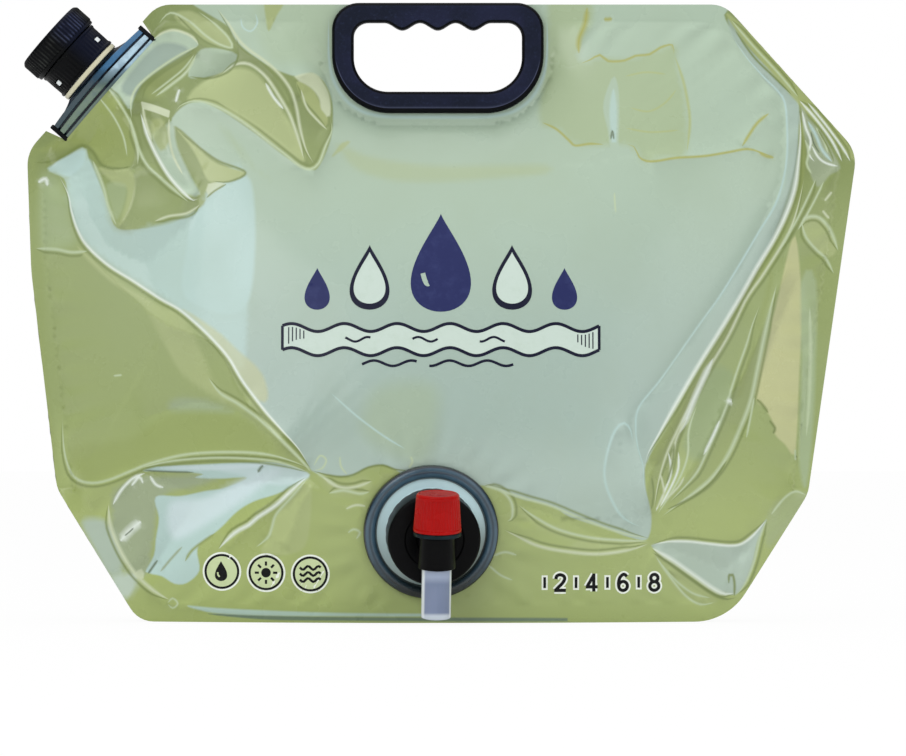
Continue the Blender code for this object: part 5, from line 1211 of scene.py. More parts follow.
def film_panel(name, surface, holes, regions, strokes, folds):
    """One film skin, meshed in the flat along its folds, tones and lines, then set in depth."""
    lines = [spline_through(scaled(points), EDGE_STEP) for points, *_ in folds]
    for line, width, partner, _ in strokes:
        lines += [beside(line, -width), line, beside(line, width)]
        if partner is not None:
            lines += [partner, beside(partner, PARTNER_WIDTH), beside(partner, -PARTNER_WIDTH)]
    loops = [OUTLINE, *holes]
    for _, fade, _, loop in regions:
        if fade < SKIN_PITCH:
            loops += [shrunk(loop, fade / 2), shrunk(loop, -fade / 2)]
    flat, faces = flat_mesh(
        loops, lines, (-HALF_WIDTH, 0.0), (HALF_WIDTH, HEIGHT), SKIN_PITCH,
        lambda x, z: inside_loop(x, z, OUTLINE) & ~np.any([inside_loop(x, z, h) for h in holes], 0))
    x, z = flat.T
    spots = [(x, z), (x + SLOPE_STEP, z), (x, z + SLOPE_STEP)]
    lifts = [surface.relief(*spot) for spot in spots]
    depths = [surface.depth(*spot, lift) for spot, lift in zip(spots, lifts)]
    obj = mesh_from(name, np.column_stack([x, surface.side * depths[0], z]), faces)
    vertex_paint(obj, film_colours(x, z, regions, strokes, (lifts[1] - lifts[0]) / SLOPE_STEP,
                                   (lifts[2] - lifts[0]) / SLOPE_STEP))
    facing = np.column_stack([-surface.side * (depths[1] - depths[0]) / SLOPE_STEP, np.ones(len(x)),
                              -surface.side * (depths[2] - depths[0]) / SLOPE_STEP])
    return shaded_by(thickened(obj), facing)


TAP_HOLE = circle_loop(TAP_X, TAP_Z, SLEEVE_RADIUS + GAP, 48)
BACK_FOLDS = 20
BACK_STROKES = 3

front_surface = FilmSurface(-1, True, 1.0)
back_surface = FilmSurface(1, False, 0.6)
front_skin = film_panel("front_film_skin", front_surface, [HANDLE_HOLE, TAP_HOLE],
                        drawn_regions(REGIONS), drawn_strokes(STROKES), FOLDS)


def mirrored(points):
    return [(-x, z) for x, z in points]


# The back film gets the plate's painted reflection, the first lines' painted highlights and shade, and the
# first folds, all mirrored.
back_skin = film_panel(
    "back_film_skin", back_surface, [HANDLE_HOLE],
    drawn_regions([(name, fade, strength, mirrored(points))
                   for name, fade, strength, points in REGIONS[:1]]),
    drawn_strokes([(name, width, -side, mirrored(points))
                   for name, width, side, points in STROKES[:BACK_STROKES]]),
    [(mirrored(points), height, right, left) for points, height, left, right in FOLDS[:BACK_FOLDS]])


def lower_edge(outline):
    reach = GUSSET_END_SHARE * LIP_REACH
    return [i for i, (x, z) in enumerate(outline)
            if z < HIP_HEIGHT and abs(x - LIP_CENTRE) < reach]


def gusset_row(edge, inner):
    """The gusset's section at a point of the film's edge, from the front seal to the back."""
    share = abs(edge[0] - LIP_CENTRE) / LIP_REACH
    rise = max(0.0, (share - GUSSET_FLAT_SHARE) / (1.0 - GUSSET_FLAT_SHARE))
    folded = GUSSET_FOLD_LIFT * rise ** GUSSET_FOLD_POWER
    x, z = inner if edge[1] > SEAL else (edge[0], 0.0)
    z = max(FILM / 2 + folded, z)
    halves = []
    for surface in (front_surface, back_surface):
        strip = []
        for px, pz in (edge, inner):
            reach = float(surface.depth(px, pz)) - SKIN - GUSSET_GAP * (1.0 + share)
            strip.append((px, surface.side * max(reach, SKIN), pz + WELD))
        strip[0] = tuple(np.array(strip[0]) * (1 - EDGE_SET_BACK) + np.array(strip[1]) * EDGE_SET_BACK)
        for portion in GUSSET_ROW_SHARES:
            mix = max(0.0, (portion - GUSSET_EDGE_START) / (1.0 - GUSSET_EDGE_START)) ** 1.5
            strip.append((x + (inner[0] - x) * mix, strip[1][1] * portion,
                          z + (inner[1] - z) * mix))
        halves.append(strip)
    return [*halves[0], (x, 0.0, z), *reversed(halves[1])]


def gusset():
    outline = divided(rounded_loop(FILM_CORNERS, EDGE_STEP), 4.0 * MM)
    inner = shrunk(outline, SEAL)
    rows = [gusset_row(outline[i], inner[i]) for i in lower_edge(outline)]
    across = len(rows[0])
    points = [p for row in rows for p in row]
    faces = []
    for k in range(len(rows) - 1):
        for i in range(across - 1):
            low = k * across + i
            faces.append((low, low + 1, low + across + 1, low + across))
    obj = mesh_from("gusset_film_skin", points, faces)
    x, _, z = np.array(points).T
    vertex_paint(obj, film_tones(x, z)["green"])
    return thickened(obj)


gusset_skin = gusset()


# Turned and moulded parts

SMOOTH_ANGLE = math.radians(38.0)


def filleted(profile, radius, closed=True, steps=3):
    """The profile with its corners rounded. Its points are (radius, height, flute share)."""
    points = [(*p, 0.0)[:3] for p in profile]
    made = []
    count = len(points)
    for i, (r, h, share) in enumerate(points):
        if not closed and i in (0, count - 1):
            made.append((r, h, share))
            continue
        here = Vector((r, h))
        before = Vector(points[i - 1][:2]) - here
        after = Vector(points[(i + 1) % count][:2]) - here
        cut = min(radius, 0.45 * before.length, 0.45 * after.length)
        start = here + before.normalized() * cut
        end = here + after.normalized() * cut
        for k in range(steps + 1):
            t = k / steps
            spot = start * (1 - t) ** 2 + here * 2 * t * (1 - t) + end * t * t
            made.append((max(spot.x, 0.0), spot.y, share))
    return made


def turned(name, profile, matrix, around=96, flutes=0, depth=0.0, power=1.0, closed=True):
    """A turned piece about the matrix's +Z. The profile is (radius, height, flute share) from
    inside out, as a closed section, or from axis to axis when it isn't closed."""
    points = []
    rings = []
    for entry in profile:
        radius, height, share = (*entry, 0.0)[:3]
        if radius < WELD:
            rings.append([len(points)])
            points.append(Vector((0.0, 0.0, height)))
            continue
        ring = []
        for i in range(around):
            angle = math.tau * i / around
            groove = (0.5 + 0.5 * math.cos(angle * flutes)) ** power if flutes else 0.0
            reach = radius - depth * share * groove
            ring.append(len(points))
            points.append(Vector((reach * math.cos(angle), reach * math.sin(angle), height)))
        rings.append(ring)
    faces = []
    spans = len(rings) if closed else len(rings) - 1
    for k in range(spans):
        low, high = rings[k], rings[(k + 1) % len(rings)]
        for i in range(around):
            j = (i + 1) % around
            if len(low) == 1:
                faces.append((low[0], high[j], high[i]))
            elif len(high) == 1:
                faces.append((low[i], low[j], high[0]))
            else:
                faces.append((low[i], low[j], high[j], high[i]))
    return finished(mesh_from(name, [matrix @ p for p in points], faces))


def finished(obj):
    """Faces turned outwards, and smooth shading with sharp corners kept."""
    body = bmesh.new()
    body.from_mesh(obj.data)
    bmesh.ops.remove_doubles(body, verts=body.verts, dist=WELD / 4)
    bmesh.ops.recalc_face_normals(body, faces=body.faces)
    body.to_mesh(obj.data)
    body.free()
    obj.data.shade_smooth()
    obj.data.set_sharp_from_angle(angle=SMOOTH_ANGLE)
    return obj


def cut_by(obj, *tools):
    """The object less the tools, which are deleted."""
    for tool in tools:
        modifier = obj.modifiers.new("cut", "BOOLEAN")
        modifier.operation = "DIFFERENCE"
        modifier.object = tool
        modifier.solver = "EXACT"
        baked(obj)
        bpy.data.objects.remove(tool)
    return finished(obj)


def lofted(name, sections, matrix):
    """A closed solid through loops of 3D points of equal count."""
    count = len(sections[0])
    points = [matrix @ Vector(p) for section in sections for p in section]
    faces = [tuple(range(count))[::-1]]
    for row in range(len(sections) - 1):
        low = row * count
        for i in range(count):
            j = (i + 1) % count
            faces.append((low + i, low + j, low + count + j, low + count + i))
    faces.append(tuple((len(sections) - 1) * count + i for i in range(count)))
    return finished(mesh_from(name, points, faces))


def box_tool(size, matrix):
    mesh = bpy.data.meshes.new("tool")
    body = bmesh.new()
    bmesh.ops.create_cube(body, size=1.0)
    bmesh.ops.scale(body, verts=body.verts, vec=size)
    bmesh.ops.transform(body, verts=body.verts, matrix=matrix)
    body.to_mesh(mesh)
    body.free()
    obj = bpy.data.objects.new("tool", mesh)
    bpy.context.scene.collection.objects.link(obj)
    return obj


def joined(first, *others):
    """One object from several that lie side by side."""
    body = bmesh.new()
    for obj in (first, *others):
        body.from_mesh(obj.data)
    body.to_mesh(first.data)
    body.free()
    for obj in others:
        bpy.data.objects.remove(obj)
    first.data.shade_smooth()
    first.data.set_sharp_from_angle(angle=SMOOTH_ANGLE)
    return first


def grip_loop(steps=84):
    """The grip's opening, with bumps for the fingers along its top."""
    loop = rounded_loop(handle_corners(GRIP_WIDTH / 2, GRIP_TOP, GRIP_TOP - GRIP_HEIGHT,
                                       GRIP_TOP_RADIUS, GRIP_FOOT_RADIUS), MOULDED_PITCH)
    reach = FINGER_COUNT / 2 * FINGER_PITCH
    for k in range(steps):
        x = reach - 2 * reach * k / (steps - 1)
        bump = FINGER_BUMP * (0.5 + 0.5 * math.cos(math.tau * x / FINGER_PITCH))
        loop.append((HANDLE_X + x, GRIP_TOP - bump))
    return loop


def handle_half(name, side):
    """One half of the grip: a plate with an opening and softly rounded edges."""
    outer = divided(rounded_loop(handle_corners(
        HANDLE_WIDTH / 2, HANDLE_TOP, HANDLE_FOOT, HANDLE_TOP_RADIUS, HANDLE_FOOT_RADIUS),
        MOULDED_PITCH), MOULDED_EDGE)
    inner = grip_loop()
    inner_face = FILM + GAP / 2 + GAP
    levels = [(0.25 * MM, 0.0), (0.0, 0.3 * MM)]
    steps = 7
    for k in range(steps + 1):
        angle = math.pi / 2 * k / steps
        levels.append((HANDLE_ROUND * (1 - math.cos(angle)),
                       HANDLE_HALF - HANDLE_ROUND * (1 - math.sin(angle))))
    count = len(outer) + len(inner)
    points = []
    for inset, height in levels:
        points += [(x, side * (inner_face + height), z)
                   for x, z in (*shrunk(outer, inset), *shrunk(inner, -inset))]
    faces = []
    for row in range(len(levels) - 1):
        low = row * count
        for start, size in ((0, len(outer)), (len(outer), len(inner))):
            for i in range(size):
                here, after = low + start + i, low + start + (i + 1) % size
                faces.append((here, after, count + after, count + here))
    for row in (0, len(levels) - 1):
        a, b = shrunk(outer, levels[row][0]), shrunk(inner, -levels[row][0])
        edges = [(i, (i + 1) % len(a)) for i in range(len(a))]
        edges += [(len(a) + i, len(a) + (i + 1) % len(b)) for i in range(len(b))]
        flat, _, cap, *_ = delaunay_2d_cdt([Vector(p) / MM for p in (*a, *b)], edges, [], 0, 0.001)
        for face in cap:
            x, z = np.mean([flat[i] for i in face], axis=0) * MM
            if inside_loop(np.array(x), np.array(z), a) and not inside_loop(np.array(x), np.array(z), b):
                faces.append(tuple(row * count + i for i in face))
    return finished(mesh_from(name, points, faces))


handle_front = handle_half("handle_front_shell", -1)
handle_back = handle_half("handle_back_shell", 1)


# Filler

CANOE_STEPS = 26


def canoe_loop(middle, end, half_length, half_width, tip):
    """A pointed oval whose height runs from middle to end along its length."""
    loop = []
    for side in (1, -1):
        for k in range(CANOE_STEPS + 1):
            along = side * half_length * (1 - 2 * k / CANOE_STEPS)
            share = (along / half_length) ** 2
            width = tip + (half_width - tip) * (1 - share)
            loop.append((along, side * width, middle + (end - middle) * share))
    return loop


def canoe_rib(name, low, high):
    """low and high are (level in the middle, level at the ends) of the rib's faces."""
    soft = 0.35 * MM
    faces = ((low[0], low[1], soft, 0.7 * MM), (low[0] + soft, low[1] + soft / 2, 0.0, CANOE_TIP),
             (high[0] - soft, high[1] - soft / 2, 0.0, CANOE_TIP), (high[0], high[1], soft, 0.7 * MM))
    return lofted(name, [
        canoe_loop(middle, end, CANOE_HALF_LENGTH - inset, CANOE_HALF_WIDTH - inset, tip)
        for middle, end, inset, tip in faces], FILLER_FRAME)


def oval_loop(height, reach_x, reach_y):
    count = 2 * (CANOE_STEPS + 1)
    return [(reach_x * math.cos(math.tau * k / count), reach_y * math.sin(math.tau * k / count),
             height) for k in range(count)]


def bore_tool():
    return turned("tool", [(0.0, -30 * MM), (NECK_BORE, -30 * MM), (NECK_BORE, 60 * MM),
                           (0.0, 60 * MM)], FILLER_FRAME, closed=False)


def level(middle, end):
    return (middle * MM, end * MM)


canoe_ribs = [cut_by(canoe_rib(f"filler_canoe_rib_{index}", low, high), bore_tool())
              for index, (low, high) in enumerate((
                  (level(-11.0, -10.9), level(-8.7, -8.6)),
                  (level(-7.5, -7.6), level(-4.0, -4.9)),
                  (level(-2.9, -3.9), level(0.0, -1.4))))]
canoe_core = cut_by(lofted("filler_canoe_core", [
    canoe_loop(middle, end, CANOE_HALF_LENGTH - 1.2 * MM, CANOE_HALF_WIDTH - 1.5 * MM, 0.5 * MM)
    for middle, end in (level(-10.4, -10.4), level(-0.6, -1.9))], FILLER_FRAME), bore_tool())
neck_foot = cut_by(lofted("filler_neck_foot", [
    canoe_loop(-1.4 * MM, -2.4 * MM, CANOE_HALF_LENGTH * 0.9, CANOE_HALF_WIDTH - 1.6 * MM, 0.6 * MM),
    oval_loop(0.4 * MM, 19.5 * MM, CANOE_HALF_WIDTH - 0.4 * MM),
    *[oval_loop(height * MM, reach_x * MM, reach_y * MM) for height, reach_x, reach_y in (
        (0.9, 18.0, 14.3), (1.5, 16.8, 14.4), (2.2, 15.6, 14.6), (2.8, 15.0, 15.0))]],
    FILLER_FRAME), bore_tool())


def end_plate(side):
    """The upright bar that closes one end of the canoe."""
    corners = [(-2.3, -11.2, 0.9), (2.3, -11.2, 0.9), (2.3, -0.4, 0.9), (-2.3, -0.4, 0.9)]
    loop = rounded_loop([(y * MM, h * MM, r * MM) for y, h, r in corners], 0.3 * MM)
    sections = []
    for along, inset in ((-1.1, 0.35), (-0.75, 0.0), (0.75, 0.0), (1.1, 0.35)):
        ring = shrunk(loop, inset * MM)
        sections.append([(side * (CANOE_HALF_LENGTH - 0.4 * MM) + along * MM, y, h) for y, h in ring])
    return lofted(f"filler_canoe_end_{'upper' if side > 0 else 'lower'}", sections, FILLER_FRAME)


canoe_ends = [end_plate(side) for side in (1, -1)]
throat = turned("filler_throat", [
    (NECK_BORE, 0.9 * MM), (12.1 * MM, 0.9 * MM), (12.1 * MM, -10.9 * MM), (NECK_BORE, -10.9 * MM)],
    FILLER_FRAME)
neck = turned("filler_neck", filleted([
    (NECK_BORE, NECK_HEIGHT), (NECK_RADIUS, NECK_HEIGHT), (NECK_RADIUS, 13.8 * MM),
    (BEAD_RADIUS, 13.5 * MM), (BEAD_RADIUS, 12.3 * MM), (NECK_RADIUS, 12.0 * MM),
    (NECK_RADIUS, 1.1 * MM), (NECK_BORE, 1.1 * MM)], 0.5 * MM), FILLER_FRAME)
tabs = [box_tool((3.0 * MM, 3.2 * MM, 2.2 * MM), FILLER_FRAME @ Matrix.Rotation(turn, 4, "Z")
                 @ Matrix.Translation((15.2 * MM, 0.0, WINDOW_HEIGHT)))
        for turn in (WINDOW_TURN, -WINDOW_TURN, math.pi + WINDOW_TURN, math.pi - WINDOW_TURN)]
neck = finished(joined(neck, *tabs))
collar = turned("filler_collar", filleted([
    (NECK_RADIUS - 0.3 * MM, 4.15 * MM), (COLLAR_RADIUS, 4.15 * MM), (COLLAR_RADIUS, 1.9 * MM),
    (NECK_RADIUS - 0.3 * MM, 1.9 * MM)], 0.5 * MM), FILLER_FRAME)


def neck_thread():
    """The neck's helical thread, whose ends run out into the neck."""
    steps = 72
    sections = []
    for k in range(steps + 1):
        angle = math.tau * k / steps
        run_out = min(1.0, 4.0 * min(k, steps - k) / steps + 0.05)
        height = THREAD_START + THREAD_LEAD * k / steps
        outer = NECK_RADIUS + THREAD_DEPTH * run_out
        profile = ((NECK_RADIUS - GAP, -1.0), (NECK_RADIUS - GAP, 1.0), (outer, 0.45),
                   (outer, -0.45))
        sections.append([(r * math.cos(angle), r * math.sin(angle), height + rise * MM)
                         for r, rise in profile])
    return lofted("filler_neck_thread", sections, FILLER_FRAME)


thread = neck_thread()

cap = turned("filler_cap_shell", [
    *filleted([(16.2 * MM, CAP_BOTTOM), (CAP_RADIUS - 0.6 * MM, CAP_BOTTOM),
               (CAP_RADIUS - 0.6 * MM, CAP_BOTTOM + 1.5 * MM),
               (CAP_RADIUS, CAP_BOTTOM + 1.9 * MM, 1.0),
               (CAP_RADIUS, CAP_TOP - 1.5 * MM, 1.0),
               (CAP_RADIUS - 1.5 * MM, CAP_TOP), (CAP_RADIUS - 4.5 * MM, CAP_TOP),
               (CAP_RADIUS - 5.0 * MM, CAP_TOP - 0.4 * MM)], 0.6 * MM, closed=False),
    (0.0, CAP_TOP - 0.4 * MM)], FILLER_FRAME, around=CAP_RIBS * 6, flutes=CAP_RIBS,
    depth=CAP_RIB_DEPTH, power=0.8, closed=False)
cap_under = turned("filler_cap_under", [
    (16.2 * MM, CAP_BOTTOM), (16.2 * MM, CAP_TOP - 2.0 * MM), (0.0, CAP_TOP - 2.0 * MM)],
    FILLER_FRAME, around=CAP_RIBS * 6, closed=False)
cap = finished(joined(cap, cap_under))

band = turned("tamper_band_shell", filleted([
    (15.8 * MM, 17.4 * MM), (17.5 * MM, 17.4 * MM), (17.5 * MM, 16.3 * MM),
    (17.1 * MM, 15.9 * MM), (17.1 * MM, 11.2 * MM, 1.0), (17.0 * MM, 6.2 * MM, 1.0),
    (17.5 * MM, 5.6 * MM), (17.4 * MM, 4.5 * MM), (14.4 * MM, 4.5 * MM), (14.4 * MM, 11.6 * MM),
    (15.8 * MM, 11.6 * MM)], 0.3 * MM), FILLER_FRAME, around=288, flutes=48, depth=0.35 * MM)
for turn in (WINDOW_TURN, -WINDOW_TURN):
    spot = FILLER_FRAME @ Matrix.Rotation(turn, 4, "Z") @ Matrix.Translation((0.0, 0.0, WINDOW_HEIGHT))
    band = cut_by(band, box_tool((60.0 * MM, 4.4 * MM, 3.4 * MM), spot))


# Tap

flange = turned("tap_flange_shell", [
    *filleted([(TAP_NECK_BORE, TAP_NECK_HEIGHT), (TAP_NECK_RADIUS, TAP_NECK_HEIGHT),
               (TAP_NECK_RADIUS, 4.6 * MM), (19.4 * MM, 4.2 * MM), (21.6 * MM, 1.95 * MM),
               (FLANGE_RADIUS - FLANGE_RIM_WIDTH - 0.3 * MM, 1.9 * MM)], 0.35 * MM, closed=False),
    *[(FLANGE_RADIUS - FLANGE_RIM_WIDTH / 2 + FLANGE_RIM_WIDTH / 2 * math.cos(math.pi * (1 - k / 14)),
       1.9 * MM + 2.5 * MM * math.sin(math.pi * (1 - k / 14)) ** 0.8) for k in range(15)],
    (FLANGE_RADIUS, 0.25 * MM), (FLANGE_RADIUS - 0.25 * MM, 0.0), (SLEEVE_RADIUS, 0.0),
    (SLEEVE_RADIUS, -SLEEVE_LENGTH), (TAP_NECK_BORE, -SLEEVE_LENGTH)], TAP_FRAME, around=128)
nut = turned("tap_nut_shell", filleted([
    (TAP_NECK_RADIUS + 0.4 * MM, NUT_BOTTOM), (NUT_RADIUS, NUT_BOTTOM, 1.0),
    (NUT_RADIUS, NUT_TOP - 5.0 * MM, 1.0), (NUT_RADIUS, NUT_TOP - 4.2 * MM),
    (NUT_RADIUS, NUT_TOP - 1.2 * MM), (NUT_RADIUS - 1.0 * MM, NUT_TOP),
    (14.2 * MM, NUT_TOP), (13.8 * MM, NUT_TOP - 0.5 * MM), (BARREL_RADIUS + 0.4 * MM, NUT_TOP - 0.5 * MM),
    (BARREL_RADIUS + 0.4 * MM, DISC_FRONT + GAP), (TAP_NECK_RADIUS + 0.4 * MM, DISC_FRONT + GAP)],
    0.5 * MM), TAP_FRAME, around=192, flutes=24, depth=0.2 * MM, power=3.0)
barrel = turned("tap_barrel_shell", filleted([
    (3.4 * MM, DISC_BACK), (15.8 * MM, DISC_BACK), (15.8 * MM, DISC_FRONT),
    (BARREL_RADIUS, DISC_FRONT), (BARREL_RADIUS, VALVE_REACH - 5.0 * MM),
    (3.4 * MM, VALVE_REACH - 5.0 * MM)], 0.5 * MM), TAP_FRAME)
body = turned("tap_body_shell", filleted([
    (6.0 * MM, 4.6 * MM), (8.3 * MM, 4.6 * MM), (8.3 * MM, 3.2 * MM), (8.55 * MM, -3.0 * MM),
    (8.9 * MM, TUBE_BOTTOM), (7.05 * MM, TUBE_BOTTOM), (7.05 * MM, -4.4 * MM),
    (6.0 * MM, -4.4 * MM)], 0.6 * MM), TUBE_FRAME)
bonnet = turned("tap_bonnet_shell", filleted([
    (2.4 * MM, 13.6 * MM), (5.6 * MM, 13.6 * MM), (5.6 * MM, 6.8 * MM), (11.4 * MM, 6.8 * MM),
    (11.4 * MM, 4.9 * MM), (5.7 * MM, 4.9 * MM), (5.7 * MM, 3.4 * MM), (2.4 * MM, 3.4 * MM),
    (2.4 * MM, 8.0 * MM), (4.1 * MM, 8.0 * MM), (4.1 * MM, 10.2 * MM), (2.4 * MM, 10.2 * MM)],
    0.4 * MM), TUBE_FRAME)
nozzle = turned("tap_nozzle_shell", filleted([
    (4.9 * MM, -4.7 * MM), (6.75 * MM, -4.7 * MM), (6.75 * MM, TUBE_BOTTOM - GAP),
    (7.05 * MM, TUBE_BOTTOM - GAP), (7.05 * MM, NOZZLE_BOTTOM), (4.9 * MM, NOZZLE_BOTTOM)],
    0.9 * MM, steps=5), TUBE_FRAME)
knob = turned("tap_knob_shell", filleted([
    (0.0, KNOB_TOP - 2.5 * MM), (8.6 * MM, KNOB_TOP - 2.5 * MM), (9.9 * MM, KNOB_BOTTOM),
    (11.5 * MM, KNOB_BOTTOM), (11.45 * MM, KNOB_BOTTOM + 1.3 * MM),
    (11.3 * MM, KNOB_BOTTOM + 1.8 * MM, 1.0), (10.35 * MM, KNOB_TOP - 2.8 * MM, 1.0),
    (10.3 * MM, KNOB_TOP - 2.2 * MM), (10.2 * MM, KNOB_TOP - 0.8 * MM),
    (9.4 * MM, KNOB_TOP), (8.7 * MM, KNOB_TOP), (8.4 * MM, KNOB_TOP - 0.3 * MM),
    (0.0, KNOB_TOP - 0.3 * MM)], 0.45 * MM, closed=False), TUBE_FRAME, around=240,
    flutes=40, depth=0.3 * MM, closed=False)


# Printed art on the front film, all of it generic

def stroke(points, width):
    """A closed loop round a line of the given width. A line that ends where it starts is a ring."""
    left, right = [], []
    ring = math.dist(points[0], points[-1]) < 0.01
    for i, (x, z) in enumerate(points):
        ax, az = points[-2] if ring and i == 0 else points[max(i - 1, 0)]
        bx, bz = points[1] if ring and i == len(points) - 1 else points[min(i + 1, len(points) - 1)]
        length = math.hypot(bx - ax, bz - az) or 1.0
        nx, nz = -(bz - az) / length * width / 2, (bx - ax) / length * width / 2
        left.append((x + nx, z + nz))
        right.append((x - nx, z - nz))
    return left + right[::-1]


def drop_loop(x, z, height, width, steps=56):
    """A water drop with its point up, centred on x, z."""
    loop = []
    for k in range(steps):
        t = math.tau * k / steps
        loop.append((x + width / 2 * math.sin(t) * 1.3 * abs(math.sin(t / 2)) ** 1.4,
                     z + height / 2 * math.cos(t)))
    return loop


def wave_line(x0, x1, z, amplitude, length, phase=0.0):
    count = int(x1 - x0) + 1
    return [(x0 + (x1 - x0) * k / count,
             z + amplitude * math.sin(math.tau * (x0 + (x1 - x0) * k / count) / length + phase))
            for k in range(count + 1)]


PRINT_STEP = 1.2 * MM


def printed(name, solids, cuts, proud, pitch=2.6):
    """A print that follows the front film. Loops are in millimetres in the XZ plane."""
    solids = [divided(scaled(loop), PRINT_STEP) for loop in solids]
    cuts = [divided(scaled(loop), PRINT_STEP) for loop in cuts]

    def kept(x, z):
        inked = np.any([inside_loop(x, z, loop) for loop in solids], 0)
        return inked & ~np.any([inside_loop(x, z, loop) for loop in cuts], 0) if cuts else inked

    every = np.array([p for loop in solids for p in loop])
    flat, faces = flat_mesh([*solids, *cuts], [], every.min(0), every.max(0), pitch * MM, kept)
    obj = mesh_from(name, front_surface.places(flat, SKIN / 2 + proud * MM), faces)
    body = bmesh.new()
    body.from_mesh(obj.data)
    bmesh.ops.recalc_face_normals(body, faces=body.faces)
    if sum(f.normal.y for f in body.faces) > 0:
        bmesh.ops.reverse_faces(body, faces=body.faces)
    body.to_mesh(obj.data)
    body.free()
    obj.data.shade_smooth()
    return obj


def small_loop(loop, share, centre):
    """The loop scaled about a centre."""
    return [(centre[0] + (x - centre[0]) * share, centre[1] + (z - centre[1]) * share)
            for x, z in loop]


ART_X, ART_Z = -0.5, 163.0
big = drop_loop(ART_X, ART_Z + 9.0, 47.0, 31.0)
shine = stroke([(ART_X - 8.6 + 0.35 * k, ART_Z + 4.0 - 1.55 * k + 0.115 * k * k)
                for k in range(9)], 2.3)

middles = [drop_loop(ART_X + side * 34.0, ART_Z + 2.0, 31.0, 20.5) for side in (-1, 1)]
middle_fills = [small_loop(loop, 0.80, (ART_X + side * 34.0, ART_Z + 0.9))
                for side, loop in zip((-1, 1), middles)]
smalls = [drop_loop(ART_X + side * 59.0, ART_Z - 3.5, 20.0, 13.0) for side in (-1, 1)]
BAND_TOP = ART_Z - 22.0
BAND_FOOT = ART_Z - 33.5
BAND_WAVE, BAND_LENGTH, BAND_PHASE = 1.9, 25.2, 0.6
upper, lower = [wave_line(-76.0, 75.0, z, BAND_WAVE, BAND_LENGTH, BAND_PHASE)
                for z in (BAND_TOP, BAND_FOOT)]
band_loop = upper + lower[::-1]


def band_hatch(x, length):
    """A short upright line that hangs below the band's upper edge."""
    edge = BAND_TOP + BAND_WAVE * math.sin(math.tau * x / BAND_LENGTH + BAND_PHASE)
    return stroke([(x, edge - 1.6), (x, edge - length)], 0.55)


hatch = [band_hatch(x, length) for x, length in (
    (-73.0, 9.5), (-71.2, 8.4), (-69.4, 7.4), (-67.6, 6.4), (-65.8, 5.4),
    (72.0, 9.5), (70.2, 8.4), (68.4, 7.4), (66.6, 6.4), (64.8, 5.4))]
foam = [stroke(wave_line(-46.0 + 32 * k, -34.0 + 32 * k, ART_Z - 27.6, 1.1, 12.0, 1.2), 1.1)
        for k in range(3)]
crests = [stroke(wave_line(x0, x1, ART_Z - 39.0, 1.3, 18.0, 0.3), 1.25)
          for x0, x1 in ((-38.0, -12.0), (-6.0, 34.0))]

art_pale = printed("print_pale_fill", [band_loop, *middle_fills], [], 0.04)
art_navy = printed("print_navy_shapes", [big, *smalls], [shine], 0.06)
art_lines = printed("print_dark_lines", [
    stroke(upper, 1.5), stroke(lower, 1.5), stroke([upper[0], lower[0]], 1.3),
    stroke([upper[-1], lower[-1]], 1.3), *hatch, *foam, *crests, *middles], middle_fills,
    0.09)


BADGES = ((-105.1, 24.6), (-83.9, 24.1), (-62.7, 23.6))
badge_halo = printed("print_badge_halo", [circle_loop(x, z, 9.3) for x, z in BADGES], [], 0.03)
badge_fill = printed("print_badge_fill", [circle_loop(x, z, 7.6) for x, z in BADGES], [], 0.05)
(drop_x, drop_z), (sun_x, sun_z), (sea_x, sea_z) = BADGES
rays = [stroke([(sun_x + 3.4 * math.cos(a), sun_z + 3.4 * math.sin(a)),
                (sun_x + 5.4 * math.cos(a), sun_z + 5.4 * math.sin(a))], 1.1)
        for a in (math.tau * k / 8 for k in range(8))]
seas = [stroke(wave_line(sea_x - 5.0, sea_x + 5.0, sea_z + rise, 0.9, 5.0), 1.2)
        for rise in (2.9, 0.0, -2.9)]
badge_marks = printed("print_badge_marks", [circle_loop(x, z, 8.4) for x, z in BADGES],
                      [circle_loop(x, z, 7.3) for x, z in BADGES], 0.08)
badge_signs = printed("print_badge_signs", [
    drop_loop(drop_x - 0.4, drop_z + 0.2, 9.6, 6.4), circle_loop(sun_x, sun_z, 2.3), *rays, *seas],
    [stroke([(drop_x - 2.0, drop_z - 0.4), (drop_x - 1.9, drop_z - 1.6),
             (drop_x - 1.1, drop_z - 2.6)], 0.8)], 0.08)


# Centre lines of the plain figures, in shares of their height
ARC = [(math.cos(math.tau * k / 28), math.sin(math.tau * k / 28)) for k in range(29)]
FIGURES = {
    "2": [spline_through([(-0.25, 0.70), (-0.20, 0.87), (-0.02, 0.94), (0.19, 0.86), (0.23, 0.68),
                          (0.10, 0.46), (-0.12, 0.24), (-0.27, 0.07)], 0.05),
          [(-0.34, 0.07), (0.30, 0.07)]],
    "4": [[(0.11, 0.0), (0.11, 1.0)], [(0.13, 0.955), (-0.27, 0.26)], [(-0.33, 0.26), (0.32, 0.26)]],
    "6": [[(0.24 * c, 0.30 + 0.25 * s) for c, s in ARC],
          spline_through([(0.21, 0.83), (0.04, 0.95), (-0.16, 0.80), (-0.25, 0.52), (-0.24, 0.28)],
                         0.05)],
    "8": [[(0.20 * c, 0.73 + 0.20 * s) for c, s in ARC],
          [(0.25 * c, 0.29 + 0.24 * s) for c, s in ARC]],
}
FIGURE_PLACES = (("2", 56.5), ("4", 71.5), ("6", 86.5), ("8", 101.5))
TICKS = (49.0, 64.0, 79.0, 94.0)
SCALE_Z = 19.4
FIGURE_HEIGHT = 8.6
SCALE_PITCH = 1.2


def figure_strokes(width):
    return [stroke([(x + a * FIGURE_HEIGHT, SCALE_Z + (b - 0.5) * FIGURE_HEIGHT) for a, b in line],
                   width) for text, x in FIGURE_PLACES for line in FIGURES[text]]


def tick_strokes(half, width):
    return [stroke([(x, SCALE_Z - half), (x, SCALE_Z + half)], width) for x in TICKS]


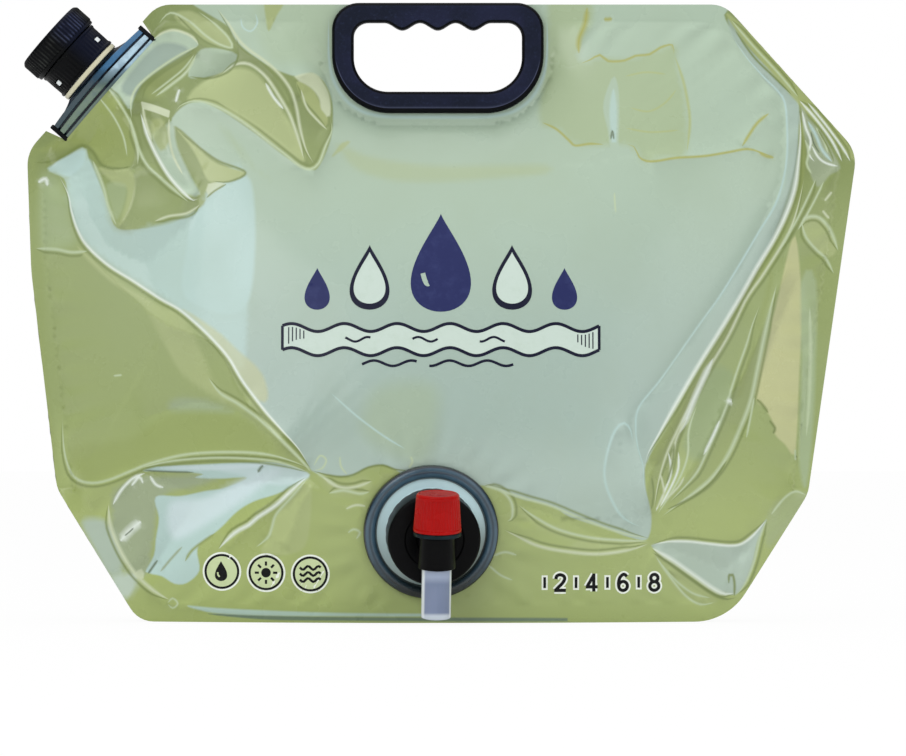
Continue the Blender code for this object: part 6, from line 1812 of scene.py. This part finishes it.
scale_glow = printed("print_scale_halo", figure_strokes(3.3) + tick_strokes(3.5, 2.9), [], 0.06,
                     SCALE_PITCH)
scale_ink = printed("print_scale", figure_strokes(1.55) + tick_strokes(2.6, 1.3), [], 0.12,
                    SCALE_PITCH)


# Materials


FILM_GAIN = 0.9


class Nodes:
    """Adds nodes to a tree. Values may be numbers or other nodes' outputs."""

    def __init__(self, tree):
        self.tree = tree

    def node(self, kind, **settings):
        node = self.tree.nodes.new(kind)
        for key, value in settings.items():
            setattr(node, key, value)
        return node

    def link(self, value, socket):
        if isinstance(value, bpy.types.NodeSocket):
            self.tree.links.new(value, socket)
        else:
            socket.default_value = value

    def filled(self, kind, values, **settings):
        """A node whose inputs, by name or number, are given."""
        node = self.node(kind, **settings)
        for key, value in values.items():
            self.link(value, node.inputs[key])
        return node

    def math(self, kind, first, second=0.0):
        return self.filled("ShaderNodeMath", {0: first, 1: second}, operation=kind).outputs[0]

    def times(self, first, second):
        return self.math("MULTIPLY", first, second)

    def spread(self, value, low, high, to_low=0.0, to_high=1.0):
        return self.filled("ShaderNodeMapRange", {
            "Value": value, "From Min": low, "From Max": high, "To Min": to_low,
            "To Max": to_high}, interpolation_type="SMOOTHSTEP").outputs["Result"]

    def mixed_shader(self, share, low, high):
        return self.filled("ShaderNodeMixShader", {"Fac": share, 1: low, 2: high}).outputs[0]


class Paint(Nodes):
    """Builds one material's nodes."""

    def __init__(self, name, roughness, **constants):
        self.material = bpy.data.materials.new(name)
        self.material.use_nodes = True
        super().__init__(self.material.node_tree)
        self.shader = self.tree.nodes["Principled BSDF"]
        self.set("Roughness", roughness)
        for key, value in constants.items():
            self.set(key.replace("_", " "), value)
        self.place = self.node("ShaderNodeTexCoord").outputs["Object"]

    def set(self, name, value):
        self.link(value, self.shader.inputs[name])

    def mix(self, share, low, high, kind="MIX"):
        return self.filled("ShaderNodeMix", {"Factor": share, 6: low, 7: high}, data_type="RGBA",
                           blend_type=kind, clamp_factor=True).outputs[2]

    def vector(self, kind, first, second=(0.0, 0.0, 0.0)):
        """A vector sum's output, a number where it is a dot product or a length."""
        node = self.filled("ShaderNodeVectorMath", {0: first, 1: second}, operation=kind)
        return node.outputs["Value" if kind in ("DOT_PRODUCT", "LENGTH") else "Vector"]

    def axis(self, name):
        return self.filled("ShaderNodeSeparateXYZ", {0: self.place}).outputs[name]

    def noise(self, scale, detail=4.0, roughness=0.55, stretch=(1.0, 1.0, 1.0)):
        mapping = self.filled("ShaderNodeMapping", {"Vector": self.place, "Scale": stretch})
        return self.filled("ShaderNodeTexNoise", {
            "Vector": mapping.outputs["Vector"], "Scale": scale, "Detail": detail,
            "Roughness": roughness}).outputs["Fac"]

    def bump(self, height, strength, distance):
        """Adds to the surface's fine relief."""
        node = self.filled("ShaderNodeBump", {"Height": height, "Strength": strength,
                                              "Distance": distance})
        links = self.shader.inputs["Normal"].links
        if links:
            self.tree.links.new(links[0].from_socket, node.inputs["Normal"])
        self.set("Normal", node.outputs["Normal"])

    def grain(self, scale, strength):
        self.bump(self.noise(scale, 3.0, 0.6), strength, 0.0001)

    def waviness(self):
        """The slight unevenness that the film and the ink on it share."""
        self.bump(self.noise(45.0, 1.0), 0.10, 0.0012)


def film_material():
    """The film's painted colour, its green with the painted reflections, highlights and shade of
    film_colours, with a slight mottle and a fine drawn grain.
    """
    paint = Paint("film", 0.3, Coat_Weight=0.2, Coat_Roughness=0.12, Specular_IOR_Level=0.35)
    layers = paint.node("ShaderNodeAttribute", attribute_name="film_paint")
    mottle = paint.noise(26.0, 5.0)
    cloud = paint.noise(7.0, 2.0)
    colour = paint.mix(paint.spread(mottle, 0.3, 0.75, 0.0, 0.08), layers.outputs["Color"],
                       srgb(146, 160, 112))
    colour = paint.mix(paint.spread(cloud, 0.4, 0.7, 0.0, 0.08), colour, srgb(196, 212, 192))
    paint.set("Base Color", paint.mix(1.0, colour, (FILM_GAIN, FILM_GAIN, FILM_GAIN, 1.0), "MULTIPLY"))
    paint.set("Roughness", paint.spread(mottle, 0.3, 0.8, 0.24, 0.38))
    paint.bump(paint.noise(900.0, 3.0, 0.6, (0.25, 0.25, 1.0)), 0.10, 0.0002)
    paint.waviness()
    return paint.material


def moulded(name, base, lighter, roughness, grain=0.12, grain_scale=1400.0, **constants):
    """Moulded plastic: slight colour drift, fine grain, and polished places."""
    paint = Paint(name, roughness, **{"Specular_IOR_Level": 0.1, **constants})
    drift = paint.noise(55.0, 3.0)
    colour = paint.mix(paint.spread(drift, 0.35, 0.7, 0.0, 0.6), base, lighter)
    scuffs = paint.noise(240.0, 6.0, 0.7, (1.0, 1.0, 0.12))
    colour = paint.mix(paint.spread(scuffs, 0.62, 0.8, 0.0, 0.12), colour, lighter)
    paint.set("Base Color", colour)
    paint.set("Roughness", paint.spread(drift, 0.3, 0.7, roughness - 0.04, roughness + 0.06))
    paint.grain(grain_scale, grain)
    paint.bump(paint.noise(90.0, 2.0), 0.08, 0.0004)
    return paint.material


def grip_material():
    """Navy plastic whose rounded edges are painted near black as painted shade, most of all on the
    undersides, with a painted highlight line along the lower bevel.
    """
    paint = Paint("grip_plastic", 0.42, Specular_IOR_Level=0.08)
    drift = paint.noise(55.0, 3.0)
    speck = paint.noise(700.0, 3.0, 0.6)
    face = paint.mix(paint.spread(drift, 0.35, 0.7), srgb(24, 29, 44), srgb(31, 35, 58))
    face = paint.mix(paint.spread(speck, 0.5, 0.8, 0.0, 0.35), face, srgb(46, 56, 84))
    facing = paint.node("ShaderNodeNewGeometry").outputs["Normal"]
    sides = paint.filled("ShaderNodeSeparateXYZ", {0: facing}).outputs
    turned_away = paint.math("SUBTRACT", 1.0, paint.math("ABSOLUTE", sides["Y"]))
    under = paint.times(paint.math("MAXIMUM", paint.times(sides["Z"], -1.0)), 0.9)
    outward = paint.math(
        "ADD", paint.times(sides["X"], paint.math("SUBTRACT", paint.axis("X"), HANDLE_X)),
        paint.times(sides["Z"], paint.math("SUBTRACT", paint.axis("Z"),
                                           HANDLE_TOP - HANDLE_HEIGHT / 2)))
    under = paint.times(under, paint.spread(outward, 0.0, 0.0005))
    away = paint.math("ADD", turned_away, under)
    # Painted highlight: a paler line along the lower, downward-facing bevel.
    ridge = paint.times(paint.spread(away, 0.02, 0.07), paint.spread(away, 0.13, 0.08))
    face = paint.mix(paint.times(ridge, paint.spread(under, 0.02, 0.06, 0.0, 0.5)), face,
                     srgb(92, 98, 124))
    # Painted shade: edges turned away from the front painted near black, the undersides most of all.
    paint.set("Base Color", paint.mix(paint.spread(away, 0.10, 0.17), face, srgb(6, 7, 12)))
    paint.grain(1500.0, 0.2)
    return paint.material


def filler_axes(paint):
    """Where a point lies along the filler's canoe, out along its axis, and its turn about it."""
    offset = paint.vector("SUBTRACT", paint.place, FILLER_POINT)
    along, out = [paint.vector("DOT_PRODUCT", offset, axis) for axis in (FILLER_ALONG, FILLER_OUT)]
    return along, out, paint.math("ARCTAN2", paint.axis("Y"), along)


def cap_material():
    """Black ribbed plastic with a painted bluish sheen on the side away from the film's foot, and painted
    highlights on scattered rib crests."""
    paint = Paint("cap_plastic", 0.38, Specular_IOR_Level=0.07)
    along, out, turn = filler_axes(paint)
    # Painted highlights on the rib crests, scattered by noise.
    crest = paint.spread(paint.math("COSINE", paint.times(turn, CAP_RIBS)), 0.2, -0.9)
    crest_scatter = paint.noise(140.0, 3.0, 0.6)
    crest_highlight = paint.times(crest, paint.spread(crest_scatter, 0.42, 0.62, 0.15, 1.0))
    on_ribs = paint.times(paint.spread(out, CAP_BOTTOM + 0.001, CAP_BOTTOM + 0.0025),
                          paint.spread(out, CAP_TOP - 0.001, CAP_TOP - 0.003))
    # Painted sheen: bluish on the side away from the film's foot.
    blue = paint.times(paint.spread(along, -0.002, 0.008), paint.spread(along, 0.0185, 0.014))
    base = paint.mix(paint.times(blue, 0.8), srgb(8, 9, 11), srgb(15, 20, 38))
    pale = paint.mix(blue, srgb(40, 42, 40), srgb(56, 63, 90))
    paint.set("Base Color", paint.mix(paint.times(crest_highlight, on_ribs), base, pale))
    paint.grain(1500.0, 0.02)
    return paint.material


def neck_material():
    """Clear neck plastic, pale inside the band, and painted near black under the cap as painted shade."""
    paint = Paint("neck_plastic", 0.2, Coat_Weight=0.3, Coat_Roughness=0.08)
    _, out, _ = filler_axes(paint)
    drift = paint.mix(paint.spread(paint.noise(200.0, 3.0), 0.4, 0.7), srgb(214, 222, 224),
                      srgb(232, 238, 238))
    # Painted shade: the neck near black where the cap covers it.
    paint.set("Base Color", paint.mix(paint.spread(out, 0.0118, 0.0125), drift, srgb(16, 17, 22)))
    paint.grain(900.0, 0.06)
    return paint.material


def canoe_material(name, upper, lower):
    """The filler's see-through blue ribs, painted by height: paler above as a painted highlight, greenish
    below for the green film seen through them, with a darker band between.
    """
    paint = Paint(name, 0.2, Coat_Weight=0.4, Coat_Roughness=0.06, Specular_IOR_Level=0.3)
    z = paint.axis("Z")
    centre = FILLER_POINT.z
    drift = paint.noise(160.0, 3.0, 0.6)
    # Painted by height: paler above as a painted highlight, greenish below for the green film seen through
    # the clear plastic, a darker band between.
    colour = paint.mix(paint.spread(z, centre - 0.006, centre + 0.004), lower, upper)
    dark_band = paint.times(paint.spread(z, centre - 0.008, centre - 0.003),
                         paint.spread(z, centre + 0.005, centre + 0.001))
    colour = paint.mix(paint.times(dark_band, 0.55), colour, srgb(40, 62, 76))
    colour = paint.mix(paint.spread(drift, 0.45, 0.75, 0.0, 0.4), colour, srgb(52, 82, 104))
    paint.set("Base Color", colour)
    paint.grain(900.0, 0.06)
    return paint.material


def ink(name, base, lighter):
    """Screen-printed ink, a little thinner in places."""
    paint = Paint(name, 0.34, Specular_IOR_Level=0.12, Coat_Weight=0.06, Coat_Roughness=0.15)
    thin = paint.noise(180.0, 5.0, 0.65)
    paint.set("Base Color", paint.mix(paint.spread(thin, 0.45, 0.8, 0.0, 0.5), base, lighter))
    paint.grain(900.0, 0.10)
    paint.waviness()
    return paint.material


def tap_rings(name, rim_inner, rim_middle, rim_edge, inner_base, inner_dark):
    """The flange's see-through rim and its pale brushed web, told apart by the distance from the tap's
    axis. The rim's bands, dark at its edges and lighter between, are painted highlight and shade, and rim
    and web are painted darker towards the bottom as painted shade."""
    paint = Paint(name, 0.22, Coat_Weight=0.4, Coat_Roughness=0.08)
    offset = paint.vector("SUBTRACT", paint.place, TAP_FRAME.translation)
    radius = paint.vector("LENGTH", paint.vector("CROSS_PRODUCT", offset, TAP_OUT))
    half = FLANGE_RIM_WIDTH / 2
    middle = FLANGE_RADIUS - half
    swirl = paint.noise(70.0, 4.0)
    # Painted highlight and shade across the rim: dark at both edges, lighter bands between.
    rim = paint.mix(paint.spread(radius, middle - half, middle - 0.45 * half), rim_edge, rim_middle)
    rim = paint.mix(paint.spread(radius, middle - 0.3 * half, middle + 0.1 * half, 0.0, 0.8), rim,
                    rim_inner)
    rim = paint.mix(paint.spread(radius, middle + 0.1 * half, middle + 0.4 * half, 0.0, 0.7), rim,
                    rim_middle)
    rim = paint.mix(paint.spread(radius, middle + 0.55 * half, middle + 0.9 * half), rim, rim_edge)
    rim = paint.mix(paint.spread(swirl, 0.4, 0.75, 0.0, 0.5), rim, rim_inner)
    x, z = paint.axis("X"), paint.axis("Z")
    # Painted shade: the rim darker towards the bottom.
    rim = paint.mix(paint.spread(z, TAP_Z - 0.008, TAP_Z - 0.032), rim, srgb(16, 24, 20))
    lines = paint.filled("ShaderNodeTexNoise", {"W": paint.times(radius, 2600.0), "Detail": 3.0},
                         noise_dimensions="1D").outputs["Fac"]
    shade = paint.times(paint.spread(x, TAP_X, TAP_X + 0.02),
                        paint.spread(z, TAP_Z + 0.012, TAP_Z - 0.012))
    web = paint.mix(paint.spread(lines, 0.3, 0.75, 0.0, 0.45), inner_base, srgb(214, 240, 244))
    # Painted shade: the web darker towards the bottom and towards the lower right.
    web = paint.mix(paint.spread(z, TAP_Z + 0.018, TAP_Z - 0.026, 0.0, 0.7), web, inner_dark)
    web = paint.mix(paint.times(shade, 0.6), web, inner_dark)
    is_rim = paint.spread(radius, middle - half - 0.00035, middle - half - 0.0001)
    paint.set("Base Color", paint.mix(is_rim, web, rim))
    paint.bump(lines, 0.12, 0.0002)
    paint.bump(paint.noise(1200.0, 3.0), 0.06, 0.0001)
    return paint.material


def nozzle_material():
    """See-through blue-grey plastic with painted highlights: its wall painted pale at the sides and near
    the cut end.
    """
    paint = Paint("nozzle_plastic", 0.2, Coat_Weight=0.5, Coat_Roughness=0.08)
    z = paint.axis("Z")
    flow = paint.noise(60.0, 3.0, 0.5, (1.0, 1.0, 0.2))
    core = paint.mix(paint.spread(flow, 0.3, 0.75, 0.0, 0.7), srgb(106, 120, 148), srgb(128, 141, 172))
    core = paint.mix(paint.spread(z, 0.019, 0.0235), core, srgb(150, 163, 188))
    # Painted highlight: paler near the cut end.
    core = paint.mix(paint.spread(z, 0.0062, 0.0042), core, srgb(196, 206, 216))
    # Painted highlight: the wall painted pale where it turns sideways, at the tube's sides.
    facing = paint.node("ShaderNodeTexCoord").outputs["Normal"]
    across = paint.vector("DOT_PRODUCT", facing, TAP_UP.cross(TAP_OUT).normalized())
    wall = paint.spread(paint.math("ABSOLUTE", across), 0.78, 0.93)
    paint.set("Base Color", paint.mix(wall, core, srgb(226, 232, 238)))
    paint.set("Subsurface Weight", 0.15)
    paint.set("Subsurface Radius", (0.002, 0.002, 0.003))
    paint.bump(paint.noise(300.0, 3.0, 0.6, (1.0, 1.0, 0.1)), 0.10, 0.0002)
    return paint.material


film = film_material()
grip_plastic = grip_material()
cap_plastic = cap_material()
black_plastic = moulded("tap_black_plastic", srgb(7, 7, 8), srgb(14, 14, 16), 0.34, 0.06, 1500.0,
                        Specular_IOR_Level=0.07)
teal_plastic = moulded("bonnet_plastic", srgb(12, 26, 30), srgb(30, 52, 58), 0.28, 0.08, 1500.0)
red_plastic = moulded("knob_plastic", srgb(158, 2, 0), srgb(176, 5, 3), 0.26, 0.05, 1500.0,
                      Coat_Weight=0.08, Coat_Roughness=0.08)
canoe_dark = moulded("canoe_dark_plastic", srgb(12, 20, 30), srgb(30, 48, 66), 0.2, 0.06, 900.0,
                     Coat_Weight=0.3, Coat_Roughness=0.06)
CANOE_TONES = ((srgb(166, 196, 212), srgb(98, 116, 108)), (srgb(176, 204, 220), srgb(106, 126, 110)),
               (srgb(66, 112, 152), srgb(50, 68, 76)))
canoe_stripes = [canoe_material(f"canoe_stripe_{index}", upper, lower)
                 for index, (upper, lower) in enumerate(CANOE_TONES)]
neck_plastic = neck_material()
end_plastic = moulded("canoe_end_plastic", srgb(10, 11, 14), srgb(26, 30, 36), 0.3)
collar_plastic = moulded("collar_plastic", srgb(198, 194, 166), srgb(214, 212, 190), 0.3)
liner_rubber = moulded("liner_foam", srgb(226, 226, 220), srgb(236, 236, 232), 0.6, 0.3, 2400.0)
seal_rubber = moulded("seal_silicone", srgb(222, 222, 216), srgb(232, 232, 228), 0.5, 0.1, 900.0)
ring_rubber = moulded("ring_rubber", srgb(34, 34, 34), srgb(48, 48, 48), 0.55, 0.2, 2000.0)
stem_plastic = moulded("stem_plastic", srgb(226, 226, 222), srgb(236, 236, 234), 0.35)
flange_plastic = tap_rings("flange_plastic", srgb(28, 46, 58), srgb(72, 100, 118),
                           srgb(12, 20, 30), srgb(206, 240, 246), srgb(112, 124, 110))
nozzle_plastic = nozzle_material()
navy_ink = ink("navy_ink", srgb(40, 46, 92), srgb(58, 66, 112))
dark_ink = ink("dark_ink", srgb(26, 28, 48), srgb(44, 48, 66))
black_ink = ink("black_ink", srgb(16, 16, 18), srgb(34, 36, 36))
pale_ink = ink("pale_ink", srgb(196, 212, 202), srgb(184, 202, 188))
white_ink = ink("white_ink", srgb(234, 240, 230), srgb(222, 230, 216))
lime_ink = ink("lime_ink", srgb(200, 214, 168), srgb(188, 204, 152))


def dressed(obj, material, body, node):
    """Gives the piece its material and its body, and hides the node whose place it takes."""
    obj.data.materials.clear()
    obj.data.materials.append(material)
    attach(obj, body)
    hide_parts(node)


PRINTS = [(art_pale, pale_ink), (art_navy, navy_ink), (art_lines, dark_ink),
          (badge_halo, white_ink), (badge_fill, lime_ink), (badge_marks, black_ink),
          (badge_signs, black_ink), (scale_glow, white_ink), (scale_ink, black_ink)]
DRESSED = [
    ("bag", "front_film", [(front_skin, film)]),
    ("bag", "back_film", [(back_skin, film)]),
    ("bag", "gusset_film", [(gusset_skin, film)]),
    ("bag", "handle_front", [(handle_front, grip_plastic)]),
    ("bag", "handle_back", [(handle_back, grip_plastic)]),
    ("bag", "filler_spout", [
        *zip(canoe_ribs, canoe_stripes), (canoe_core, canoe_dark), (throat, canoe_dark),
        (neck_foot, canoe_dark), (neck, neck_plastic), (thread, neck_plastic),
        (collar, collar_plastic), *[(piece, end_plastic) for piece in canoe_ends]]),
    ("bag", "filler_tamper_band", [(band, cap_plastic)]),
    ("cap", "filler_cap", [(cap, cap_plastic)]),
    ("tap_mount", "tap_flange", [(flange, flange_plastic)]),
    ("tap_mount", "tap_nut", [(nut, black_plastic)]),
    ("tap", "tap_body", [(body, black_plastic), (barrel, black_plastic)]),
    ("tap", "tap_bonnet", [(bonnet, teal_plastic)]),
    ("tap", "tap_nozzle", [(nozzle, nozzle_plastic)]),
    ("knob", "tap_knob", [(knob, red_plastic)]),
    ("bag", "front_film", PRINTS)]
for rides_on, node, pieces in DRESSED:
    for piece, material in pieces:
        dressed(piece, material, rides_on, node)
for piece in (front_skin, back_skin, gusset_skin, *(piece for piece, _ in PRINTS)):
    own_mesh(piece)
for node, material in (("filler_cap_liner", liner_rubber), ("tap_gasket", seal_rubber),
                       ("tap_stem", stem_plastic), ("tap_valve_seal", seal_rubber),
                       ("tap_stem_o_ring", ring_rubber)):
    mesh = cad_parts[node].data
    mesh.materials.clear()
    mesh.materials.append(material)


# Camera, light and stage

AIM = Vector((5.3 * MM, 0.0, 117.0 * MM))
CAMERA_DISTANCE = 5.0
FRAME_WIDTH = 436.7 * MM
SENSOR = 36.0
LIT_POINT = Vector((0.0, 0.0, 0.12))
WHITE = (1.0, 1.0, 1.0, 1.0)

camera = bpy.data.objects.new("camera", bpy.data.cameras.new("camera"))
bpy.context.scene.collection.objects.link(camera)
camera.data.sensor_width = SENSOR
camera.data.lens = SENSOR * CAMERA_DISTANCE / FRAME_WIDTH
camera.data.clip_end = 50.0
camera.location = AIM - Vector((0.0, CAMERA_DISTANCE, 0.0))
camera.rotation_euler = (math.pi / 2, 0.0, 0.0)
bpy.context.scene.camera = camera


def card(name, place, size, watts):
    """A large soft area light that faces the object."""
    light = bpy.data.lights.new(name, "AREA")
    light.shape = "RECTANGLE"
    light.size, light.size_y = size
    light.energy = watts
    obj = bpy.data.objects.new(name, light)
    bpy.context.scene.collection.objects.link(obj)
    obj.location = place
    obj.rotation_euler = (LIT_POINT - Vector(place)).to_track_quat("-Z", "Y").to_euler()


card("key_card", (-1.1, -2.4, 1.3), (1.3, 1.3), 13.0)
card("fill_card", (1.7, -2.0, 0.7), (1.1, 1.5), 6.0)
card("top_card", (0.0, 0.1, 2.2), (1.6, 1.0), 4.0)

world = bpy.data.worlds.new("studio")
bpy.context.scene.world = world
world.use_nodes = True
sky = Nodes(world.node_tree)
sky.tree.nodes.clear()
direction = sky.node("ShaderNodeTexCoord").outputs["Generated"]
upward = sky.filled("ShaderNodeSeparateXYZ", {0: direction}).outputs["Z"]


def sky_light(strength):
    return sky.filled("ShaderNodeBackground", {"Strength": strength, "Color": WHITE}).outputs[0]


# Diffuse light, what glossy surfaces mirror, and the white that the camera sees
lit = sky_light(sky.spread(upward, -0.2, 0.9, 0.62, 1.0))
reflected = sky_light(sky.spread(upward, 0.25, 0.8, 0.10, 0.9))
sky_rays = sky.node("ShaderNodeLightPath").outputs
seen = sky.math("MAXIMUM", sky_rays["Is Camera Ray"], sky_rays["Is Transmission Ray"])
chosen = sky.mixed_shader(seen, sky.mixed_shader(sky_rays["Is Glossy Ray"], lit, reflected),
                          sky_light(1.0))
sky.filled("ShaderNodeOutputWorld", {"Surface": chosen})

floor = mesh_from("studio_floor", [(-8, -8, 0), (8, -8, 0), (8, 8, 0), (-8, 8, 0)], [(0, 1, 2, 3)],
                  smooth=False)
floor_material = bpy.data.materials.new("studio_floor")
floor_material.use_nodes = True
ground = Nodes(floor_material.node_tree)
ground_shader = ground.tree.nodes["Principled BSDF"]
ground_shader.inputs["Base Color"].default_value = (0.9, 0.9, 0.9, 1.0)
ground_shader.inputs["Roughness"].default_value = 0.9
ground_shader.inputs["Specular IOR Level"].default_value = 0.1
glow = ground.filled("ShaderNodeEmission", {"Strength": 1.0})
share = ground.times(ground.node("ShaderNodeLightPath").outputs["Is Camera Ray"], 0.94)
ground.link(ground.mixed_shader(share, ground_shader.outputs[0], glow.outputs[0]),
            ground.tree.nodes["Material Output"].inputs["Surface"])
floor.data.materials.append(floor_material)

bpy.context.scene.view_settings.view_transform = "Standard"
